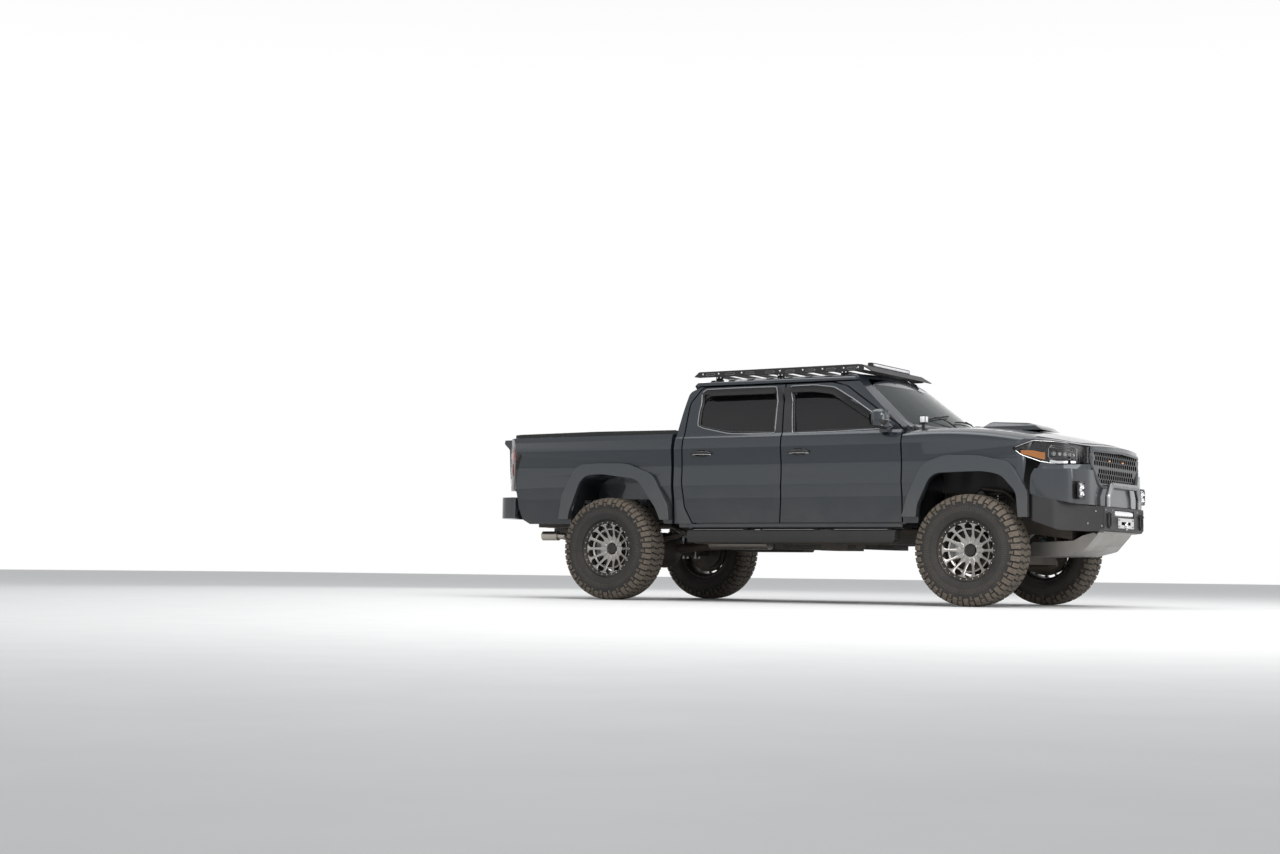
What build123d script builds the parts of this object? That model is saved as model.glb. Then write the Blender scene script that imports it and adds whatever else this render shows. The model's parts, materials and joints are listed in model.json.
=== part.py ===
from build123d import *
import os
from math import cos, radians, sin, tan

# A lifted double-cab off-road pickup, in millimetres.
# +X is forward, +Y is the truck's left, +Z is up, and the ground is Z = 0.
# The origin is on the ground under the middle of the truck.

# Driving sizes
OVERALL_LENGTH = 5400
WHEELBASE = 3236
FRONT_AXLE_X = 1750
TRACK = 1668
TYRE_RADIUS = 430
TYRE_WIDTH = 316
RIM_RADIUS = 241
RIM_HALF_WIDTH = 120
PANEL_GAP = 12
SEAT_GAP = 0.3
SHEET = 22
GLASS = 5
SPOKES = 14

REAR_END_X = -OVERALL_LENGTH / 2
REAR_AXLE_X = FRONT_AXLE_X - WHEELBASE
WHEEL_Y = TRACK / 2

# Heights of the body
BODY_BOTTOM_Z = 640
STEP_Z = 950
CREASE_Z = 1262
BELT_Z = 1372
RAIL_Z = 1387
DOOR_TOP_Z = 1786
ROOF_Z = 1866

# Half widths of the body
BOTTOM_Y = 897
STEP_Y = 925
WAIST_Y = 917
CREASE_Y = 931
BELT_Y = 888
DOOR_TOP_Y = 706
DOOR_INNER_Y = 856
CAB_Y = 820

# Places along the body
FENDER_CUT_X = 1200

CAB_BACK_X = -858
BED_FRONT_X = -884
BED_FLOOR_Z = 902
TAILGATE_X = -2548


def outline(corners, plane=Plane.XY):
    """Closed face from corners (a, b, radius); a radius of 0 is a sharp corner."""
    count = len(corners)
    joints = []
    for index, (a, b, radius) in enumerate(corners):
        here = Vector(a, b)
        before = Vector(*corners[index - 1][:2])
        after = Vector(*corners[(index + 1) % count][:2])
        if radius == 0:
            joints.append((here, None, here))
            continue
        back = (before - here).normalized()
        ahead = (after - here).normalized()
        half = radians(back.get_angle(ahead)) / 2
        reach = radius / tan(half)
        inset = radius / sin(half) - radius
        middle = here + (back + ahead).normalized() * inset
        joints.append((here + back * reach, middle, here + ahead * reach))
    edges = []
    for index, (start, middle, end) in enumerate(joints):
        if middle is not None:
            edges.append(ThreePointArc(start, middle, end))
        following = joints[(index + 1) % count][0]
        if (following - end).length > 0.01:
            edges.append(Line(end, following))
    return plane * make_face(edges)


def along_x(corners, x0, x1):
    """Prism of a (y, z, radius) outline from x0 to x1."""
    return extrude(outline(corners, Plane.YZ.offset(x0)), x1 - x0)


def along_y(corners, y0, y1):
    """Prism of an (x, z, radius) outline from y0 to y1."""
    return extrude(outline(corners, Plane.XZ.offset(-y0)), y0 - y1)


def along_z(corners, z0, z1):
    """Prism of an (x, y, radius) outline from z0 to z1."""
    return extrude(outline(corners, Plane.XY.offset(z0)), z1 - z0)


def block(x0, x1, y0, y1, z0, z1):
    """Box between two corners."""
    return Pos((x0 + x1) / 2, (y0 + y1) / 2, (z0 + z1) / 2) * Box(x1 - x0, y1 - y0, z1 - z0)


def rod(start, end, radius):
    """Round bar from start to end."""
    way = Vector(*end) - Vector(*start)
    return extrude(Plane(origin=start, z_dir=way) * Circle(radius), way.length)


def tube_path(points, bend, radius):
    """Round bar along straight runs joined by arcs of one radius."""
    path = FilletPolyline(*points, radius=bend)
    way = Vector(*points[1]) - Vector(*points[0])
    return sweep(Plane(origin=points[0], z_dir=way) * Circle(radius), path=path)


def both_sides(corners):
    """Outline of the left half (first and last corners on or off the middle) with its mirror."""
    return corners + [(x, -y, radius) for x, y, radius in reversed(corners)]


def wide(corners):
    """Left-half (y, z, radius) outline with its mirror image across Y = 0."""
    return corners + [(-y, z, radius) for y, z, radius in reversed(corners) if y != 0]


def pair(shape):
    """The left piece and its mirror on the right."""
    return Compound([*shape.solids(), *mirror(shape, Plane.XZ).solids()])


def right(shape):
    """The mirror of a left piece."""
    return mirror(shape, Plane.XZ)


def save(name, shape):
    """Write one named piece."""
    solids = shape.solids()
    export_step(solids[0] if len(solids) == 1 else Compound(solids), f"parts/{name}.step")


# The skin of the body side, from the sill up to the crease: y, z, radius
LOWER_SKIN = [
    (BOTTOM_Y, BODY_BOTTOM_Z, 0),
    (908, 850, 60),
    (STEP_Y, STEP_Z, 40),
    (WAIST_Y, 1110, 400),
    (CREASE_Y, CREASE_Z, 30),
]
# The shoulder above it, up to the glass
SHOULDER = [(916, 1338, 60), (BELT_Y, BELT_Z, 0)]


def door_section(inner_y, inner_top_y):
    """Section of a whole door: skin, shoulder and window frame over an inner face."""
    return LOWER_SKIN + SHOULDER + [
        (804, 1590, 1500),
        (DOOR_TOP_Y, DOOR_TOP_Z, 0),
        (inner_top_y, DOOR_TOP_Z - 12, 0),
        (inner_y, BELT_Z, 0),
        (inner_y, BODY_BOTTOM_Z, 0),
    ]


# The nose seen from above, upper body: x, y, radius
NOSE_PLAN = [(1100, 968, 0), (2030, 968, 900), (2420, 806, 500), (2592, 600, 340), (2642, 250, 1500)]
# The bumper below it reaches further out
BUMPER_PLAN = [(1900, 968, 0), (2150, 968, 700), (2530, 832, 160), (2600, 620, 260), (2632, 250, 1500)]
# The top of the hood and fenders turns about one cross axis: a large circle seen from the side
HOOD_APEX_X = 1450
HOOD_TOP_Z = 1440
HOOD_RADIUS = 4030
HOOD_AXIS = Axis((HOOD_APEX_X, 0, HOOD_TOP_Z - HOOD_RADIUS), (0, 1, 0))


def dome(drop):
    """Everything under the hood line, lowered and narrowed by drop."""
    section = wide([
        (960, 300, 0),
        (CREASE_Y + 6 - drop, CREASE_Z, 0),
        (916 - drop, 1338 - drop * 0.7, 60),
        (800, 1378 - drop, 380),
        (0, HOOD_TOP_Z - drop, 6000),
    ])
    face = outline(section, Plane.YZ.offset(HOOD_APEX_X)).rotate(HOOD_AXIS, -7)
    return revolve(face, HOOD_AXIS, 26)


def front_skin(drop):
    """Everything inside the fender sides, narrowed by drop."""
    half = [(y - drop, z, radius) for y, z, radius in LOWER_SKIN[:-1]]
    bottom = [(BOTTOM_Y - drop, 400, 0)]
    top = [(CREASE_Y - drop, CREASE_Z, 0), (CREASE_Y + 16 - drop, 1500, 0)]
    return along_x(wide(bottom + half + top), 1100, 2700)


def inset_plan(plan, drop):
    """A plan outline pulled in by drop."""
    return [(x - drop if x > 0 else x + drop, y - drop, radius) for x, y, radius in plan]


def nose(drop):
    """The rounded front seen from above, pulled in by drop."""
    plan = [NOSE_PLAN[0]] + inset_plan(NOSE_PLAN[1:], drop)
    return along_z(both_sides(plan), 300, 1600)


def front_body(drop):
    """The whole painted front as one solid, pulled in by drop."""
    return dome(drop) & front_skin(drop) & nose(drop)


# The wheel arches: x and z from the axle, radius
ARCH_FRONT = [(-456, -120, 0), (-408, 350, 120), (-292, 592, 130), (150, 602, 600), (276, 568, 130),
              (394, 440, 120), (440, -120, 0)]
ARCH_REAR = [(-410, -120, 0), (-398, 290, 200), (-262, 622, 150), (-60, 628, 300), (290, 582, 160),
             (470, 340, 300),
             (600, 40, 0), (600, -120, 0)]
FLARE_FRONT = [(-540, 256, 0), (-494, 410, 200), (-367, 668, 150), (-180, 728, 200), (90, 722, 500),
               (345, 668, 150), (486, 440, 150), (486, 250, 0)]
FLARE_REAR = [(-500, 250, 0), (-466, 460, 150), (-315, 712, 140), (-80, 722, 500), (180, 716, 400),
              (440, 620, 160),
              (590, 350, 200), (602, 240, 0)]


def arch_prism(corners, axle_x, y0, y1):
    """Opening of a wheel arch through the body side."""
    return along_y([(axle_x + x, TYRE_RADIUS + z, radius) for x, z, radius in corners], y0, y1)


# Headlight seen from the side and tail light seen from the side: x, z, radius
HEADLIGHT = [(2105, 1203, 10), (2252, 1262, 30), (2420, 1252, 60), (2720, 1205, 0), (2720, 1096, 0),
             (2420, 1078, 60), (2303, 1098, 60), (2172, 1148, 40)]
HEADLIGHT_INNER_Y = 566
TAIL_LIGHT = [(-2760, 1300, 0), (-2535, 1300, 20), (-2382, 1243, 25), (-2424, 1147, 60), (-2444, 1050, 60),
              (-2452, 940, 20), (-2760, 940, 0)]

# Door outlines seen from the side, without their gaps: x, z, radius
REAR_DOOR = [(-690, BODY_BOTTOM_Z, 30), (-765, 780, 150), (-782, 1000, 200), (-776, 1298, 80),
             (-783, 1650, 80),
             (-700, DOOR_TOP_Z, 80), (75, DOOR_TOP_Z, 0), (139, 1357, 200), (145, 988, 900),
             (122, BODY_BOTTOM_Z, 0)]
FRONT_DOOR = [(122, BODY_BOTTOM_Z, 0), (145, 988, 900), (139, 1357, 200), (75, DOOR_TOP_Z, 0),
              (500, DOOR_TOP_Z, 120), (640, 1748, 150), (1160, 1408, 25), (FENDER_CUT_X - 4, BELT_Z, 12),
              (FENDER_CUT_X - 4, BODY_BOTTOM_Z, 0)]
REAR_WINDOW = [(-597, 1430, 20), (-663, 1455, 15), (-673, 1577, 300), (-666, 1732, 30), (-618, 1756, 30),
               (22, 1756, 10), (64, 1374, 8), (-348, 1381, 600)]
FRONT_WINDOW = [(235, 1368, 10), (158, 1756, 8), (375, 1756, 200), (550, 1731, 90), (1115, 1386, 8)]
DOOR_EDGE = PANEL_GAP / 2
HINGE_Y = 903
HINGE_HEIGHTS = (950, 1205)
FRONT_HINGE_X = FENDER_CUT_X - 4 - DOOR_EDGE - 60
REAR_HINGE_X = 78
# How far a pillar reaches back past the hinges it carries
PILLAR_REACH = 30


def shrink(corners, amount):
    """Outline face pulled in all round."""
    return offset(outline(corners, Plane.XY), -amount, kind=Kind.INTERSECTION)


def through_y(face, y0, y1):
    """Prism along Y of an (x, z) face drawn on the ground plane."""
    return extrude(Plane.XZ.offset(-y0) * face, y0 - y1)


def door(corners, window, hinge_x):
    """Left door with its window cut and pockets for the two hinges."""
    body = along_x(door_section(DOOR_INNER_Y, DOOR_TOP_Y - 36), -1000, 1400)
    leaf = body & through_y(shrink(corners, DOOR_EDGE), 600, 1000)
    leaf -= along_y(window, 600, 1000)
    for z in HINGE_HEIGHTS:
        leaf -= block(hinge_x - 17, hinge_x + 120, 800, HINGE_Y + 15, z - 26, z + 26)
        leaf -= rod((hinge_x, HINGE_Y, z - 42), (hinge_x, HINGE_Y, z + 42), 5 + SEAT_GAP)
    return leaf


def hinges(hinge_x):
    """Two hinge straps on the pillar, each with its pin."""
    parts = []
    for z in HINGE_HEIGHTS:
        strap = block(hinge_x - 8, hinge_x + 8, CAB_Y - 20, HINGE_Y, z - 20, z + 20)
        strap += rod((hinge_x, HINGE_Y, z - 20), (hinge_x, HINGE_Y, z + 20), 9)
        strap += rod((hinge_x, HINGE_Y, z - 40), (hinge_x, HINGE_Y, z + 40), 5)
        parts.append(strap)
    return parts[0] + parts[1]


def pillar_base(hinge_x):
    """Prism over the wide lower part of a pillar, which carries its door's hinges."""
    return along_y([
        (hinge_x - PILLAR_REACH, BODY_BOTTOM_Z - 100, 0),
        (hinge_x - PILLAR_REACH, HINGE_HEIGHTS[1] + 40, 60),
        (hinge_x + 40, BELT_Z - 22, 0),
        (hinge_x + 130, BELT_Z - 22, 0),
        (hinge_x + 130, BODY_BOTTOM_Z - 100, 0),
    ], 300, 1000)


def door_glass(window):
    """Pane in the plane of the door frame."""
    middle = 18
    pane = along_x([
        (BELT_Y - middle, BELT_Z - 20, 0),
        (804 - middle + 4, 1590, 1500),
        (DOOR_TOP_Y - middle, DOOR_TOP_Z + 10, 0),
        (DOOR_TOP_Y - middle - GLASS, DOOR_TOP_Z + 10, 0),
        (804 - middle - GLASS + 4, 1590, 1500),
        (BELT_Y - middle - GLASS, BELT_Z - 20, 0),
    ], -1000, 1400)
    return pane & through_y(shrink(window, SEAT_GAP), 600, 1000)


# The windshield leans back and bows forward: a plan arc carried along the slope
SCREEN_BASE_Z = 1398
SCREEN_BASE_X = 1359
SCREEN_BOW = 190
SCREEN_HALF = 900
SCREEN_SLOPE = Vector(-420, 0, 320)
SCREEN_REACH = SCREEN_SLOPE.length * 1.6
SCREEN_THICK = 9
SCREEN_OPENING = [(-748, 1420, 30), (748, 1420, 30), (598, 1764, 60), (-598, 1764, 60)]
BACK_OPENING = [(-610, 1420, 40), (610, 1420, 40), (560, 1700, 50), (-560, 1700, 50)]


def plan_arc(front):
    """Bowed line of the windshield seen from above, front mm ahead of its own."""
    side_x = SCREEN_BASE_X - SCREEN_BOW + front
    return ThreePointArc((side_x, SCREEN_HALF), (SCREEN_BASE_X + front, 0), (side_x, -SCREEN_HALF))


def between_arcs(ahead, behind):
    """Slanted solid between two parallel windshield lines."""
    outer = plan_arc(ahead)
    inner = plan_arc(behind)
    edges = [outer, Line(outer @ 1, inner @ 1), inner, Line(inner @ 0, outer @ 0)]
    base = Plane.XY.offset(SCREEN_BASE_Z) * make_face(edges)
    return extrude(base, SCREEN_REACH, dir=SCREEN_SLOPE.normalized())


def door_openings(grow, y0):
    """Both left door outlines grown (or shrunk) as one cutter from y0 outwards."""
    cutters = [through_y(offset(outline(corners), grow, kind=Kind.INTERSECTION), y0, 1000)
               for corners in (REAR_DOOR, FRONT_DOOR)]
    return cutters[0] + cutters[1]


FLOOR_Z = BODY_BOTTOM_Z + 14
TUNNEL_Z = 765
TUNNEL_HALF = 165
TUNNEL_BACK_X = 90


def cab_outline_x(slack):
    """Rear edge of the cab seen from the side, from the sill to the roof, moved forward by slack."""
    return [
        (CAB_BACK_X + slack, BODY_BOTTOM_Z - 30 + slack, 0),
        (CAB_BACK_X + slack, 1120, 0),
        (CAB_BACK_X + 8 + slack, 1404, 1500),
        (CAB_BACK_X + 40 + slack, 1745, 60),
    ]


def cab_roof_block():
    """The cab's full width from floor to roof, before it is cut to length."""
    return along_x(wide([
        (CAB_Y, BODY_BOTTOM_Z - 30, 0),
        (CAB_Y, 1356, 20),
        (648, 1774, 0),
        (DOOR_TOP_Y + 2, DOOR_TOP_Z + PANEL_GAP, 0),
        (694, 1826, 20),
        (620, 1852, 150),
        (0, ROOF_Z, 9000),
    ]), -900, 1340)


def cab_shell():
    """Hollow cab: floor, tunnel, sills, firewall, pillars, roof and back wall with their openings."""
    outer = cab_roof_block()
    outer &= along_y(cab_outline_x(0) + [
        (-772, 1812, 20),
        (-690, 1900, 0),
        (1336, 1900, 0),
        (1336, 1330, 0),
        (1190, 1330, 0),
        (1190, BODY_BOTTOM_Z - 30, 0),
    ], -900, 900)
    inner = along_x(wide([
        (CAB_Y - 42, FLOOR_Z, 0),
        (CAB_Y - 42, 1350, 30),
        (608, 1768, 50),
        (560, 1812, 60),
        (0, ROOF_Z - 40, 9000),
    ]), -900, 1340)
    inner &= along_y(cab_outline_x(44)[1:] + [
        (-640, 1900, 0),
        (790, 1900, 0),
        (790, 1770, 60),
        (1222, 1392, 0),
        (1150, 1390, 0),
        (1150, FLOOR_Z, 0),
        (CAB_BACK_X + 44, FLOOR_Z, 0),
    ], -900, 900)
    inner -= block(TUNNEL_BACK_X, 1150, -TUNNEL_HALF, TUNNEL_HALF, FLOOR_Z, TUNNEL_Z)
    inner += block(TUNNEL_BACK_X + 20, 1200, 20 - TUNNEL_HALF, TUNNEL_HALF - 20, 500, TUNNEL_Z - 20)
    shell = outer - inner
    whole_side = door_section(CAB_Y - 30, 640)
    corner = along_x(whole_side, -890, -540)
    corner &= along_y(cab_outline_x(0) + [(-690, 1800, 0), (-540, 1800, 0), (-540, BODY_BOTTOM_Z, 0)],
                      500, 1000)
    pillar = along_x(whole_side, 400, 1340)
    pillar &= along_y([
        (430, 1800, 0),
        (900, 1800, 0),
        (1300, BELT_Z + 4, 0),
        (FENDER_CUT_X - 2, BELT_Z + 4, 0),
        (FENDER_CUT_X - 60, BELT_Z - 30, 0),
    ], 500, 1000)
    sill = along_x([
        (700, 596, 0),
        (884, 596, 20),
        (884, BODY_BOTTOM_Z - 8, 0),
        (CAB_Y, BODY_BOTTOM_Z - 8, 0),
        (CAB_Y, 680, 0),
        (700, 680, 0),
    ], CAB_BACK_X + 130, 1190)
    leaf_space = along_x(door_section(CAB_Y + 1, DOOR_TOP_Y - 50), -1000, 1400)
    leaf_space = leaf_space & door_openings(DOOR_EDGE, 500)
    left = corner + pillar + sill - leaf_space
    left += hinges(FRONT_HINGE_X) + hinges(REAR_HINGE_X)
    shell = shell + left + right(left)
    ahead = between_arcs(900, 0)
    way_in = door_openings(-42, 400) & block(-1000, 1300, 400, 900, 500, 1900)
    way_in -= pillar_base(FRONT_HINGE_X) + pillar_base(REAR_HINGE_X)
    hood_space = along_z(hood_plan(-PANEL_GAP), 1180, 1500) - dome(SHEET + 16)
    beside = block(1194, 1400, 785.7, 1000, 1200, 1500)
    shell -= hood_space + beside + right(beside)
    shell = (shell - ahead - way_in - right(way_in) - along_x(SCREEN_OPENING, 700, 1420)
             - along_x(BACK_OPENING, -900, -640))
    for low, high in ((HOOD_EAR_Y, HOOD_EAR_Y + 12), (-HOOD_EAR_Y - 12, -HOOD_EAR_Y)):
        shell -= block(1220, 1310, low - 22, high + 22, 1366, 1500)
        shell += block(HOOD_HINGE_X - 12, HOOD_HINGE_X + 12, low, high, 1330, HOOD_HINGE_Z + 10)
        shell -= rod((HOOD_HINGE_X, low - 1, HOOD_HINGE_Z), (HOOD_HINGE_X, high + 1, HOOD_HINGE_Z),
                     5 + SEAT_GAP)
    return shell


def cab_glass():
    """Curved windshield and flat rear window, each filling its opening."""
    front = between_arcs(-1, -1 - SCREEN_THICK) & along_x(shrunk(SCREEN_OPENING), 700, 1420)
    low_x = CAB_BACK_X + 26
    rear_slab = along_y([(low_x, 1404, 0), (low_x + 30, 1724, 0), (low_x + 36, 1724, 0),
                         (low_x + 6, 1404, 0)],
                        -700, 700)
    rear = rear_slab & along_x(shrunk(BACK_OPENING), -900, -640)
    return Compound([*front.solids(), *rear.solids()])


def shrunk(corners):
    """Outline with its corners pulled towards the middle by the seating gap."""
    middle_b = sum(corner[1] for corner in corners) / len(corners)
    return [(a - SEAT_GAP * (1 if a > 0 else -1), b - SEAT_GAP * (1 if b > middle_b else -1), radius)
            for a, b, radius in corners]


# Painted front panels
FENDER_TOP_Y = 800
FENDER_REAR_X = FENDER_CUT_X - 4 + DOOR_EDGE
FENDER_SIDE = [(FENDER_REAR_X, BODY_BOTTOM_Z, 0), (FENDER_REAR_X, 1500, 0), (2254, 1500, 0), (2254, 1230, 0),
               (2304, 1097, 0), (2252, 1000, 60), (2237, 856, 0), (1900, BODY_BOTTOM_Z, 0)]
HOOD_HINGE_X = 1240
HOOD_HINGE_Z = 1393
HOOD_EAR_Y = 742
# The painted nose ends along this line, and the steel bumper starts under it: x, z, radius
COVER_LOW = [(2239, 856, 0), (2324, 832, 30), (2560, 783, 40), (2720, 775, 0)]
COVER_GAP = 3


def hood_plan(inset):
    """Hood seen from above: bowed back edge, straight sides, rounded front."""
    half = [
        (1250 + inset, FENDER_TOP_Y - inset, 20),
        (2100, FENDER_TOP_Y - inset, 500),
        (2262 - inset, 770 - inset, 90),
        (2500 - inset, 610 - inset, 160),
        (2560 - inset, 330, 600),
    ]
    mirrored = [(x, -y, radius) for x, y, radius in reversed(half)]
    return half + mirrored + [(1384 + inset, 0, 2400)]


def hood():
    """Hood skin with the raised scoop in its middle and the two arms it swings on."""
    skin = (dome(0) - dome(SHEET)) & along_z(hood_plan(PANEL_GAP / 2), 1180, 1500)
    scoop = along_y([(1560, 1400, 0), (1640, 1466, 60), (1990, 1446, 200), (2080, 1390, 0)], -205, 205)
    scoop &= along_x([(-260, 1380, 0), (-150, 1470, 40), (150, 1470, 40), (260, 1380, 0)], 1500, 2100)
    skin += scoop - dome(SHEET - 4)
    for side in (-1, 1):
        arm_y = side * (HOOD_EAR_Y + 20)
        pin_start = side * (HOOD_EAR_Y - 4)
        skin += block(HOOD_HINGE_X - 6, 1276, arm_y - 6, arm_y + 6, 1377, 1389)
        skin += rod((HOOD_HINGE_X, arm_y - 6, HOOD_HINGE_Z), (HOOD_HINGE_X, arm_y + 6, HOOD_HINGE_Z), 9)
        skin += rod((HOOD_HINGE_X, pin_start, HOOD_HINGE_Z), (HOOD_HINGE_X, arm_y, HOOD_HINGE_Z), 5)
    return skin


def fenders():
    """Left and right front fenders with their arch cut."""
    wall = front_body(0) - (dome(SHEET) & front_skin(SHEET) & block(1100, 2700, -1000, 1000, 300, 1500))
    left = wall & along_y(FENDER_SIDE, 600, 1000)
    left -= along_z(hood_plan(-PANEL_GAP / 2), 1180, 1500)
    left -= arch_prism(ARCH_FRONT, FRONT_AXLE_X, 500, 1000)
    left -= headlight_space(-COVER_GAP)
    left -= block(1100, 1500, 600, 786, 1200, 1500)
    return pair(left.solids().sort_by(SortBy.VOLUME)[-1])


def bumper_cover():
    """Painted plastic nose around the grille, headlights and fog lamps."""
    upper = front_body(0) & block(2100, 2700, -1000, 1000, 1040, 1500)
    lower_plan = along_z(both_sides(BUMPER_PLAN), 760, 1046)
    outer = upper + (lower_plan & front_skin(-8) & block(2100, 2700, -1000, 1000, 760, 1046))
    hollow = nose(34) & block(2000, 2700, -1000, 1000, 700, 1500)
    hollow_low = along_z(both_sides([BUMPER_PLAN[0]] + inset_plan(BUMPER_PLAN[1:], 34)), 740, 1020)
    cover = outer - hollow - (hollow_low & front_skin(26))
    cover &= along_y(COVER_LOW + [(2720, 1500, 0), (2239, 1500, 0)], -1000, 1000)
    fender_side = through_y(offset(outline(FENDER_SIDE), COVER_GAP, kind=Kind.INTERSECTION), 600, 1000)
    cover -= fender_side + right(fender_side)
    cover -= along_z(hood_plan(-PANEL_GAP / 2), 1180, 1500)
    cover -= along_x(GRILLE_OUTLINE, 2300, 2700)
    for shape in (headlight_space(0), fog_space(0)):
        cover -= shape + right(shape)
    return cover.solids().sort_by(SortBy.VOLUME)[-1]


GRILLE_OUTLINE = [(-560, 1196, 40), (-535, 1075, 60), (-430, 940, 40), (430, 940, 40), (535, 1075, 60),
                  (560, 1196, 40)]
FOG_Y = 735
FOG_Z = 886
FOG_SIZE = 132


def headlight_space(shrink_by):
    """Left headlight's place in the nose, shrunk or grown."""
    face = offset(outline(HEADLIGHT), -shrink_by, kind=Kind.INTERSECTION) if shrink_by else outline(HEADLIGHT)
    return through_y(face, HEADLIGHT_INNER_Y + shrink_by, 1000)


def fog_space(shrink_by):
    """Left fog lamp's square recess."""
    half = FOG_SIZE / 2 - shrink_by
    return block(2380, 2700, FOG_Y - half, FOG_Y + half, FOG_Z - half, FOG_Z + half)


def headlights():
    """Left and right headlights that follow the nose."""
    solid = front_body(0) & headlight_space(SEAT_GAP)
    solid -= along_z(hood_plan(-PANEL_GAP / 2), 1180, 1500)
    return pair(solid.solids().sort_by(SortBy.VOLUME)[-1])


GRILLE_FRONT_X = 2604
GRILLE_DEPTH = 30


def grille():
    """Honeycomb grille: a frame, a bar across the middle and a net of hexagon holes."""
    plate = along_x(shrunk(GRILLE_OUTLINE), GRILLE_FRONT_X - GRILLE_DEPTH, GRILLE_FRONT_X)
    cell = 22
    pitch_y = 52
    pitch_z = 43
    holes = []
    for middle_z in (1006, 1142):
        for row in (-1, 0, 1):
            reach = 500 if middle_z > 1100 else 425 + row * 12
            for column in range(-10, 11):
                y = (column + (0.5 if row else 0)) * pitch_y
                if abs(y) < reach:
                    centre = (GRILLE_FRONT_X - GRILLE_DEPTH - 1, y, middle_z + row * pitch_z * 0.9)
                    holes.append(Plane(origin=centre, z_dir=(1, 0, 0)) * RegularPolygon(cell, 6))
    return plate - extrude(Sketch() + holes, GRILLE_DEPTH + 2)


BED_TAIL_PLAN = [(-800, 0, 0), (-800, 968, 0), (-2420, 968, 350), (-2592, 812, 140), (-2596, 0, 0)]
BED_SKIN = LOWER_SKIN + [(914, 1345, 30), (896, RAIL_Z, 0)]
BED_INNER_Y = 765
TAILGATE_AXIS_X = -2560
TAILGATE_AXIS_Z = 950
TRUNNION_RADIUS = 10
LID_AXIS_X = -888
LID_AXIS_Z = 1397


def bed():
    """Load bed: sides, floor, front wall and wheel houses, open at the top and back."""
    side = along_x(BED_SKIN + [
        (BED_INNER_Y, RAIL_Z, 0),
        (BED_INNER_Y, BODY_BOTTOM_Z + 120, 0),
        (860, BODY_BOTTOM_Z, 0),
    ], -2600, BED_FRONT_X)
    side &= along_z(BED_TAIL_PLAN, 500, 1500)
    side &= along_y([
        (BED_FRONT_X, RAIL_Z, 0),
        (BED_FRONT_X, BODY_BOTTOM_Z, 0),
        (-2317, BODY_BOTTOM_Z, 0),
        (-2390, 678, 40),
        (-2434, 790, 60),
        (-2449, 930, 20),
        (-2700, 930, 0),
        (-2700, RAIL_Z, 0),
    ], 700, 1000)
    house = along_x([(545, 860, 0), (545, 1100, 60), (800, 1140, 0), (800, 860, 0)],
                    REAR_AXLE_X - 470, REAR_AXLE_X + 470)
    arch = arch_prism(ARCH_REAR, REAR_AXLE_X, 575, 1000)
    side = side + house - arch - tail_light_space(0)
    side -= rod((TAILGATE_AXIS_X, 740, TAILGATE_AXIS_Z), (TAILGATE_AXIS_X, 780, TAILGATE_AXIS_Z),
                TRUNNION_RADIUS + SEAT_GAP)
    floor = block(-2538, BED_FRONT_X, -770, 770, BED_FLOOR_Z - 44, BED_FLOOR_Z) - arch - right(arch)
    front_wall = block(BED_FRONT_X - 50, BED_FRONT_X, -860, 860, BED_FLOOR_Z - 44, RAIL_Z)
    for y in (-509, 509):
        front_wall += block(LID_AXIS_X - 8, LID_AXIS_X + 8, y - 11, y + 11, RAIL_Z - 4, LID_AXIS_Z + 9)
        front_wall -= rod((LID_AXIS_X, y - 20, LID_AXIS_Z), (LID_AXIS_X, y + 20, LID_AXIS_Z), 4 + SEAT_GAP)
    return side + right(side) + floor + front_wall


def tail_light_space(shrink_by):
    """Left tail light's place in the bed's rear corner."""
    face = offset(outline(TAIL_LIGHT), -shrink_by,
                  kind=Kind.INTERSECTION) if shrink_by else outline(TAIL_LIGHT)
    return through_y(face, 812 + shrink_by, 1000)


def tail_lights():
    """Left and right lamps in the rear corners."""
    corner = along_x(BED_SKIN + [(700, RAIL_Z, 0), (700, BODY_BOTTOM_Z, 0)], -2600, BED_FRONT_X)
    corner &= along_z(BED_TAIL_PLAN, 500, 1500)
    return pair((corner & tail_light_space(SEAT_GAP)).solids().sort_by(SortBy.VOLUME)[-1])


TAILGATE_HALF = 756
TAILGATE_BOTTOM_Z = 938


def tailgate():
    """Rear gate with its rear lip, handle pocket and the two trunnions it swings on."""
    leaf = along_y([
        (TAILGATE_X, TAILGATE_BOTTOM_Z, 6),
        (-2618, TAILGATE_BOTTOM_Z, 20),
        (-2632, 1120, 500),
        (-2640, 1300, 30),
        (REAR_END_X + 4, 1352, 14),
        (REAR_END_X + 10, RAIL_Z - 3, 8),
        (TAILGATE_X, RAIL_Z - 3, 0),
    ], -TAILGATE_HALF, TAILGATE_HALF)
    leaf -= block(-2660, -2608, -120, 120, 1190, 1262)
    reach = BED_INNER_Y + 10
    leaf += rod((TAILGATE_AXIS_X, -reach, TAILGATE_AXIS_Z), (TAILGATE_AXIS_X, reach, TAILGATE_AXIS_Z),
                TRUNNION_RADIUS)
    return leaf


REAR_BUMPER_TOP_Z = 872


def rear_bumper():
    """Rear step bumper wrapped round the corners, on brackets that meet the frame ends."""
    plan = both_sides([(-2456, 900, 0), (-2456, 936, 30), (-2600, 926, 130), (REAR_END_X, 740, 90),
                       (REAR_END_X, 300, 0)])
    outer = along_z(plan, 690, REAR_BUMPER_TOP_Z)
    outer -= block(-2560, -2300, -866, 866, 600, 1000)
    outer -= block(-2650, -2300, -700, 700, 600, 840)
    outer -= block(REAR_END_X - 10, REAR_END_X + 36, -300, 300, 770, 900)
    bracket = block(-2660, FRAME_REAR_X - SEAT_GAP, 355, 425, 694, 735)
    return outer + bracket + right(bracket)


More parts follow.
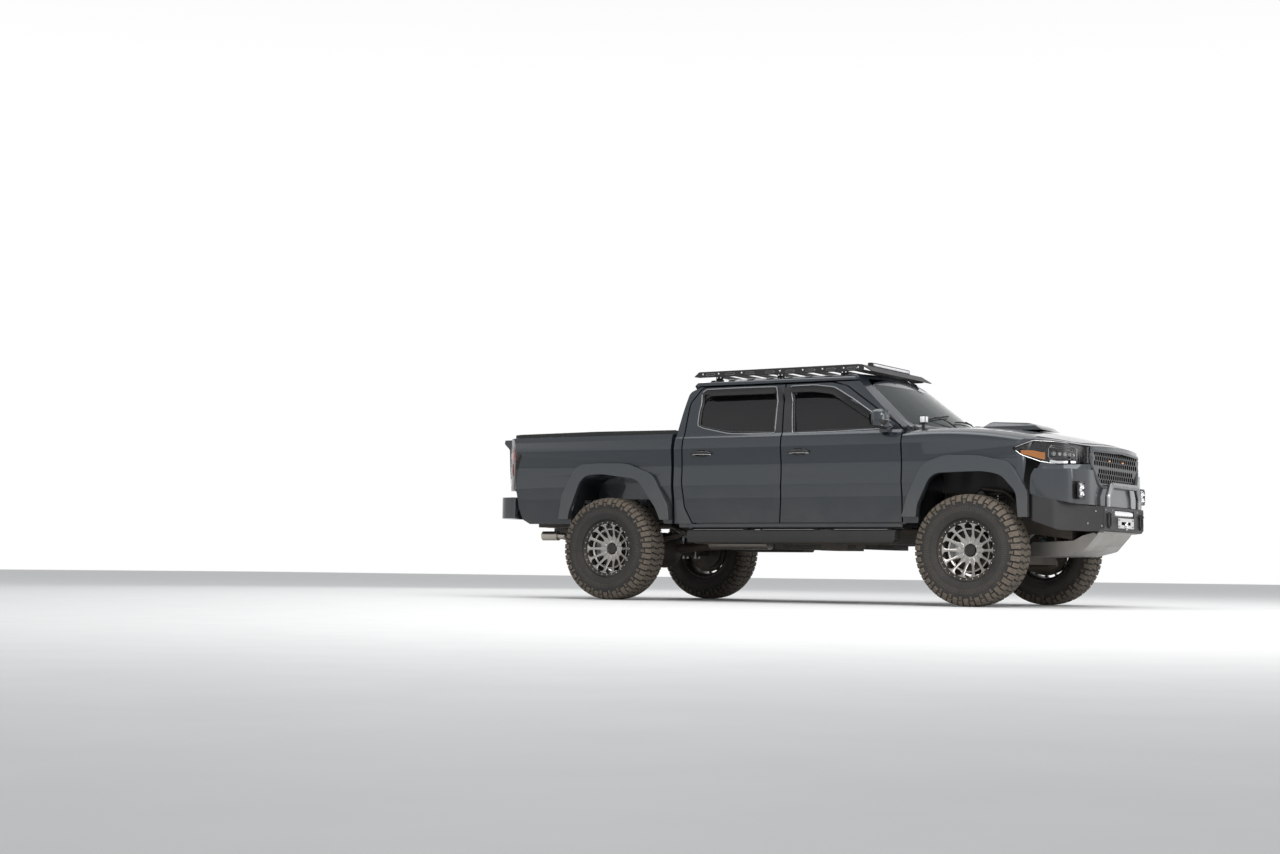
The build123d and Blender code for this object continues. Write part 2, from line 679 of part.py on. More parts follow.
def tonneau_lid():
    """Low hard cover over the bed with two lugs and pins at its front edge."""
    lid = along_y([(-2544, 1393, 0), (-2544, 1424, 10), (-1700, 1431, 4000), (-902, 1424, 10),
                   (-902, 1393, 0)],
                  -800, 800)
    for side in (-1, 1):
        y = side * 529
        lid += block(-910, LID_AXIS_X + 4, y - 7, y + 7, 1393, 1405)
        lid += rod((LID_AXIS_X, side * 500, LID_AXIS_Z), (LID_AXIS_X, side * 530, LID_AXIS_Z), 4)
    return lid


def flares():
    """Four wheel-arch flares that stand proud of the body."""
    rows = [(BOTTOM_Y, 500, 0)] + LOWER_SKIN + [(940, 1400, 0)]
    half = [(y + SEAT_GAP, z, radius) for y, z, radius in rows]
    skin = along_x(half + [(700, 1400, 0), (700, 500, 0)], -2700, 2700)
    shapes = []
    for axle_x, rim, arch in ((FRONT_AXLE_X, FLARE_FRONT, ARCH_FRONT), (REAR_AXLE_X, FLARE_REAR, ARCH_REAR)):
        band = arch_prism(rim, axle_x, 880, 956) - arch_prism(arch, axle_x, 800, 1000) - skin
        band -= block(BED_FRONT_X - 2, -700, 800, 1000, 400, 1300) + block(2236, 2400, 800, 1000, 600, 1200)
        band -= block(1100, FENDER_REAR_X, 800, 1000, 400, 1300)
        shapes += [solid for solid in band.solids() if solid.volume > 1e5]
    return pair(Compound(shapes))


def rocker_sliders():
    """Steel side steps on brackets under the sills."""
    bar = along_x([(830, 494, 12), (925, 482, 14), (938, 536, 14), (925, 584, 20), (840, 588, 0)], -716, 1150)
    bar -= along_x([(842, 506, 0), (915, 494, 0), (926, 536, 0), (915, 574, 0), (846, 578, 0)], -706, 1140)
    bar -= along_y([(1160, 400, 0), (1160, 530, 0), (1060, 400, 0)], 800, 1000)
    for x in (-560, 60, 760):
        bar += block(x, x + 50, RAIL_OUTER + SEAT_GAP, 834, 500, 540)
    return pair(bar)


# Chassis
RAIL_OUTER = 430
RAIL_INNER = 350
ARM_BRACKET_INNER = 352
RAIL_TOP = [(2395, 640), (1960, 700), (1420, 690), (1210, 596), (-880, 596), (-1130, 790), (-1930, 790),
            (-2240, 740), (-2540, 740)]
FRAME_FRONT_X = RAIL_TOP[0][0]
FRAME_REAR_X = RAIL_TOP[-1][0]
RAIL_DEPTH = 118


# Cross members: middle x, width, half length, bottom and top z
CROSS_MEMBERS = [
    (2340, 60, RAIL_INNER - SEAT_GAP, 530, 590),
    (1480, 90, RAIL_INNER - SEAT_GAP, 580, 639.7),
    (620, 80, RAIL_OUTER, 440, 477.7),
    (620, 80, 340, 440, 482),
    (-120, 80, RAIL_OUTER, 440, 477.7),
    (-120, 80, 340, 440, 482),
    (-1090, 70, RAIL_INNER - SEAT_GAP, 670, 730),
    (-1900, 70, RAIL_INNER - SEAT_GAP, 670, 730),
    (-2480, 60, RAIL_INNER - SEAT_GAP, 620, 680),
    (1560, 70, ARM_BRACKET_INNER - SEAT_GAP, 330, 410),
    (1940, 70, ARM_BRACKET_INNER - SEAT_GAP, 330, 410),
]
# Body mounts on the rails: x, bottom and top z
BODY_MOUNTS = [(1000, 590, 609.7), (200, 590, 609.7), (-700, 590, 609.7), (-1160, 780, 857.7),
               (-1850, 780, 857.7),
               (-2420, 730, 857.7)]
# Leaf spring
LEAF_HALF = 600
LEAF_RADIUS = 2400
LEAF_THICK = 9
LEAF_TOP_Z = 520
LEAF_CENTRE_Z = LEAF_TOP_Z + LEAF_RADIUS
LEAF_INNER_Y = 450
LEAF_OUTER_Y = 510
LEAF_EYE_Z = 592
TOWER_TOP_Z = 882
RACK_X = 1885
RACK_Z = 420
RACK_RADIUS = 14


def frame():
    """Rails of the ladder frame, kicked up over the axles, with their spring, arm and damper brackets."""
    top = [(x, z, 60 if 0 < index < len(RAIL_TOP) - 1 else 0) for index, (x, z) in enumerate(RAIL_TOP)]
    low = [(x, z - RAIL_DEPTH, radius) for x, z, radius in reversed(top)]
    side = along_y(top + low, RAIL_INNER, RAIL_OUTER)
    for x, z0, z1 in BODY_MOUNTS:
        side += rod((x, 390, z0), (x, 390, z1), 35)
    for x, z0, z1 in ((REAR_AXLE_X + LEAF_HALF, 520, 606), (REAR_AXLE_X - LEAF_HALF, 575, 700)):
        side += block(x - 30, x + 30, RAIL_OUTER - 1, LEAF_INNER_Y - SEAT_GAP, z0, z1)
    for x in (1560, 1940):
        side += block(x - 35, x + 35, ARM_BRACKET_INNER, 400, 330, 600)
    side += block(1565, 1965, 395, 430.7, 640, 850)
    side += block(1785, 1885, 395, 458, 640, TOWER_TOP_Z) + block(1785, 1885, 395, 575, 862, TOWER_TOP_Z)
    side += block(-1590, -1530, RAIL_OUTER - 1, 537.7, 740, 780)
    return pair(side)


# Hitch receiver under the last cross member: outer half width, bore half width, middle height
RECEIVER_HALF = 32
RECEIVER_BORE = 25.6
RECEIVER_Z = 592


def cross_members():
    """Members between the rails, with the rack's bushings on one and the hitch receiver under the last."""
    members = block(RACK_X - 25, 1906, 255, 285, 398, 446)
    members += right(members)
    for x, width, half, z0, z1 in CROSS_MEMBERS:
        members += block(x - width / 2, x + width / 2, -half, half, z0, z1)
    members += block(-2640, -2470, -RECEIVER_HALF, RECEIVER_HALF, RECEIVER_Z - RECEIVER_HALF,
                     RECEIVER_Z + RECEIVER_HALF)
    members -= block(-2650, -2480, -RECEIVER_BORE, RECEIVER_BORE, RECEIVER_Z - RECEIVER_BORE,
                     RECEIVER_Z + RECEIVER_BORE)
    members -= rod((RACK_X, -300, RACK_Z), (RACK_X, 300, RACK_Z), RACK_RADIUS + SEAT_GAP)
    return Compound([*members.solids()])


def engine_and_gearbox():
    """Plain block of the engine with its gearbox and transfer case behind it."""
    engine = block(1380, 1990, -270, 270, 640, 1270)
    box = along_y([(1381, 640, 0), (1381, 960, 0), (1230, 900, 40), (1205, 735, 20), (250, 720, 30),
                   (250, 482.3, 20),
                   (1150, 482.3, 40), (1230, 600, 40)], -130, 130)
    return engine + box + block(180, 420, -260, 60, 430, 600)


def skid_plate():
    """Folded aluminium plate under the nose with turned-up sides and drain holes."""
    top = [(2640, STEEL_LOW_Z - SEAT_GAP, 0), (2600, STEEL_LOW_Z - SEAT_GAP, 20), (2484, 447, 60),
           (2319, 405, 60),
           (1975.3, 398, 0)]
    low = [(x, z - 9, radius) for x, z, radius in reversed(top)]
    plate = along_y(top + low, -400, 400)
    flange = along_y([(2590, 560, 0), (2484, 440, 60), (2319, 398, 60), (2054, 396, 0), (2054, 500, 20),
                      (2251, 506, 0), (2400, 514, 0), (2470, 552, 0), (2560, 576, 0)], 391, 400)
    plate += flange + right(flange)
    for x in (2080, 2190, 2300):
        for y in (-200, 0, 200):
            plate -= Pos(x, y, 400) * extrude(SlotOverall(90, 34), 60, both=True)
    return plate


# Steering axis: the lower and upper ball joint of the left side
KINGPIN_LOW = (FRONT_AXLE_X, 712, 290)
KINGPIN_HIGH = (FRONT_AXLE_X, 640, 896)
HUB_FACE_Y = 806
UPRIGHT_INNER_Y = 628
UPRIGHT_OUTER_Y = 660


def kingpin_at(z):
    """Point of the left steering axis at height z."""
    share = (z - KINGPIN_LOW[2]) / (KINGPIN_HIGH[2] - KINGPIN_LOW[2])
    return (FRONT_AXLE_X, KINGPIN_LOW[1] + (KINGPIN_HIGH[1] - KINGPIN_LOW[1]) * share, z)


def knuckle():
    """Left upright with hub, brake disc, caliper and steering arm."""
    cx = FRONT_AXLE_X
    upright = along_y([(cx - 40, 326, 14), (cx + 40, 326, 14), (cx + 62, 430, 30), (cx + 30, 600, 80),
                       (cx + 24, 888, 12), (cx - 24, 888, 12), (cx - 30, 600, 80), (cx - 62, 430, 30)],
                      UPRIGHT_INNER_Y, UPRIGHT_OUTER_Y)
    upright += block(cx - 28, cx + 28, UPRIGHT_INNER_Y, 738, 324, 344)
    axle = [(UPRIGHT_OUTER_Y - 1, HUB_FACE_Y - SEAT_GAP, 58), (742, 768, 165)]
    for y0, y1, radius in axle:
        upright += rod((cx, y0, TYRE_RADIUS), (cx, y1, TYRE_RADIUS), radius)
    caliper = rod((cx, 718, TYRE_RADIUS), (cx, 790, TYRE_RADIUS), 186) - rod(
        (cx, 700, TYRE_RADIUS), (cx, 800, TYRE_RADIUS), 110)
    upright += caliper & block(cx - 200, cx - 80, 700, 800, TYRE_RADIUS - 80, TYRE_RADIUS + 80)
    upright += block(cx - 130, cx - 50, 640, 719, TYRE_RADIUS - 40, TYRE_RADIUS + 40)
    upright += block(cx + 30, RACK_X + 18, UPRIGHT_INNER_Y + 2, UPRIGHT_OUTER_Y, 449, 471)
    upright -= rod(kingpin_at(300), kingpin_at(360), 9.6)
    upright -= rod(kingpin_at(864), kingpin_at(900), 8.6)
    return upright


LOWER_ARM_DROP = 12.5
LOWER_ARM_ROOT = (FRONT_AXLE_X, 400.3, 350)
LOWER_ARM_HALF = 18


def lower_arm_top(y):
    """Height of the left lower arm's upper face at y."""
    slope = tan(radians(LOWER_ARM_DROP))
    return LOWER_ARM_ROOT[2] - (y - LOWER_ARM_ROOT[1]) * slope + LOWER_ARM_HALF / cos(radians(LOWER_ARM_DROP))


def control_arms():
    """Upper and lower arms of the front suspension, left and right."""
    cx = FRONT_AXLE_X
    tilt = radians(LOWER_ARM_DROP)
    plane = Plane(origin=LOWER_ARM_ROOT, x_dir=(1, 0, 0), z_dir=(0, sin(tilt), cos(tilt)))
    face = outline([(-215, 24, 0), (-215, 60, 20), (-28, 336, 26), (28, 336, 26), (215, 60, 20), (215, 24, 0),
                    (165, 24, 0), (125, 78, 30), (-125, 78, 30), (-165, 24, 0)], plane)
    lower = extrude(face, LOWER_ARM_HALF, both=True)
    for x0, x1 in ((1530, 1590), (1910, 1970)):
        lower += rod((x0, LOWER_ARM_ROOT[1] + 24, 345), (x1, LOWER_ARM_ROOT[1] + 24, 345), 24)
    lower += rod(kingpin_at(284), kingpin_at(340), 9)
    upper = rod((1590, 431, 820), (1755, 640, 912), 15)
    upper += tube_path([(1940, 431, 820), (1925, 600, 890), (1745, 640, 912)], 40, 15)
    upper -= block(1500, 2000, 380, 431, 780, 860)
    upper += rod(kingpin_at(868), kingpin_at(925), 8)
    return pair(Compound([*lower.solids(), *upper.solids()]))


def dampers():
    """Front coil-over units and rear shock absorbers."""
    front = rod((1835, 520, 300), (1835, 520, 861.7), 22) + rod((1835, 520, 470), (1835, 520, 545), 40)
    for turn in range(7):
        front += Pos(1835, 520, 558 + turn * 38) * Torus(46, 9)
    front += block(1830, 1840, 474, 566, 552, 800)
    front -= along_x([(440, lower_arm_top(440) + SEAT_GAP, 0), (600, lower_arm_top(600) + SEAT_GAP, 0),
                      (600, 200, 0),
                      (440, 200, 0)], 1750, 1900)
    rear = rod((-1610, 560, 415), (-1560, 560, 820), 22) + rod((-1600, 560, 496), (-1578, 560, 674), 32)
    return pair(Compound([*front.solids(), *rear.solids()]))


def rear_axle():
    """Rear beam axle with its differential, brake drums and spring pads."""
    beam = rod((REAR_AXLE_X, -742, TYRE_RADIUS), (REAR_AXLE_X, 742, TYRE_RADIUS), 44)
    beam += Pos(REAR_AXLE_X, 0, TYRE_RADIUS) * Sphere(155)
    drum = rod((REAR_AXLE_X, 740, TYRE_RADIUS), (REAR_AXLE_X, HUB_FACE_Y - SEAT_GAP, TYRE_RADIUS), 150)
    drum += block(REAR_AXLE_X - 70, REAR_AXLE_X + 70, LEAF_INNER_Y - 5, LEAF_OUTER_Y + 5, 380,
                  LEAF_TOP_Z - 36.3)
    drum += block(REAR_AXLE_X - 150, REAR_AXLE_X - 30, LEAF_OUTER_Y + 4, 537.7, 400, 440)
    return beam + drum + right(drum)


def leaf_springs():
    """Leaf packs over the rear axle, four concentric leaves with an eye at each end."""
    pack = None
    for index, half in enumerate((LEAF_HALF, 560, 430, 300)):
        upper = LEAF_RADIUS + index * LEAF_THICK
        lower = upper + LEAF_THICK
        angle = half / LEAF_RADIUS
        corners = []
        for radius, turn in ((upper, -angle), (upper, 0), (upper, angle), (lower, angle), (lower, 0),
                             (lower, -angle)):
            corners.append(Vector(REAR_AXLE_X + radius * sin(turn), LEAF_CENTRE_Z - radius * cos(turn)))
        edges = [ThreePointArc(*corners[:3]), Line(corners[2], corners[3]), ThreePointArc(*corners[3:]),
                 Line(corners[5], corners[0])]
        leaf = extrude(Plane.XZ.offset(-LEAF_INNER_Y) * make_face(edges), LEAF_INNER_Y - LEAF_OUTER_Y)
        pack = leaf if pack is None else pack + leaf
    for x in (REAR_AXLE_X - LEAF_HALF, REAR_AXLE_X + LEAF_HALF):
        pack += rod((x, LEAF_INNER_Y, LEAF_EYE_Z), (x, LEAF_OUTER_Y, LEAF_EYE_Z), 22)
    return pair(pack)


# Depth of the rim's well under its flanges, and the barrel's wall
WELL_DROP = 27
RIM_WALL = 14


def wheel():
    """Left wheel at the origin: barrel, ring, hub and slim spokes joined by bridges near the rim."""
    half = RIM_HALF_WIDTH
    well = RIM_RADIUS - WELL_DROP
    inside = well - RIM_WALL
    barrel = Plane.XY * make_face(Polyline(
        (RIM_RADIUS, half), (RIM_RADIUS, half - 12), (well + 2, half - 22), (well, -half + 22),
        (RIM_RADIUS, -half + 10), (RIM_RADIUS, -half), (well + 8, -half), (inside + 2, -half + 26),
        (inside, half - 34), (well + 8, half), close=True))
    rim = revolve(barrel, Axis.Y, 360)
    hub_front = 38
    rim += rod((0, HUB_FACE_Y - WHEEL_Y, 0), (0, hub_front, 0), 74)
    spoke = extrude(Plane.XY.offset(-7) * make_face(Polyline(
        (60, -6), (60, hub_front), (110, 46), (inside + 6, half - 24), (inside + 6, half - 58), (120, 12),
        close=True)), 14)
    for index in range(SPOKES):
        rim += Rot(0, index * 360 / SPOKES, 0) * spoke
    bridge = inside - 30
    ring = revolve(Plane.XY * make_face(Polyline(
        (bridge, 50), (bridge, 64), (bridge + 14, 71), (bridge + 14, 57), close=True)), Axis.Y, 360)
    rim += ring
    rim += extrude(Plane(origin=(0, hub_front - 1, 0), z_dir=(0, 1, 0)) * Circle(48), 14, taper=12)
    return rim


def tyre():
    """Left tyre at the origin, one ring from bead to tread."""
    half = TYRE_WIDTH / 2
    well = RIM_RADIUS - WELL_DROP
    profile = outline([
        (well + 0.5, -92, 0), (RIM_RADIUS + SEAT_GAP, -half + 52, 0),
        (RIM_RADIUS + SEAT_GAP, -half + 30, 20), (300, -half - 6, 90),
        (385, -half + 8, 60), (TYRE_RADIUS, -half + 40, 16),
        (TYRE_RADIUS, half - 40, 16), (385, half - 8, 60),
        (300, half + 6, 90), (RIM_RADIUS + SEAT_GAP, half - 30, 20),
        (RIM_RADIUS + SEAT_GAP, half - 52, 0), (well + 2.5, 92, 0),
    ])
    return revolve(profile, Axis.Y, 360)


def at_wheel(shape, axle_x, side):
    """A left wheel part moved to its hub; the right ones are mirrored."""
    turned = shape if side > 0 else mirror(shape, Plane.XZ)
    return Pos(axle_x, side * WHEEL_Y, TYRE_RADIUS) * turned


def front_drive():
    """Front differential on its cross bar with its half shafts."""
    body = Pos(FRONT_AXLE_X, -200, 450) * Sphere(105)
    body += block(1595.3, 1904.7, -240, -160, 372, 396)
    body += rod((1635, -215, 500), (FRONT_AXLE_X, -205, 480), 34) - block(1600, 1640.3, -300, -100, 430, 600)
    body += rod((FRONT_AXLE_X, -600, TYRE_RADIUS), (FRONT_AXLE_X, 600, TYRE_RADIUS), 20)
    for y0, y1 in ((-584, -540), (540, 584), (-360, -200), (-200, -60)):
        body += rod((FRONT_AXLE_X, y0, TYRE_RADIUS), (FRONT_AXLE_X, y1, TYRE_RADIUS), 44)
    return body


def propeller_shafts():
    """Shafts from the transfer case to both differentials."""
    rear = rod((186, 0, 560), (REAR_AXLE_X + 145, 0, 444), 38) - block(179.7, 260, -100, 100, 400, 700)
    rear -= Pos(REAR_AXLE_X, 0, TYRE_RADIUS) * Sphere(155 + SEAT_GAP)
    front = rod((416, -215, 520), (1650, -215, 500), 26) - block(400, 420.3, -300, -100, 400, 700)
    front -= block(1640, 1700, -300, -100, 400, 600)
    return Compound([*rear.solids(), *front.solids()])


def steering_rack():
    """Rack bar with its rods, which slide across the truck."""
    bar = rod((RACK_X, -649, RACK_Z), (RACK_X, 649, RACK_Z), RACK_RADIUS)
    for y in (-649, 649):
        bar += rod((RACK_X, y, RACK_Z - RACK_RADIUS - 1), (RACK_X, y, RACK_Z + RACK_RADIUS + 1), 20)
    return bar


def exhaust():
    """Pipe, silencer and cut tip on the right side."""
    run = [(186, -225, 520), (-200, -255, 512), (-1010, -255, 512), (-1260, -255, 640), (-1640, -255, 640),
           (-1930, -330, 490), (-2010, -600, 490), (-2060, -752, 540), (-2260, -752, 540)]
    pipe = tube_path(run, 45, 28)
    silencer = rod((-300, -255, 512), (-860, -255, 512), 78)
    tip = rod((-2110, -752, 540), (-2268, -752, 540), 40)
    whole = pipe + silencer + tip - rod((-2150, -752, 540), (-2280, -752, 540), 36)
    return whole - block(179.7, 260, -400, 0, 400, 700)


def fuel_tank():
    """Moulded tank beside the shaft on the left."""
    return along_x([(120, 420, 40), (120, 570, 20), (RAIL_INNER - SEAT_GAP, 570, 0),
                    (RAIL_INNER - SEAT_GAP, 420, 50)],
                   -840, -180)


STEEL_LOW_Z = 585
STEEL_TOP_Z = 772
STEEL_FRONT_X = 2672
STEEL_PLAN = [(2241, 905, 0), (2262, 925, 20), (2420, 880, 80), (2570, 650, 60), (STEEL_FRONT_X, 470, 30),
              (STEEL_FRONT_X, 300, 0)]
EYE_X = 2682
EYE_Z = 712
EYE_Y = 387
WINCH_Z = 655


def steel_bumper():
    """Welded steel front bumper: centre tray with wings, recovery eyes and openings for winch and light."""
    side_top = [(2239, 855.7, 0), (2324, 831.7, 30), (2560, 782.7, 40), (2600, STEEL_TOP_Z, 0),
                (2720, STEEL_TOP_Z, 0)]
    shell = along_z(both_sides(STEEL_PLAN), STEEL_LOW_Z, 860)
    shell &= along_y(side_top + [
        (2720, 640, 0),
        (2640, STEEL_LOW_Z, 0),
        (2450, STEEL_LOW_Z, 40),
        (2239, 664, 0),
    ], -1000, 1000)
    hollow = along_z(both_sides([(2200, 880, 0), (2405, 862, 60), (2555, 636, 50), (2640, 455, 20),
                                 (2640, 300, 0)]),
                     500, 900)
    hollow &= along_y([(2200, 820, 0), (2320, 804, 0), (2560, 756, 0), (2648, 752, 0), (2648, 640, 0),
                       (2628, 598, 0),
                       (2456, 598, 0), (2236, 676, 0), (2200, 676, 0)], -1000, 1000)
    shell -= hollow
    shell -= block(2560, 2720, -235, 235, 700, 752)
    shell -= block(2200, FRAME_FRONT_X + SEAT_GAP, -445, 445, 500, 760)
    shell -= block(2560, 2720, -175, 175, 622, 680)
    for side in (1, -1):
        low, high = sorted((side * 360, side * 420))
        shell += block(FRAME_FRONT_X + SEAT_GAP, 2650, low, high, 596, 640)
        eye = block(2640, EYE_X, side * EYE_Y - 9, side * EYE_Y + 9, EYE_Z - 18, EYE_Z + 18)
        eye += rod((EYE_X, side * EYE_Y - 9, EYE_Z), (EYE_X, side * EYE_Y + 9, EYE_Z), 18)
        shell += eye - rod((EYE_X, side * EYE_Y - 20, EYE_Z), (EYE_X, side * EYE_Y + 20, EYE_Z), 10)
    return shell


def hoop_bar():
    """Bent tube hoop over the winch."""
    foot_z = STEEL_TOP_Z + SEAT_GAP
    hoop = tube_path([(2664, -373, foot_z), (2666, -373, 850), (2668, -310, 940), (2668, 310, 940),
                      (2666, 373, 850),
                      (2664, 373, foot_z)], 40, 23)
    return hoop - block(2600, 2720, -500, 500, 700, foot_z)


def winch():
    """Winch drum between its motor and gear housings, with the fairlead and hook ahead."""
    drum = rod((2560, -110, WINCH_Z), (2560, 110, WINCH_Z), 40)
    for y0, y1 in ((-230, -108), (108, 230)):
        drum += rod((2560, y0, WINCH_Z), (2560, y1, WINCH_Z), 54)
    drum += block(2500, 2600, -220, 220, 598.3, 612)
    fairlead = block(STEEL_FRONT_X + SEAT_GAP, STEEL_FRONT_X + 12, -190, 190, 614, 692)
    fairlead -= block(2660, 2700, -110, 110, 640, 664)
    rope = rod((2590, 0, 652), (STEEL_FRONT_X + 4, 0, 652), 5)
    hook = Pos(STEEL_FRONT_X + 15, 0, 640) * Rot(0, 90, 0) * Torus(17, 6)
    return Compound([*(drum + rope + hook).solids(), *fairlead.solids()])


def recovery_shackles():
    """Two bow shackles hung in the bumper's eyes."""
    bow = tube_path([(EYE_X, EYE_Y - 26, EYE_Z), (EYE_X, EYE_Y - 31, 640), (EYE_X, EYE_Y, 606),
                     (EYE_X, EYE_Y + 31, 640),
                     (EYE_X, EYE_Y + 26, EYE_Z)], 14, 8)
    bow += rod((EYE_X, EYE_Y - 40, EYE_Z), (EYE_X, EYE_Y + 40, EYE_Z), 9.6)
    return pair(bow)


def lamps():
    """Fog lamps and the light bar of the steel bumper."""
    half = FOG_SIZE / 2 - SEAT_GAP
    fog = block(2410, 2590, FOG_Y - half, FOG_Y + half, FOG_Z - half, FOG_Z + half)
    fog &= along_z(both_sides([BUMPER_PLAN[0]] + inset_plan(BUMPER_PLAN[1:], 6)), 700, 1000)
    bar = block(2612, 2664, -234.7, 234.7, 700.3, 751.7)
    return Compound([*fog.solids(), *right(fog).solids(), *bar.solids()])


def roof_rack():
    """Low roof rack: side rails on feet and cross bars."""
    rail = along_y([(-848, 1886, 0), (-800, 1926, 20), (690, 1932, 40), (770, 1880, 20), (700, 1878, 0),
                    (-800, 1878, 0)], 600, 612)
    roof = Pos(0, 0, SEAT_GAP) * cab_roof_block()
    for x in (-640, -60, 520):
        rail += block(x, x + 60, 586, 602, 1840, 1900) - roof
    rack = rail + right(rail)
    for index in range(8):
        x = -760 + index * 186
        rack += block(x, x + 50, -601, 601, 1900, 1918)
    return rack


def rack_fairing():
    """Sloping wind deflector ahead of the rack."""
    return along_y([(660, 1931, 0), (704, 1931, 20), (800, 1872, 0), (794, 1867, 0), (700, 1923, 20),
                    (660, 1923, 0)],
                   -599.7, 599.7)


ROOF_LIGHT_HALF = 370


def roof_light():
    """Slim light bar over the fairing."""
    return along_y([(650, 1931.3, 0), (650, 1966, 10), (698, 1966, 14), (698, 1931.3, 0)],
                   -ROOF_LIGHT_HALF, ROOF_LIGHT_HALF)


def mirror_unit():
    """Left door mirror on its arm."""
    cap = along_z([(1010, 950, 20), (1010, 1082, 40), (1090, 1078, 50), (1130, 960, 30)], 1378, 1520)
    cap &= along_x([(940, 1378, 20), (940, 1515, 40), (1085, 1520, 50), (1085, 1390, 30)], 900, 1200)
    skin = [(y + SEAT_GAP, z, radius) for y, z, radius in [*LOWER_SKIN, *SHOULDER, (804, 1590, 0)]]
    arm = block(1030, 1095, 860, 966, 1346, 1384) - along_x(skin + [(500, 1590, 0), (500, 640, 0)], 900, 1200)
    return cap + arm


def hood_pods():
    """Two small square lamps on the rear corners of the hood."""
    pod = block(1268, 1318, 686, 738, 1428, 1484) + block(1282, 1302, 702, 722, 1380, 1430)
    return pair(pod - Pos(0, 0, SEAT_GAP) * dome(0))


def seats():
    """Two front seats and the rear bench, plain cushions and backs."""
    pieces = []
    low_z = FLOOR_Z + SEAT_GAP
    for y in (-402, 402):
        seat = along_y([(230, low_z, 0), (150, 900, 40), (250, 960, 40), (690, 950, 60), (720, 760, 0),
                        (640, low_z, 0)],
                       y - 233, y + 233)
        back = along_y([(130, 860, 30), (-40, 1400, 30), (40, 1440, 30), (100, 1420, 30), (290, 960, 40)],
                       y - 228, y + 228)
        head = along_y([(-44, 1400, 0), (-40, 1610, 40), (40, 1610, 40), (40, 1400, 0)], y - 130, y + 130)
        pieces += (seat + back + head).solids()
    bench = along_y([(-760, low_z, 0), (-790, 1400, 40), (-700, 1420, 40), (-560, 980, 40), (-200, 960, 60),
                     (-190, 800, 0), (-260, low_z, 0)], -640, 640)
    pieces += bench.solids()
    return Compound(pieces)


COLUMN_START = (740, 402, 1180)
COLUMN_TILT = 65
COLUMN_RADIUS = 26
COLUMN_LENGTH = 240


def on_column(shape):
    """A shape moved to the steering wheel's centre with Z along its column."""
    return Pos(*COLUMN_START) * Rot(0, -COLUMN_TILT, 0) * shape


def dashboard():
    """Dashboard with its hood, the bore of the steering column and the centre console."""
    dash = along_y([(1149.7, 1000, 0), (1149.7, 1380, 0), (960, 1400, 60), (860, 1330, 60), (880, 1080, 80),
                    (960, 1000, 0)], -745, 745)
    bore_length = COLUMN_LENGTH + 30
    dash -= on_column(Pos(0, 0, -bore_length / 2) * Cylinder(COLUMN_RADIUS + SEAT_GAP, bore_length))
    console_z = TUNNEL_Z + SEAT_GAP
    console = along_y([(900, console_z, 0), (960, 1002, 0), (860, 1040, 40), (700, 900, 60), (380, 900, 40),
                       (340, console_z, 0)], -95, 95)
    return dash + console


def steering_wheel():
    """Steering wheel on its column, on the left."""
    ring = Torus(180, 15) + Box(26, 350, 12) + Box(60, 60, 30)
    return on_column(ring + Pos(0, 0, -COLUMN_LENGTH / 2) * Cylinder(COLUMN_RADIUS, COLUMN_LENGTH))


def build():
    """Build every piece and write it under its own name."""
    os.makedirs("parts", exist_ok=True)
    save("frame", frame())
    save("cross_members", cross_members())
    save("cab_shell", cab_shell())
    save("cab_glass", cab_glass())
    save("front_fenders", fenders())
    save("bumper_cover", bumper_cover())
    save("grille", grille())
    save("headlights", headlights())
    save("hood", hood())
    save("hood_lights", hood_pods())
    for name, corners, window, hinge_x in (
        ("front_door", FRONT_DOOR, FRONT_WINDOW, FRONT_HINGE_X),
        ("rear_door", REAR_DOOR, REAR_WINDOW, REAR_HINGE_X),
    ):
        leaf = door(corners, window, hinge_x)
        pane = door_glass(window)
        save(f"{name}_left", leaf)
        save(f"{name}_right", right(leaf))
        save(f"{name}_glass_left", pane)
        save(f"{name}_glass_right", right(pane))
    save("mirror_left", mirror_unit())
    save("mirror_right", right(mirror_unit()))
    save("load_bed", bed())
    save("tailgate", tailgate())
    save("tail_lights", tail_lights())
    save("rear_bumper", rear_bumper())
    save("tonneau_lid", tonneau_lid())
    save("wheel_arch_flares", flares())
    save("rocker_sliders", rocker_sliders())
    save("roof_rack", roof_rack())
    save("rack_fairing", rack_fairing())
    save("roof_light_bar", roof_light())
    save("steel_bumper", steel_bumper())
    save("hoop_bar", hoop_bar())
    save("winch", winch())
    save("recovery_shackles", recovery_shackles())
    save("bumper_lamps", lamps())
    save("skid_plate", skid_plate())
    save("engine_and_gearbox", engine_and_gearbox())
    save("front_drive", front_drive())
    save("rear_axle", rear_axle())
    save("leaf_springs", leaf_springs())
    save("dampers", dampers())
    save("control_arms", control_arms())
    save("steering_rack", steering_rack())
    save("propeller_shafts", propeller_shafts())
    save("exhaust", exhaust())
    save("fuel_tank", fuel_tank())
    save("seats", seats())
    save("dashboard", dashboard())
    save("steering_wheel", steering_wheel())
    save("knuckle_left", knuckle())
    save("knuckle_right", right(knuckle()))
    rim = wheel()
    ring = tyre()
    for end, axle_x in (("front", FRONT_AXLE_X), ("rear", REAR_AXLE_X)):
        for side_name, side in (("left", 1), ("right", -1)):
            save(f"wheel_{end}_{side_name}", at_wheel(rim, axle_x, side))
            save(f"tyre_{end}_{side_name}", at_wheel(ring, axle_x, side))


if __name__ == "__main__":
    build()
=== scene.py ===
"""A lifted double-cab pickup: finishes, tyres, wheels, lamps, trim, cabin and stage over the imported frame."""

import json
import logging
import math
from dataclasses import dataclass
from enum import Enum

import bmesh
import bpy
import numpy as np
from mathutils import Matrix, Vector
from mathutils.bvhtree import BVHTree

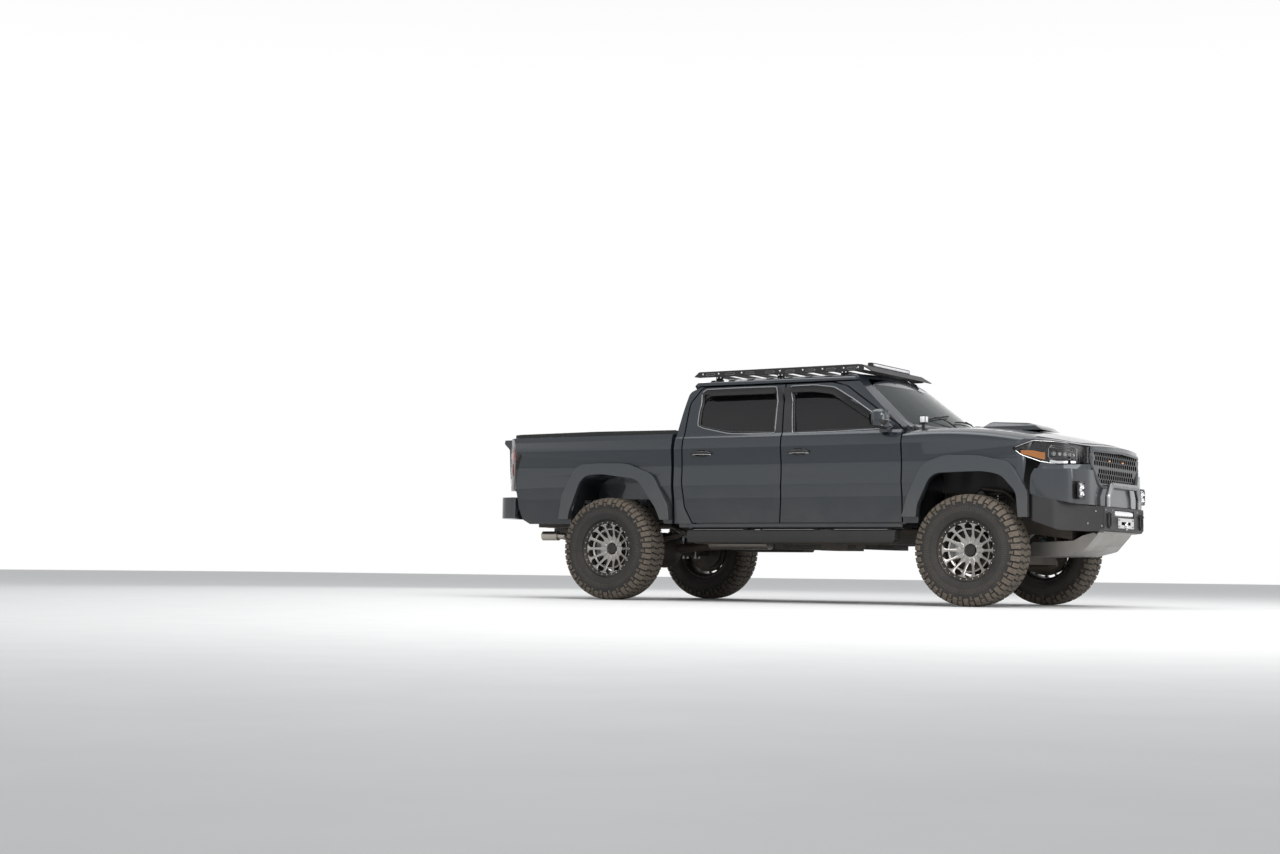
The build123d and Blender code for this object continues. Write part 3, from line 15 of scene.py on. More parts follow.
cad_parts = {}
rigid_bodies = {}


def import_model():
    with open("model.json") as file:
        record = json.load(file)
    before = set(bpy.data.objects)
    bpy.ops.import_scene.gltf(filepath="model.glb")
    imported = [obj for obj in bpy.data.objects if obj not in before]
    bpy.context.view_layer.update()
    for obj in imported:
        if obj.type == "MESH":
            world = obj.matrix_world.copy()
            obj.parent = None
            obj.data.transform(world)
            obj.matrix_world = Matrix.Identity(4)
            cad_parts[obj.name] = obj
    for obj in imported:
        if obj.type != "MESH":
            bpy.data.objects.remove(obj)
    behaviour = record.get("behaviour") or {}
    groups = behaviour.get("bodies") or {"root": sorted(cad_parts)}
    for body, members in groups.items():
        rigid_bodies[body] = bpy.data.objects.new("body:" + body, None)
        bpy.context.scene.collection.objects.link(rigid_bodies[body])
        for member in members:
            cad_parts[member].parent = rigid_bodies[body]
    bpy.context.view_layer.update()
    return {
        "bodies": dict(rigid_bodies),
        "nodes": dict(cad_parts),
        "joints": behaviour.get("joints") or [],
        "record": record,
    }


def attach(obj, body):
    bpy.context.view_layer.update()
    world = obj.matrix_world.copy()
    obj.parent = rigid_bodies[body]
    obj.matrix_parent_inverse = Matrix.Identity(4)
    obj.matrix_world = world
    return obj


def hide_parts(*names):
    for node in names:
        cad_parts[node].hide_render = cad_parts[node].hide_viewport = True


LOG = logging.getLogger("pickup")
MM = 0.001
GLASS_IOR = 1.5
FRONT_AXLE_X = 1.750
REAR_AXLE_X = -1.486
WHEEL_Y = 0.834
AXLE_Z = 0.430


class Side(Enum):
    """The two sides of the truck, with the sign of Y on each."""

    LEFT = 1
    RIGHT = -1

    @property
    def word(self) -> str:
        """The side's name as the nodes spell it."""
        return self.name.lower()


class Axle(Enum):
    """The two axles, with their X in metres."""

    FRONT = FRONT_AXLE_X
    REAR = REAR_AXLE_X

    @property
    def word(self) -> str:
        """The axle's name as the nodes spell it."""
        return self.name.lower()


# Shader groups that several finishes share


Socket = bpy.types.NodeSocket


def noded(tree: bpy.types.NodeTree, kind: str, inputs: dict | None = None,
          **fields: object) -> bpy.types.Node:
    """Add a node, set its fields, and set or link its inputs.

    Args:
        tree: the tree it goes in.
        kind: the node's type without its ShaderNode prefix.
        inputs: for the name or number of each input, its value or the socket that feeds it.
        fields: values of the node's own fields.

    Returns:
        The node.
    """
    node = tree.nodes.new(f"ShaderNode{kind}")
    for label, value in fields.items():
        setattr(node, label, value)
    for key, value in (inputs or {}).items():
        if isinstance(value, Socket):
            tree.links.new(value, node.inputs[key])
        else:
            node.inputs[key].default_value = value
    return node


class SharedEffects:
    """Node groups for grain, dust, edge wear and metal flake, each built once."""

    def __init__(self) -> None:
        """Build every group."""
        self.grain = self._grain()
        self.dust = self._dust()
        self.wear = self._wear()
        self.flake = self._flake()

    @staticmethod
    def _start(name: str, inputs: list[tuple[str, float]], outputs: list[str]) -> tuple:
        """Make an empty group.

        Args:
            name: the group's name.
            inputs: name and default of each value that goes in.
            outputs: name of each value that comes out.

        Returns:
            The group, the sockets that its values come in by, the ones they leave by, and Object coordinates.
        """
        group = bpy.data.node_groups.new(name, "ShaderNodeTree")
        for label, default in inputs:
            socket = group.interface.new_socket(name=label, in_out="INPUT", socket_type="NodeSocketFloat")
            socket.default_value = default
        for label in outputs:
            group.interface.new_socket(name=label, in_out="OUTPUT", socket_type="NodeSocketFloat")
        given, out = group.nodes.new("NodeGroupInput").outputs, group.nodes.new("NodeGroupOutput").inputs
        return group, given, out, noded(group, "TexCoord").outputs["Object"]

    @staticmethod
    def _times(group: bpy.types.NodeTree, first: Socket, second: Socket | float,
               clamp: bool = False) -> Socket:
        """Product of two values, held to 0 and 1 if clamp says so."""
        return noded(group, "Math", {0: first, 1: second}, operation="MULTIPLY", use_clamp=clamp).outputs[0]

    def _grain(self) -> bpy.types.NodeTree:
        """Fine leathery grain: voronoi cells softened by noise.

        Returns:
            The node group.
        """
        group, given, out, place = self._start("fine_grain", [("Scale", 700.0), ("Spread", 0.3)],
                                               ["Height", "Tint"])
        cells = noded(group, "TexVoronoi", {"Vector": place, "Scale": given["Scale"]}, feature="SMOOTH_F1")
        slower = self._times(group, given["Scale"], 0.35)
        noise = noded(group, "TexNoise", {"Vector": place, "Scale": slower, "Detail": 4.0}).outputs["Fac"]
        mix = noded(group, "Mix", {"Factor": given["Spread"], "A": cells.outputs["Distance"], "B": noise})
        group.links.new(mix.outputs["Result"], out["Height"])
        group.links.new(noise, out["Tint"])
        return group

    def _dust(self) -> bpy.types.NodeTree:
        """Dust mask: thick at the ground, fading with height, broken by two sizes of noise.

        Returns:
            The node group.
        """
        group, given, out, place = self._start("road_dust", [("Amount", 0.5), ("Fade Height", 0.9)], ["Mask"])
        height = noded(group, "SeparateXYZ", {0: place}).outputs["Z"]
        fall = noded(group, "MapRange", {"Value": height, "From Max": given["Fade Height"], "To Min": 1.0,
                                         "To Max": 0.0}, interpolation_type="SMOOTHSTEP").outputs[0]
        wide = noded(group, "TexNoise", {"Vector": place, "Scale": 5.0, "Detail": 8.0}).outputs["Fac"]
        fine = noded(group, "TexNoise", {"Vector": place, "Scale": 160.0, "Detail": 5.0}).outputs["Fac"]
        patchy = self._times(group, wide, fine)
        lift = noded(group, "MapRange", {"Value": patchy, "From Min": 0.12, "From Max": 0.42}).outputs[0]
        group.links.new(self._times(group, self._times(group, lift, fall), given["Amount"], True),
                        out["Mask"])
        return group

    def _wear(self) -> bpy.types.NodeTree:
        """Edge mask: where the surface is sharply convex, broken by noise.

        Returns:
            The node group.
        """
        group, given, out, place = self._start("edge_wear", [("Amount", 0.5), ("Sharpness", 0.53)], ["Mask"])
        sharp = noded(group, "NewGeometry").outputs["Pointiness"]
        noise = noded(group, "TexNoise", {"Vector": place, "Scale": 90.0, "Detail": 6.0}).outputs["Fac"]
        edge = noded(group, "MapRange", {"Value": sharp, "From Min": given["Sharpness"],
                                         "From Max": 0.62}).outputs[0]
        group.links.new(self._times(group, self._times(group, edge, noise), given["Amount"], True),
                        out["Mask"])
        return group

    def _flake(self) -> bpy.types.NodeTree:
        """Metal flake: tiny cells of random brightness.

        Returns:
            The node group.
        """
        group, given, out, place = self._start("metal_flake", [("Scale", 2600.0)], ["Value"])
        cells = noded(group, "TexVoronoi", {"Vector": place, "Scale": given["Scale"]})
        split = noded(group, "SeparateColor", {0: cells.outputs["Color"]})
        group.links.new(split.outputs[0], out["Value"])
        return group


Colour = tuple[float, float, float]


@dataclass(frozen=True)
class Finish:
    """A surface finish: its colour and gloss, with the shared effects laid over it.

    Attributes:
        name: the material's name.
        colour: base colour, linear.
        second: colour that noise or flake mixes in.
        roughness: gloss of the surface.
        metallic: 0 or 1.
        coat: clear coat over it.
        grain: height of the fine grain in metres.
        grain_scale: grain cells per metre.
        dust: how much road dust lies on it.
        dust_height: where the dust has faded away, in metres.
        wear: how far the edges are rubbed bright.
        wear_colour: colour of a rubbed edge.
    """

    name: str
    colour: Colour
    second: Colour
    roughness: float = 0.5
    metallic: float = 0.0
    coat: float = 0.0
    grain: float = 0.0
    grain_scale: float = 700.0
    dust: float = 0.0
    dust_height: float = 0.9
    wear: float = 0.0
    wear_colour: Colour = (0.3, 0.3, 0.3)
    dust_colour: Colour = (0.33, 0.25, 0.17)

    def build(self, effects: SharedEffects) -> bpy.types.Material:
        """Build the material.

        Args:
            effects: the shared node groups.

        Returns:
            The finished material.
        """
        material = bpy.data.materials.new(self.name)
        material.use_nodes = True
        tree = material.node_tree
        shader = tree.nodes["Principled BSDF"].inputs
        shader["Metallic"].default_value = self.metallic
        shader["Coat Weight"].default_value = self.coat
        shader["Coat Roughness"].default_value = 0.04
        colour, rough = self._base(tree, effects), self._rough(tree, effects)
        if self.wear > 0:
            edge = noded(tree, "Group", {"Amount": self.wear}, node_tree=effects.wear).outputs["Mask"]
            colour = self._mixed(tree, edge, colour, self.wear_colour)
        if self.dust > 0:
            dust = noded(tree, "Group", {"Amount": self.dust, "Fade Height": self.dust_height},
                         node_tree=effects.dust).outputs["Mask"]
            colour = self._mixed(tree, dust, colour, self.dust_colour)
            rough = noded(tree, "Mix", {"Factor": dust, "A": rough, "B": 0.9}).outputs["Result"]
        tree.links.new(colour, shader["Base Color"])
        tree.links.new(rough, shader["Roughness"])
        if self.grain > 0:
            grain = noded(tree, "Group", {"Scale": self.grain_scale},
                          node_tree=effects.grain).outputs["Height"]
            bump = noded(tree, "Bump", {"Distance": self.grain, "Strength": 0.6, "Height": grain})
            tree.links.new(bump.outputs["Normal"], shader["Normal"])
        return material

    def _base(self, tree: bpy.types.NodeTree, effects: SharedEffects) -> Socket:
        """Base colour: two colours mixed by flake or by soft noise.

        Args:
            tree: the material's tree.
            effects: the shared node groups.

        Returns:
            The colour's socket.
        """
        if self.coat > 0:
            share = noded(tree, "Group", node_tree=effects.flake).outputs["Value"]
        else:
            share = noded(tree, "Group", {"Scale": 24.0}, node_tree=effects.grain).outputs["Tint"]
        return noded(tree, "Mix", {"Factor": share, "A": (*self.colour, 1), "B": (*self.second, 1)},
                     data_type="RGBA").outputs["Result"]

    def _rough(self, tree: bpy.types.NodeTree, effects: SharedEffects) -> Socket:
        """Roughness: a small spread about the finish's own value."""
        tint = noded(tree, "Group", {"Scale": 60.0}, node_tree=effects.grain).outputs["Tint"]
        return noded(tree, "MapRange", {"Value": tint, "To Min": self.roughness * 0.82,
                                        "To Max": min(1.0, self.roughness * 1.18)}).outputs[0]

    @staticmethod
    def _mixed(tree: bpy.types.NodeTree, mask: Socket, under: Socket, over: Colour) -> Socket:
        """Lay a colour over another by a mask."""
        return noded(tree, "Mix", {"Factor": mask, "A": under, "B": (*over, 1)},
                     data_type="RGBA").outputs["Result"]


@dataclass(frozen=True)
class GlassFinish:
    """Glass or a clear lens, seen through by its own tint.

    Attributes:
        name: the material's name.
        tint: colour of what passes through.
        clear: how much passes straight through, 0 to 1.
        roughness: gloss of the surface.
    """

    name: str
    tint: Colour
    clear: float
    roughness: float = 0.02

    def build(self, effects: SharedEffects) -> bpy.types.Material:
        """Build the material: tinted glass with a thin film of dust.

        Args:
            effects: the shared node groups.

        Returns:
            The finished material.
        """
        material = bpy.data.materials.new(self.name)
        material.use_nodes = True
        tree = material.node_tree
        shader = tree.nodes["Principled BSDF"].inputs
        shader["Metallic"].default_value = 0.0
        shader["IOR"].default_value = GLASS_IOR
        shader["Specular IOR Level"].default_value = 0.6
        facing = noded(tree, "Fresnel", {"IOR": GLASS_IOR}).outputs[0]
        solid = noded(tree, "MapRange", {"Value": facing, "From Min": 0.04,
                                         "To Min": 1.0 - self.clear}).outputs[0]
        dust = noded(tree, "Group", {"Amount": 0.015, "Fade Height": 3.5},
                     node_tree=effects.dust).outputs["Mask"]
        colour = noded(tree, "Mix", {"Factor": dust, "A": (*self.tint, 1), "B": (0.4, 0.36, 0.3, 1)},
                       data_type="RGBA").outputs["Result"]
        rough = noded(tree, "MapRange", {"Value": dust, "To Min": self.roughness, "To Max": 0.5}).outputs[0]
        tree.links.new(solid, shader["Alpha"])
        tree.links.new(colour, shader["Base Color"])
        tree.links.new(rough, shader["Roughness"])
        return material


class Finishes:
    """Every finish of the truck, built once and found by its field."""

    def __init__(self, effects: SharedEffects) -> None:
        """Build the materials.

        Args:
            effects: the shared node groups.
        """
        table = {
            "paint": Finish("slate_metallic_paint", (0.011, 0.015, 0.020), (0.026, 0.034, 0.043), 0.30, 0.40,
                            coat=0.9, dust=0.20, dust_height=1.15),
            "flare": Finish("arch_flare_paint", (0.034, 0.040, 0.047), (0.052, 0.060, 0.068), 0.40, 0.4,
                            coat=0.6, dust=0.35, dust_height=1.2),
            "black_plastic": Finish("grained_black_plastic", (0.012, 0.012, 0.013), (0.024, 0.024, 0.025),
                                    0.55, grain=0.00012, grain_scale=900.0, dust=0.25, dust_height=1.2),
            "gloss_black": Finish("gloss_black", (0.005, 0.005, 0.006), (0.009, 0.009, 0.010), 0.26,
                                  coat=0.15),
            "powder": Finish("black_powder_coat", (0.006, 0.006, 0.006), (0.013, 0.013, 0.013), 0.50,
                             grain=0.0003, grain_scale=1400.0, dust=0.03, dust_height=0.9, wear=0.2),
            "rack": Finish("rack_coat", (0.008, 0.008, 0.009), (0.016, 0.016, 0.017), 0.5, grain=0.0002,
                           grain_scale=1400.0),
            "chassis": Finish("chassis_paint", (0.012, 0.012, 0.012), (0.03, 0.027, 0.024), 0.6, grain=0.0005,
                              grain_scale=300.0, dust=0.32, dust_height=1.1, wear=0.2,
                              wear_colour=(0.16, 0.11, 0.07)),
            "cast": Finish("cast_metal", (0.06, 0.058, 0.055), (0.13, 0.12, 0.11), 0.62, 0.7, grain=0.0009,
                           grain_scale=260.0, dust=0.5, dust_height=0.9),
            "tube": Finish("grey_tube", (0.25, 0.255, 0.26), (0.36, 0.365, 0.37), 0.34, 0.9, grain=0.00012,
                           grain_scale=900.0, wear=0.4, wear_colour=(0.6, 0.6, 0.6)),
            "bright": Finish("bright_metal", (0.62, 0.62, 0.61), (0.74, 0.74, 0.73), 0.18, 1.0,
                             grain=0.00005),
            # Grey metal for bolts, rings and vents; on the window trim this light grey is a painted reflection
            # on black moulding.
            "trim": Finish("window_trim_grey", (0.30, 0.31, 0.32), (0.42, 0.43, 0.44), 0.28, 0.9,
                           grain=0.00005),
            "aluminium": Finish("brushed_aluminium", (0.30, 0.29, 0.28), (0.42, 0.41, 0.40), 0.4, 1.0,
                                grain=0.0002, grain_scale=420.0, dust=0.45, dust_height=0.9),
            "exhaust": Finish("exhaust_steel", (0.36, 0.33, 0.29), (0.5, 0.47, 0.43), 0.3, 1.0, grain=0.0001,
                              dust=0.4, dust_height=0.9),
            "damper": Finish("damper_teal", (0.02, 0.16, 0.19), (0.03, 0.22, 0.25), 0.3, coat=0.4, dust=0.3),
            "spring": Finish("spring_grey", (0.2, 0.21, 0.22), (0.28, 0.28, 0.29), 0.4, 0.6, dust=0.3),
            "tyre": Finish("tyre_rubber", (0.014, 0.014, 0.014), (0.028, 0.027, 0.026), 0.82, grain=0.0006,
                           grain_scale=380.0, dust=0.30, dust_height=1.3, wear=1.0,
                           wear_colour=(0.22, 0.175, 0.13), dust_colour=(0.12, 0.105, 0.09)),
            "rim": Finish("wheel_gunmetal", (0.27, 0.26, 0.25), (0.40, 0.39, 0.37), 0.27, 0.95, grain=0.00008,
                          dust=0.18, dust_height=1.0, wear=0.5, wear_colour=(0.5, 0.48, 0.45)),
            "rim_dark": Finish("wheel_black", (0.01, 0.01, 0.011), (0.02, 0.02, 0.02), 0.35, 0.3, dust=0.25,
                               dust_height=1.0),
            "headliner": Finish("headliner", (0.22, 0.22, 0.21), (0.27, 0.27, 0.26), 0.9, grain=0.0006),
            "liner": Finish("bed_liner_plastic", (0.016, 0.016, 0.017), (0.034, 0.034, 0.035), 0.62,
                            grain=0.0005, grain_scale=700.0, dust=0.3, dust_height=1.6),
            "seat": Finish("seat_cloth", (0.018, 0.018, 0.02), (0.04, 0.04, 0.043), 0.85, grain=0.0008,
                           grain_scale=900.0),
            "amber": Finish("amber_lens", (0.75, 0.22, 0.01), (0.85, 0.3, 0.02), 0.12, coat=0.8),
            "red": Finish("red_lens", (0.20, 0.003, 0.003), (0.28, 0.005, 0.005), 0.1, coat=0.5),
            "reflector": Finish("lamp_reflector", (0.7, 0.71, 0.73), (0.85, 0.86, 0.87), 0.1, 1.0),
            "rope": Finish("winch_rope", (0.16, 0.17, 0.19), (0.28, 0.29, 0.31), 0.8, grain=0.0008,
                           grain_scale=900.0),
            "smoke_black": Finish("smoked_lamp", (0.005, 0.004, 0.004), (0.008, 0.006, 0.006), 0.14,
                                  coat=0.3),
            "lamp_white": Finish("white_lamp", (0.78, 0.8, 0.82), (0.9, 0.9, 0.9), 0.2, coat=0.8),
        }
        glass = {
            "screen": GlassFinish("screen_glass", (0.05, 0.06, 0.06), 0.72),
            "dark_glass": GlassFinish("dark_window_glass", (0.003, 0.0035, 0.004), 0.12),
            "lens": GlassFinish("clear_lens", (0.06, 0.065, 0.07), 0.9),
        }
        self._made = {key: finish.build(effects) for key, finish in {**table, **glass}.items()}

    def __getitem__(self, key: str) -> bpy.types.Material:
        """The material of that name."""
        return self._made[key]


# Mesh makers: whole arrays in, one object out


Array = np.ndarray
Pair = tuple[Array, Array]


def xyz(x: Array | float, y: Array | float, z: Array | float) -> Array:
    """Points from three coordinates, each an array or one number for all of them."""
    return np.stack(np.broadcast_arrays(x, y, z), -1)


def crossed(first: Array, second: Array) -> list[Array]:
    """Two grids, of the first values down the rows and of the second along the columns."""
    return np.meshgrid(first, second, indexing="ij")


def joined(parts: list[Pair]) -> Pair:
    """Join several (points, quads) sets into one, with the faces counted on.

    Args:
        parts: the sets.

    Returns:
        One set of points and quads.
    """
    points, faces, count = [], [], 0
    for place, face in parts:
        points.append(place.reshape(-1, 3))
        faces.append(face + count)
        count += len(points[-1])
    return np.vstack(points), np.vstack(faces)


def grid_faces(rows: int, columns: int, wrap_rows: bool = False, wrap_columns: bool = False) -> Array:
    """Quads of a grid of points.

    Args:
        rows: points along the first axis.
        columns: points along the second axis.
        wrap_rows: whether the last row meets the first.
        wrap_columns: whether the last column meets the first.

    Returns:
        One row of four point numbers a face.
    """
    i, j = crossed(np.arange(rows if wrap_rows else rows - 1),
                       np.arange(columns if wrap_columns else columns - 1))
    i2, j2 = (i + 1) % rows, (j + 1) % columns
    return np.stack([i * columns + j, i2 * columns + j, i2 * columns + j2, i * columns + j2],
                    -1).reshape(-1, 4)


def revolved(profile: Array, segments: int, closed: bool = True) -> Pair:
    """Turn a (y, radius) profile about the Y axis: x = r cos a, z = r sin a.

    Args:
        profile: rows of y and radius.
        segments: steps round the circle.
        closed: whether the profile's last point meets its first.

    Returns:
        Points and quads.
    """
    angle = np.linspace(0, 2 * np.pi, segments, endpoint=False)
    y, radius = profile[:, 0], profile[:, 1]
    points = xyz(radius * np.cos(angle)[:, None], np.broadcast_to(y, (segments, len(y))),
                 radius * np.sin(angle)[:, None])
    return points, grid_faces(segments, len(y), True, closed)


def tube(path: Array, radius: float | Array, sides: int = 10, closed: bool = False,
         flat: float = 1.0) -> Pair:
    """A round rod along a path.

    Each ring is centre + r (cos a · n + sin a · b), with n and b square to the path.

    Args:
        path: rows of x, y, z.
        radius: one radius, or one for each point.
        sides: corners of each ring.
        closed: whether the path's end meets its start.
        flat: how far the second way across is squashed.

    Returns:
        Points and quads, ends closed by small rings.
    """
    if closed:
        along = np.roll(path, -1, 0) - np.roll(path, 1, 0)
    else:
        along = np.gradient(path, axis=0)
    along /= np.linalg.norm(along, axis=1, keepdims=True)
    up = np.where(np.abs(along[:, 2:3]) < 0.9, [[0.0, 0.0, 1.0]], [[1.0, 0.0, 0.0]])
    side = np.cross(along, up)
    side /= np.linalg.norm(side, axis=1, keepdims=True)
    rise = np.cross(side, along)
    angle = np.linspace(0, 2 * np.pi, sides, endpoint=False)
    size = np.broadcast_to(np.asarray(radius, float), (len(path),))[:, None, None]
    rings = path[:, None] + size * (np.cos(angle)[None, :, None] * side[:, None]
                                    + flat * np.sin(angle)[None, :, None] * rise[:, None])
    if closed:
        return rings, grid_faces(len(path), sides, True, True)
    ends = [path[:1, None] + 1e-4 * (rings[:1] - path[:1, None]),
            path[-1:, None] + 1e-4 * (rings[-1:] - path[-1:, None])]
    rings = np.concatenate([ends[0], rings, ends[1]])
    return rings, grid_faces(len(rings), sides, False, True)


def hex_bolts(centres: Array, axis: tuple[float, float, float], radius: float, height: float,
              sides: int = 6) -> Pair:
    """Bolt heads at many points: a low ring, a chamfer ring and a crown, all along one axis.

    Args:
        centres: rows of x, y, z on the surface.
        axis: the way the heads stand.
        radius: across the corners, halved.
        height: how far they stand.
        sides: corners of a head.

    Returns:
        Points and quads.
    """
    out = np.array(axis, float)
    out /= np.linalg.norm(out)
    other = np.array([0.0, 0.0, 1.0]) if abs(out[2]) < 0.9 else np.array([1.0, 0.0, 0.0])
    across = np.cross(other, out)
    across /= np.linalg.norm(across)
    rise = np.cross(out, across)
    angle = np.linspace(0, 2 * np.pi, sides, endpoint=False)
    circle = np.cos(angle)[:, None] * across + np.sin(angle)[:, None] * rise
    steps = [(1.0, 0.0), (1.0, 0.75), (0.85, 1.0), (0.45, 1.0), (0.4, 0.6), (0.02, 0.6)]
    rings = np.stack([circle * radius * wide + out * height * tall for wide, tall in steps])
    faces = grid_faces(len(steps), sides, False, True)
    points = centres[:, None, None] + rings[None]
    count = len(steps) * sides
    shift = (np.arange(len(centres)) * count)[:, None, None]
    return points.reshape(-1, 3), (faces[None] + shift).reshape(-1, 4)


@dataclass
class Piece:
    """One new visual object.

    Attributes:
        name: the object's name.
        body: the CAD body it rides.
        slot: the record's material slot of its CAD node; not used.
        material: its finish.
        angle: edges sharper than this stay sharp, in degrees.
        bevel: width of a live bevel in metres, or none.
    """

    name: str
    body: str
    slot: str
    material: bpy.types.Material
    angle: float = 35.0
    bevel: float = 0.0

    def make(self, points: Array, faces: Array) -> bpy.types.Object:
        """Make the object from whole arrays.

        Args:
            points: rows of x, y, z in metres.
            faces: rows of point numbers.

        Returns:
            The object, riding its body.
        """
        mesh = bpy.data.meshes.new(self.name)
        mesh.from_pydata(points.reshape(-1, 3).tolist(), [], faces.tolist())
        return self.dress(mesh, True)

    def dress(self, mesh: bpy.types.Mesh, outward: bool) -> bpy.types.Object:
        """Clean a mesh and put its object in the scene.

        Args:
            mesh: the mesh.
            outward: whether its faces need to be turned outward.

        Returns:
            The object, riding its body.
        """
        work = bmesh.new()
        work.from_mesh(mesh)
        bmesh.ops.remove_doubles(work, verts=work.verts, dist=2e-5)
        bmesh.ops.dissolve_degenerate(work, edges=work.edges, dist=1e-5)
        if outward:
            bmesh.ops.recalc_face_normals(work, faces=work.faces)
        work.to_mesh(mesh)
        work.free()
        mesh.shade_smooth()
        mesh.set_sharp_from_angle(angle=math.radians(self.angle))
        item = bpy.data.objects.new(self.name, mesh)
        bpy.context.scene.collection.objects.link(item)
        mesh.materials.clear()
        mesh.materials.append(self.material)
        if self.bevel > 0:
            edge = item.modifiers.new("edge", "BEVEL")
            edge.width = self.bevel
            edge.segments = 2
            edge.limit_method = "ANGLE"
            edge.angle_limit = math.radians(40)
            edge.harden_normals = True
        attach(item, self.body)
        LOG.info("%s: %d faces", self.name, len(mesh.polygons))
        return item


class Truck:
    """The loaded frame, with what the sub-assemblies need from it."""

    def __init__(self, frame: dict, finishes: Finishes) -> None:
        """Keep the frame and look up each node's body and slot.

        Args:
            finishes: the materials.
        """
        self.frame = frame
        self.finishes = finishes
        self.body_of: dict[str, str] = {}
        for body, nodes in frame["record"]["behaviour"]["bodies"].items():
            self.body_of.update({node: body for node in nodes})
        self.slot_of = {part["node"]: part["material_slot"] for part in frame["record"]["subparts"]}

    def piece(self, name: str, node: str, finish: str, angle: float = 35.0, bevel: float = 0.0) -> Piece:
        """Start a piece that goes with a CAD node's body and slot."""
        return Piece(name, self.body_of[node], self.slot_of[node], self.finishes[finish], angle, bevel)

    def add(self, name: str, node: str, finish: str, angle: float = 35.0, *,
            parts: list[Pair]) -> bpy.types.Object:
        """Make one object of several (points, quads) sets on a CAD node's body."""
        return self.piece(name, node, finish, angle).make(*joined(parts))

    def skin(self, node: str, finish: str, bevel: float = 0.0, angle: float = 32.0) -> bpy.types.Object:
        """Stand a smooth copy of a CAD node in its place.

        The CAD mesh is loose triangles: they are merged, flat ones joined to whole faces, the rest shaded
        smooth up to the given angle, with a small bevel on the sharp edges.

        Args:
            node: the CAD node.
            finish: the finish it takes.
            bevel: width of the bevel in metres.
            angle: edges sharper than this stay sharp, in degrees.

        Returns:
            The copy.
        """
        mesh = self.frame["nodes"][node].data.copy()
        mesh.name = f"{node}_skin"
        work = bmesh.new()
        work.from_mesh(mesh)
        bmesh.ops.remove_doubles(work, verts=work.verts, dist=2e-5)
        bmesh.ops.dissolve_limit(work, angle_limit=math.radians(0.6), verts=work.verts, edges=work.edges,
                                 delimit={"NORMAL"})
        work.to_mesh(mesh)
        work.free()
        item = self.piece(f"{node}_skin", node, finish, angle, bevel).dress(mesh, False)
        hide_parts(node)
        return item

    def finish(self, node: str, finish: str) -> None:
        """Give a CAD node, which stays as it is, a better finish."""
        mesh = self.frame["nodes"][node].data
        for index in range(len(mesh.materials)):
            mesh.materials[index] = self.finishes[finish]


# Tyres and wheels


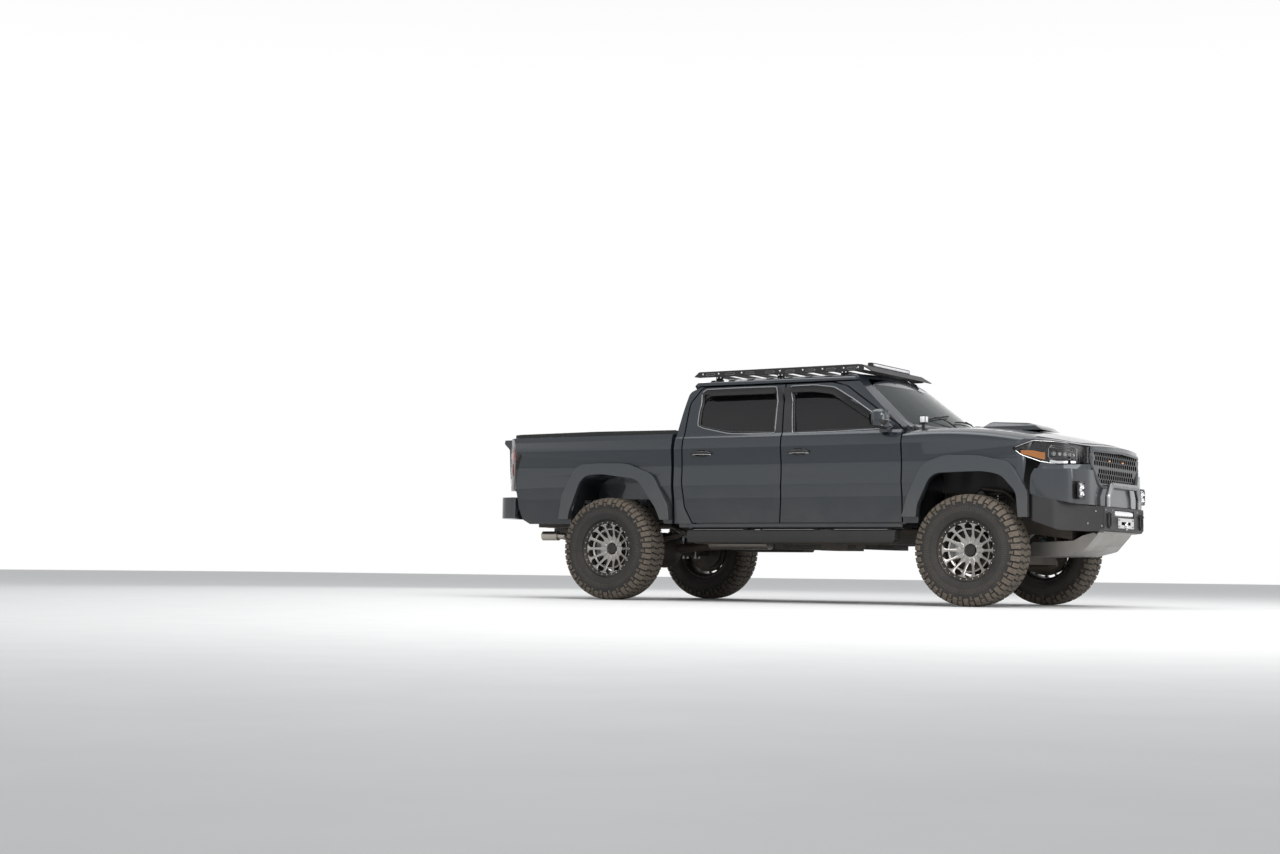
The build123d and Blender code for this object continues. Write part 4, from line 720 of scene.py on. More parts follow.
@dataclass
class Tyre:
    """A mud-terrain tyre: a smooth carcass with rows of blocks laid on it.

    Attributes:
        truck: the frame.
        pitches: how often the tread repeats round the tyre.
        lug: height of the blocks in metres.
        segments: steps of the carcass round the tyre.
    """

    truck: Truck
    pitches: int = 27
    lug: float = 0.0125
    segments: int = 136

    PROFILE = ((0.098, 0.2150), (0.106, 0.2415), (0.124, 0.2420), (0.133, 0.2480), (0.1405, 0.2600),
               (0.1480, 0.2800), (0.1500, 0.2830), (0.1505, 0.2870), (0.1490, 0.2900), (0.1510, 0.3060),
               (0.1522, 0.3250), (0.1512, 0.3440), (0.1480, 0.3620), (0.1425, 0.3800), (0.1350, 0.3960),
               (0.1240, 0.4080), (0.1080, 0.4140), (0.0800, 0.4165), (0.0400, 0.4175), (0.0, 0.4178))

    # Blocks of one pitch on one half: distance along the profile from the middle, start angle, end angle
    # (shares of a pitch) at the inner and outer end, and height as a share of the full block
    BLOCKS = (
        ((0.004, 0.050), (0.06, 0.50), (0.16, 0.56), 1.0),
        ((0.012, 0.044), (0.60, 0.92), (0.66, 0.98), 1.0),
        ((0.056, 0.092), (0.18, 0.60), (0.22, 0.58), 1.0),
        ((0.050, 0.086), (0.70, 1.08), (0.72, 1.02), 1.0),
        ((0.097, 0.172), (0.10, 0.52), (0.12, 0.56), 1.0),
        ((0.092, 0.150), (0.62, 0.98), (0.62, 1.00), 1.0),
        ((0.156, 0.186), (0.66, 0.96), (0.70, 0.92), 0.62),
    )

    def half_path(self) -> Pair:
        """Distance from the middle of the tread along the profile, and the (y, radius) points there."""
        points = np.array(self.PROFILE)[::-1]
        length = np.concatenate([[0], np.cumsum(np.linalg.norm(np.diff(points, axis=0), axis=1))])
        return length, points

    def on_skin(self, distance: Array, angle: Array, height: Array, side: float) -> Array:
        """Points over the carcass.

        The profile is read at the distance from the tread's middle, and its normal is its tangent turned a
        quarter. The point is profile + height × normal, turned about the axle by the angle.

        Args:
            distance: metres along the profile.
            angle: turn about the axle in radians.
            height: metres out of the skin.
            side: which half, 1 or -1.

        Returns:
            Rows of x, y, z about the wheel's centre.
        """
        length, points = self.half_path()
        fine = np.linspace(0, length[-1], 400)
        smooth = np.stack([np.interp(fine, length, points[:, axis]) for axis in (0, 1)], -1)
        kernel = np.hanning(17)
        kernel /= kernel.sum()
        padded = np.concatenate([np.repeat(smooth[:1], 8, 0), smooth, np.repeat(smooth[-1:], 8, 0)])
        smooth = np.stack([np.convolve(padded[:, axis], kernel, "valid") for axis in (0, 1)], -1)
        tangent = np.gradient(smooth, axis=0)
        tangent /= np.linalg.norm(tangent, axis=1, keepdims=True)
        y = np.interp(distance, fine, smooth[:, 0]) + height * np.interp(distance, fine, -tangent[:, 1])
        radius = np.interp(distance, fine, smooth[:, 1]) + height * np.interp(distance, fine, tangent[:, 0])
        return xyz(radius * np.cos(angle), side * y, radius * np.sin(angle))

    def blocks(self) -> Pair:
        """Every block of the tread: a strip of five rows, its top drawn in by a slope from its foot.

        Returns:
            Points and quads.
        """
        pitch = 2 * np.pi / self.pitches
        rows = 5
        parts = []
        for side in (1.0, -1.0):
            for (near, far), inner, outer, tall in self.BLOCKS:
                share = np.linspace(0, 1, rows)
                start = np.interp(share, [0, 1], [inner[0], outer[0]]) * pitch
                end = np.interp(share, [0, 1], [inner[1], outer[1]]) * pitch
                slope = 0.0022
                along = np.stack([near + (far - near) * share, near + slope + (far - near - 2 * slope)
                                  * share])
                turn = slope / 0.42
                angles = np.stack([np.stack([start, end], -1), np.stack([start + turn, end - turn], -1)])
                heights = np.array([-0.002, self.lug * tall])
                distance = np.broadcast_to(along[:, :, None], (2, rows, 2))
                height = np.broadcast_to(heights[:, None, None], (2, rows, 2))
                offset = (np.arange(self.pitches) + (0.5 if side < 0 else 0.0)) * pitch
                angle = angles[None] + offset[:, None, None, None]
                shape = angle.shape
                points = self.on_skin(np.broadcast_to(distance, shape), angle, np.broadcast_to(height, shape),
                                      side)
                top = grid_faces(rows, 2) + 2 * rows
                index = np.arange(rows * 2).reshape(rows, 2)
                ring = np.concatenate([index[:, 0], index[::-1, 1]])
                around = np.stack([ring, np.roll(ring, -1), np.roll(ring, -1) + 2 * rows, ring + 2 * rows],
                                  -1)
                faces = np.vstack([top, around])
                shift = (np.arange(self.pitches) * rows * 4)[:, None, None]
                parts.append((points, (faces[None] + shift).reshape(-1, 4)))
        return joined(parts)

    def ribs(self) -> Pair:
        """Fine raised bars on the sidewalls between the rim and the shoulder, evenly spaced round the tyre.

        Returns:
            Points and quads.
        """
        count = 150
        angle = np.arange(count) * 2 * np.pi / count
        parts = []
        for side in (1.0, -1.0):
            distance = np.array([[0.205, 0.205, 0.244, 0.244], [0.206, 0.206, 0.243, 0.243]])
            half = np.array([[-0.0036, 0.0036, 0.0036, -0.0036], [-0.0026, 0.0026, 0.0026, -0.0026]])
            height = np.array([[-0.001] * 4, [0.0011] * 4])
            shape = (count, 2, 4)
            points = self.on_skin(np.broadcast_to(distance, shape), angle[:, None, None] + half,
                                  np.broadcast_to(height, shape), side)
            faces = np.vstack([grid_faces(2, 4, False, True), [[4, 5, 6, 7]]])
            shift = (np.arange(count) * 8)[:, None, None]
            parts.append((points, (faces[None] + shift).reshape(-1, 4)))
        return joined(parts)

    def carcass(self) -> Pair:
        """The smooth body of the tyre, both halves, turned about the axle.

        Returns:
            Points and quads.
        """
        length, _ = self.half_path()
        distance = np.linspace(0, length[-1], 46)
        half = self.on_skin(distance, np.zeros(46), np.zeros(46), 1.0)
        profile = np.stack([half[:, 1], half[:, 0]], -1)
        whole = np.concatenate([profile[::-1], profile[1:] * (-1, 1)])
        return revolved(whole, self.segments)

    def make(self, axle: Axle, side: Side) -> None:
        """Make one tyre at its wheel.

        Args:
            axle: the axle it is on.
            side: the side it is on.
        """
        node = f"tyre_{axle.word}_{side.word}"
        points, faces = joined([self.carcass(), self.blocks(), self.ribs()])
        points = points * (1, side.value, 1) + (axle.value, side.value * WHEEL_Y, AXLE_Z)
        item = self.truck.piece(f"mud_tyre_{axle.word}_{side.word}", node, "tyre", 38).make(points, faces)
        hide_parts(node)


@dataclass
class Wheel:
    """A slim-spoked wheel with a bolted ring.

    Attributes:
        truck: the frame.
        spokes: how many spokes.
        rim_radius: outer radius of the flange; not used.
        half: half the wheel's width; not used.
        bolts: how many bolts hold the outer ring.
    """

    truck: Truck
    spokes: int = 14
    rim_radius: float = 0.2405
    half: float = 0.1195
    bolts: int = 28

    def barrel(self) -> Pair:
        """Rim section turned about the axle.

        Returns:
            Points and quads.
        """
        profile = np.array([(0.098, 0.2380), (0.090, 0.2300), (0.086, 0.2210), (0.060, 0.2150),
                            (-0.060, 0.2150), (-0.092, 0.2200), (-0.104, 0.2395), (-0.1195, 0.2405),
                            (-0.1195, 0.2340), (-0.108, 0.2300), (-0.098, 0.2130), (-0.090, 0.2080),
                            (0.052, 0.2000), (0.080, 0.2050), (0.092, 0.2130)])
        return revolved(profile, 96)

    def spoke_points(self) -> Pair:
        """One spoke: a tapered bar whose face climbs from the hub to the rim, copied round.

        At each radius the half width follows a table and the face height follows the wheel's dish. The
        section is a rounded bar eight points round.

        Returns:
            Points and quads of all spokes.
        """
        radius = np.array([0.052, 0.072, 0.086, 0.095, 0.101, 0.109, 0.122, 0.150, 0.178, 0.189, 0.196, 0.202,
                           0.212])
        face = np.array([0.0390, 0.0405, 0.0430, 0.0460, 0.0482, 0.0515, 0.0580, 0.0720, 0.0850, 0.0900,
                         0.0932, 0.0955, 0.0970])
        wide = np.array([0.0130, 0.0165, 0.0196, 0.0214, 0.0160, 0.0128, 0.0108, 0.0100, 0.0108, 0.0130,
                         0.0175, 0.0300, 0.0480])
        deep = np.array([0.0420, 0.0400, 0.0360, 0.0330, 0.0320, 0.0310, 0.0290, 0.0280, 0.0270, 0.0260,
                         0.0260, 0.0250, 0.0250])
        count = len(radius)
        across = np.array([-0.72, 0.72, 1.0, 1.0, 0.7, -0.7, -1.0, -1.0])
        back = np.array([0.0, 0.0, 0.07, 0.72, 1.0, 1.0, 0.72, 0.07])
        x = np.broadcast_to(radius[:, None], (count, 8))
        y = face[:, None] - deep[:, None] * back
        z = wide[:, None] * across
        turn = np.arange(self.spokes) * 2 * np.pi / self.spokes
        cos, sin = np.cos(turn)[:, None, None], np.sin(turn)[:, None, None]
        points = xyz(cos * x - sin * z, np.broadcast_to(y, (self.spokes, count, 8)), sin * x + cos * z)
        faces = np.vstack([grid_faces(count, 8, False, True), [[0, 1, 2, 3], [0, 3, 4, 7], [7, 4, 5, 6]],
                           np.array([[0, 1, 2, 3], [0, 3, 4, 7], [7, 4, 5, 6]])[:, ::-1] + 8 * (count - 1)])
        shift = (np.arange(self.spokes) * 8 * count)[:, None, None]
        return points, (faces[None] + shift).reshape(-1, 4)

    def bridges(self) -> Pair:
        """Set-back ring that shows as a short bar in each window."""
        profile = np.array([(0.056, 0.1560), (0.068, 0.1565), (0.0705, 0.1585), (0.0745, 0.1690),
                            (0.073, 0.1710), (0.060, 0.1720)])
        return revolved(profile[::-1], 112)

    def hub(self) -> Pair:
        """Hub with its bolt circle recess."""
        profile = np.array([(-0.028, 0.0735), (0.022, 0.0735), (0.036, 0.0700), (0.0388, 0.0660),
                            (0.0388, 0.0500), (0.030, 0.0480), (0.030, 0.0005), (-0.028, 0.0005)])
        return revolved(profile[::-1], 64)

    def ring(self) -> Pair:
        """Outer bolted ring with a rolled lip.

        Returns:
            Points and quads.
        """
        profile = np.array([(0.0960, 0.2120), (0.1030, 0.2090), (0.1090, 0.2095), (0.1125, 0.2120),
                            (0.1130, 0.2300), (0.1175, 0.2335), (0.1190, 0.2370), (0.1180, 0.2400),
                            (0.1120, 0.2404), (0.0960, 0.2390)])
        return revolved(profile[::-1], 112)

    def ring_slots(self) -> Pair:
        """Raised pads between the ring's bolts.

        Returns:
            Points and quads.
        """
        count = self.bolts
        turn = (np.arange(count) + 0.5) * 2 * np.pi / count
        sweep = np.array([-0.062, 0.062])
        angle = turn[:, None] + sweep
        parts = []
        radius = np.array([0.2150, 0.2270])
        face = np.array([0.1122, 0.1150])
        corners = []
        for height, shrink in ((face[0], 0.0), (face[1], 0.0014)):
            for r, inward in ((radius[0], 1), (radius[1], -1)):
                for column, way in ((0, 1), (1, -1)):
                    a = angle[:, column] + way * shrink / r
                    corners.append(xyz((r + inward * shrink) * np.cos(a), height,
                                       (r + inward * shrink) * np.sin(a)))
        points = np.stack(corners, 1)
        faces = np.array([[4, 5, 7, 6], [0, 1, 5, 4], [1, 3, 7, 5], [3, 2, 6, 7], [2, 0, 4, 6]])
        shift = (np.arange(count) * 8)[:, None, None]
        parts.append((points, (faces[None] + shift).reshape(-1, 4)))
        return joined(parts)

    def circle(self, count: int, radius: float, y: float, start: float = 0.0) -> Array:
        """Points on a circle about the axle."""
        turn = (np.arange(count) + start) * 2 * np.pi / count
        return xyz(radius * np.cos(turn), y, radius * np.sin(turn))

    def cap(self) -> Pair:
        """Recessed centre cap with a stepped face.

        Returns:
            Points and quads.
        """
        profile = np.array([(0.029, 0.0480), (0.0460, 0.0440), (0.0500, 0.0400), (0.0505, 0.0320),
                            (0.0485, 0.0300), (0.0485, 0.0240), (0.0500, 0.0220), (0.0502, 0.0004),
                            (0.029, 0.0004)])
        return revolved(profile[::-1], 48)

    def disc(self) -> Pair:
        """Brake disc behind the spokes."""
        profile = np.array([(-0.010, 0.1550), (-0.010, 0.0900), (0.006, 0.0740), (-0.030, 0.0740),
                            (-0.030, 0.1550)])
        return revolved(profile, 72)

    def make(self, axle: Axle, side: Side) -> None:
        """Make one wheel at its hub.

        Args:
            axle: the axle it is on.
            side: the side it is on.
        """
        node = f"wheel_{axle.word}_{side.word}"
        place = np.array([axle.value, side.value * WHEEL_Y, AXLE_Z])
        flip = np.array([1, side.value, 1])
        tag = f"{axle.word}_{side.word}"
        bolt_y = 0.1126
        groups = {
            "spokes": ("rim", [self.spoke_points(), self.hub(), self.bridges()]),
            "barrel": ("rim_dark", [self.barrel(), self.ring(), self.ring_slots(), self.cap()]),
            "ring_bolts": ("bright", [
                hex_bolts(self.circle(self.bolts, 0.2215, bolt_y), (0, 1, 0), 0.0046, 0.0042),
                hex_bolts(self.circle(6, 0.0600, 0.0386, 0.5), (0, 1, 0), 0.0085, 0.0120)]),
            "brake_disc": ("cast", [self.disc()]),
        }
        first = None
        for word, (finish, parts) in groups.items():
            points, faces = joined(parts)
            item = self.truck.piece(f"{word}_{tag}", node, finish, 32).make(points * flip + place, faces)
            first = first or item
        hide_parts(node)


# Body and stage


@dataclass
class Body:
    """Smooth skins and finishes for the pieces whose built shape is right.

    Attributes:
        truck: the frame.
    """

    truck: Truck

    SKINS = (
        ("cab_shell", "paint", 0.002), ("front_fenders", "paint", 0.002), ("bumper_cover", "paint", 0.002),
        ("hood", "paint", 0.0025), ("front_door_left", "paint", 0.002), ("front_door_right", "paint", 0.002),
        ("rear_door_left", "paint", 0.002), ("rear_door_right", "paint", 0.002), ("load_bed", "paint", 0.002),
        ("tailgate", "paint", 0.002), ("rear_bumper", "paint", 0.0025),
        ("wheel_arch_flares", "flare", 0.0025),
        ("mirror_left", "paint", 0.002), ("mirror_right", "paint", 0.002), ("cab_glass", "screen", 0.0),
        ("front_door_glass_left", "dark_glass", 0.0), ("front_door_glass_right", "dark_glass", 0.0),
        ("rear_door_glass_left", "dark_glass", 0.0), ("rear_door_glass_right", "dark_glass", 0.0),
        ("grille", "gloss_black", 0.001), 
        ("hood_lights", "black_plastic", 0.0015), ("tonneau_lid", "black_plastic", 0.002),
        ("rocker_sliders", "powder", 0.002), ("roof_rack", "rack", 0.0), ("rack_fairing", "rack", 0.0012),
        ("roof_light_bar", "powder", 0.001), ("steel_bumper", "powder", 0.0018), ("hoop_bar", "tube", 0.0),
        ("cross_members", "chassis", 0.0012), ("recovery_shackles", "powder", 0.001),
        ("bumper_lamps", "powder", 0.001),
        ("skid_plate", "aluminium", 0.001), ("exhaust", "exhaust", 0.0),
        ("dashboard", "black_plastic", 0.003),
        ("steering_wheel", "black_plastic", 0.0), ("control_arms", "chassis", 0.0012),
        ("knuckle_left", "cast", 0.0012), ("knuckle_right", "cast", 0.0012), ("frame", "chassis", 0.0012),
    )
    KEPT = (
        ("engine_and_gearbox", "cast"), ("front_drive", "cast"), ("rear_axle", "chassis"),
        ("leaf_springs", "chassis"),
        ("steering_rack", "cast"), ("propeller_shafts", "chassis"), ("fuel_tank", "black_plastic"),
    )

    def make(self) -> None:
        """Dress every node."""
        for node, finish, bevel in self.SKINS:
            self.truck.skin(node, finish, bevel)
        for node, finish in self.KEPT:
            self.truck.finish(node, finish)


class Probe:
    """Finds the skin of the built pieces along a ray."""

    def __init__(self, truck: Truck, nodes: tuple[str, ...]) -> None:
        """Gather the triangles of some nodes.

        Args:
            truck: the frame.
            nodes: which nodes the rays can hit.
        """
        points, faces, count = [], [], 0
        for node in nodes:
            mesh = truck.frame["nodes"][node].data
            place = np.empty(len(mesh.vertices) * 3)
            mesh.vertices.foreach_get("co", place)
            mesh.calc_loop_triangles()
            corner = np.empty(len(mesh.loop_triangles) * 3, int)
            mesh.loop_triangles.foreach_get("vertices", corner)
            points.append(place.reshape(-1, 3))
            faces.append(corner.reshape(-1, 3) + count)
            count += len(points[-1])
        self.tree = BVHTree.FromPolygons(np.vstack(points).tolist(), np.vstack(faces).tolist())

    def cast(self, starts: Array, ways: Array, lift: float = 0.0) -> Pair:
        """Send rays and lift each hit along the surface's normal.

        Args:
            starts: rows of x, y, z.
            ways: one direction, or one for each start.
            lift: metres out of the surface.

        Returns:
            Hit points and normals in the shape of starts; a ray that misses takes its neighbour's offset.
        """
        flat = starts.reshape(-1, 3)
        ways = np.broadcast_to(np.asarray(ways, float), starts.shape).reshape(-1, 3)
        hits, normals = flat.copy(), -ways.copy()
        found = np.zeros(len(flat), bool)
        for index, (start, way) in enumerate(zip(flat, ways)):
            hit, normal, _, _ = self.tree.ray_cast(Vector(start), Vector(way), 1.5)
            if hit is not None:
                hits[index], found[index] = hit, True
                normals[index] = normal if normal.dot(Vector(way)) < 0 else -normal
        if not found.all() and found.any():
            known = np.flatnonzero(found)
            lost = np.flatnonzero(~found)
            near = known[np.abs(known[None] - lost[:, None]).argmin(1)]
            depth = ((hits[near] - flat[near]) * ways[near]).sum(1)
            hits[lost] = flat[lost] + ways[lost] * depth[:, None]
            normals[lost] = normals[near]
        return (hits + normals * lift).reshape(starts.shape), normals.reshape(starts.shape)


def slab(top: Array, normal: Array | tuple, thick: float) -> Pair:
    """A closed plate from a grid of points: the same grid again lower along the normals, joined round it.

    Args:
        top: rows × columns × 3 points of the upper face.
        normal: the normal at each, or one for all.
        thick: how thick the plate is.

    Returns:
        Points and quads.
    """
    rows, columns = top.shape[:2]
    count = rows * columns
    faces = grid_faces(rows, columns)
    index = np.arange(count).reshape(rows, columns)
    ring = np.concatenate([index[0], index[1:, -1], index[-1, -2::-1], index[-2:0:-1, 0]])
    around = np.stack([ring, np.roll(ring, -1), np.roll(ring, -1) + count, ring + count], -1)
    low = top - np.asarray(normal) * thick
    return np.stack([top, low]), np.vstack([faces, faces[:, ::-1] + count, around])


def rounded(corners: tuple, steps: int = 5) -> Array:
    """A closed outline with its corners turned into arcs.

    Args:
        corners: rows of a, b and the corner's radius, in millimetres.
        steps: points on each arc.

    Returns:
        Rows of a and b in metres.
    """
    path = []
    count = len(corners)
    for index, (a, b, radius) in enumerate(corners):
        here = np.array([a, b], float)
        back = np.array(corners[index - 1][:2], float) - here
        ahead = np.array(corners[(index + 1) % count][:2], float) - here
        back, ahead = back / np.linalg.norm(back), ahead / np.linalg.norm(ahead)
        half = math.acos(float(np.clip(back @ ahead, -1, 1))) / 2
        if radius == 0:
            path.append(here[None])
            continue
        middle = here + (back + ahead) / np.linalg.norm(back + ahead) * radius / math.sin(half)
        first = here + back * radius / math.tan(half) - middle
        last = here + ahead * radius / math.tan(half) - middle
        share = np.linspace(0, 1, steps)[:, None]
        arc = first * (1 - share) + last * share
        path.append(middle + arc / np.linalg.norm(arc, axis=1, keepdims=True) * radius)
    return np.vstack(path) * MM


def evened(path: Array, step: float, closed: bool = True) -> Array:
    """A path read again at even steps along its length.

    Args:
        path: corners of the path.
        step: about the spacing in metres.
        closed: whether it runs back to its start.

    Returns:
        The new points.
    """
    ring = np.vstack([path, path[:1]]) if closed else path
    length = np.concatenate([[0], np.cumsum(np.linalg.norm(np.diff(ring, axis=0), axis=1))])
    count = max(4, int(length[-1] / step))
    at = np.linspace(0, length[-1], count + 1)[: count if closed else count + 1]
    return np.stack([np.interp(at, length, ring[:, axis]) for axis in range(ring.shape[1])], -1)


def mirrored(part: Pair) -> Pair:
    """The same piece on the other side of the middle."""
    points, faces = part
    return points * (1, -1, 1), faces


@dataclass
class SideTrim:
    """Window trim, pillar covers, visors, handles and mirror details on the doors.

    Attributes:
        truck: the frame.
        trim: radius of the window trim, whose light grey is a painted reflection.
        handle: half the length of a door handle.
    """

    truck: Truck
    trim: float = 0.0045
    handle: float = 0.092

    WINDOWS = {
        "rear": ((-597, 1430, 20), (-663, 1455, 15), (-673, 1577, 300), (-666, 1732, 30), (-618, 1756, 30),
                 (22, 1756, 10), (64, 1374, 8), (-348, 1381, 600)),
        "front": ((235, 1368, 10), (158, 1756, 8), (375, 1756, 200), (550, 1731, 90), (1115, 1386, 8)),
    }
    SECTION_X = 0.09
    HANDLES = {"rear": (-0.589, 1.216), "front": (0.306, 1.211)}
    # Pillar cover between the two windows: rows of z and the X of both edges
    PILLARS = {
        "rear": ((1.384, 0.0710, 0.1235), (1.500, 0.0590, 0.1085), (1.640, 0.0440, 0.0870),
                 (1.748, 0.0320, 0.0705)),
        "front": ((1.384, 0.1435, 0.2250), (1.500, 0.1285, 0.2020), (1.640, 0.1070, 0.1740),
                  (1.748, 0.0905, 0.1520)),
    }

    def __post_init__(self) -> None:
        """Read the side's profile, which doesn't change along the truck."""
        self.height = np.linspace(0.66, 1.782, 240)
        starts = xyz(self.SECTION_X, 1.3, self.height)
        self.profile = Probe(self.truck, ("rear_door_left",)).cast(starts, (0, -1, 0))[0][:, 1]

    def side_y(self, z: Array, lift: float) -> Array:
        """Y of the doors' skin at a height, lifted out."""
        return np.interp(z, self.height, self.profile) + lift

    def window_frames(self, word: str) -> tuple[Pair, Pair]:
        """Light grey trim round a window, its colour a painted reflection on the black moulding, and the black
        seal inside it.

        Args:
            word: front or rear, the door's place.

        Returns:
            The trim and the seal.
        """
        path = evened(rounded(self.WINDOWS[word], 7), 0.022)
        middle = path.mean(0)
        outward = path - middle
        outward /= np.linalg.norm(outward, axis=1, keepdims=True)
        # Light grey ring just outside the window opening: a painted reflection on the black moulding.
        ring = path + outward * 0.006
        bright = xyz(ring[:, 0], self.side_y(ring[:, 1], 0.001), ring[:, 1])
        seal = path - outward * 0.006
        dark = xyz(seal[:, 0], self.side_y(seal[:, 1], -0.010), seal[:, 1])
        return tube(bright, self.trim, 8, True), tube(dark, 0.0085, 8, True)

    def pillar(self, word: str) -> Pair:
        """Black cover on the window frame next to the middle pillar.

        Args:
            word: front or rear, the door's place.

        Returns:
            Points and quads.
        """
        table = np.array(self.PILLARS[word])
        z = np.linspace(table[0, 0], table[-1, 0], 16)
        edges = np.stack([np.interp(z, table[:, 0], table[:, 1]), np.interp(z, table[:, 0], table[:, 2])])
        x = edges[0][:, None] + (edges[1] - edges[0])[:, None] * np.linspace(0, 1, 4)
        z = np.broadcast_to(z[:, None], x.shape)
        top = xyz(x, self.side_y(z, 0.0016), z)
        return slab(top, (0.0, 1.0, 0.0), 0.003)

    def visor(self, word: str) -> Pair:
        """Smoked rain visor over a window: its lower edge stands out and follows the roof line.

        Args:
            word: front or rear, the door's place.

        Returns:
            Points and quads.
        """
        table = {"rear": ((-0.655, 1.715), (-0.615, 1.752), (0.020, 1.752), (0.030, 1.700)),
                 "front": ((0.166, 1.700), (0.162, 1.752), (0.380, 1.752), (0.545, 1.728), (0.800, 1.578),
                           (1.090, 1.402))}[word]
        edge = evened(np.array(table), 0.02, False)
        inward = np.array([0.15, -1.0]) if word == "rear" else np.array([-0.35, -1.0])
        share = np.linspace(0, 1, 4)[None, :, None]
        fade = np.clip(np.minimum(np.arange(len(edge)), np.arange(len(edge))[::-1]) / 4, 0.25,
                       1)[:, None, None]
        flat = edge[:, None] + inward / np.linalg.norm(inward) * 0.052 * share * fade
        out = self.side_y(flat[..., 1], 0.0) + 0.002 + 0.009 * np.sin(share[..., 0] * 2.2)
        top = xyz(flat[..., 0], out, flat[..., 1])
        return slab(top, (0.0, 1.0, 0.0), 0.0022)

    def handle_parts(self, word: str) -> dict[str, Pair]:
        """Door handle: a bowed grip over a dished cup, with a bright lower lip and a lock cap.

        Args:
            word: front or rear, the door's place.

        Returns:
            The handle's pieces by name.
        """
        x0, z0 = self.HANDLES[word]
        share = np.linspace(-1, 1, 17)
        skin = float(self.side_y(np.array([z0]), 0.0)[0])
        bow = skin + 0.004 + 0.027 * (1 - share ** 4)
        path = xyz(x0 + self.handle * share, bow, z0 + 0.004 * (1 - share ** 2))
        size = 0.0165 * (1 - 0.35 * share ** 6)
        grip = tube(path, size, 12, flat=0.8)
        lip = tube(path + (0, 0.0035, -0.0120), size * 0.22, 8)
        angle = np.linspace(0, 2 * np.pi, 28, endpoint=False)
        rings = []
        for wide, deep in ((1.0, 0.0006), (0.94, 0.0032), (0.86, 0.0012), (0.3, 0.0008), (0.02, 0.0008)):
            x, z = x0 + 0.072 * wide * np.cos(angle), z0 + 0.030 * wide * np.sin(angle)
            rings.append(xyz(x, self.side_y(z, deep), z))
        cup = (np.stack(rings), grid_faces(5, 28, False, True))
        return {"dark": joined([grip, cup]), "bright": lip}

    def make(self) -> None:
        """Make the trim of all four doors."""
        for side in Side:
            flip = np.array([1, side.value, 1])
            for word in ("front", "rear"):
                node = f"{word}_door_{side.word}"
                bright, dark = self.window_frames(word)
                handle = self.handle_parts(word)
                for label, finish, parts in (
                    # The window trim's light grey is a painted reflection on black moulding.
                    ("window_trim", "trim", [bright]),
                    ("window_seal", "black_plastic", [dark, self.pillar(word)]),
                    ("rain_visor", "dark_glass", [self.visor(word)]),
                    ("door_handle", "gloss_black", [handle["dark"]]),
                    ("handle_lip", "bright", [handle["bright"]]),
                ):
                    points, faces = joined(parts)
                    self.truck.piece(f"{label}_{word}_{side.word}", node, finish).make(points * flip, faces)
            self.mirror(side, flip)

    def mirror(self, side: Side, flip: Array) -> None:
        """Mirror: rounded shell, black lower half and foot, bright strip and the glass.

        Args:
            side: the side it is on.
            flip: signs that mirror left points to the side.
        """
        node = f"mirror_{side.word}"
        section = np.linspace(0, 2 * np.pi, 28, endpoint=False)
        along = np.array([0.0, 0.012, 0.035, 0.075, 0.115, 0.145, 0.165, 0.172])
        size = np.array([0.05, 0.62, 0.86, 0.98, 1.0, 0.93, 0.66, 0.05])
        y = 0.922 + along[:, None] * 0.90 + 0.0 * section
        front = np.sign(np.cos(section)) * np.abs(np.cos(section)) ** 0.75
        rise = np.sign(np.sin(section)) * np.abs(np.sin(section)) ** 0.8
        x = 1.053 + 0.066 * size[:, None] * front + 0.012 * (1 - size[:, None])
        z = 1.450 + 0.076 * size[:, None] * rise + 0.020 * (along[:, None] - 0.08)
        shell = (xyz(x, y, z), grid_faces(8, 28, False, True))
        item = self.truck.add(f"mirror_shell_{side.word}", node, "paint", 40,
                              parts=[(shell[0] * flip, shell[1])])
        self.lower_half(item, 1.437, "black_plastic")
        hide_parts(node)
        path = np.array([(1.062, 0.880, 1.362), (1.062, 0.905, 1.372), (1.060, 0.935, 1.388),
                         (1.058, 0.970, 1.405)])
        foot = tube(path, np.array([0.030, 0.024, 0.021, 0.024]), 14, flat=0.62)
        base = xyz(np.linspace(1.02, 1.10, 5)[:, None] + 0 * np.ones(4), 0.894,
                   np.linspace(1.350, 1.384, 4)[None] + 0 * np.ones((5, 1)))
        plate = slab(base, (0.0, 1.0, 0.0), 0.008)
        points, faces = joined([foot, plate])
        self.truck.piece(f"mirror_foot_{side.word}", node, "black_plastic").make(points * flip, faces)
        edge = np.linspace(0.945, 1.070, 12)
        strip = tube(xyz(1.120 - 0.5 * (edge - 1.0) ** 2 * 3, edge, 1.438 + 0.02 * (edge - 1.0)), 0.0028, 8)
        self.truck.piece(f"mirror_strip_{side.word}", node, "bright").make(strip[0] * flip, strip[1])
        angle = np.linspace(0, 2 * np.pi, 28, endpoint=False)
        rings = [xyz(0.9875 - 0.002 * wide, 1.008 + 0.058 * wide * np.cos(angle),
                     1.450 + 0.052 * wide * np.sin(angle)) for wide in (1.0, 0.9, 0.02)]
        self.truck.piece(f"mirror_glass_{side.word}", node, "reflector").make(
            np.stack(rings) * flip, grid_faces(3, 28, False, True))

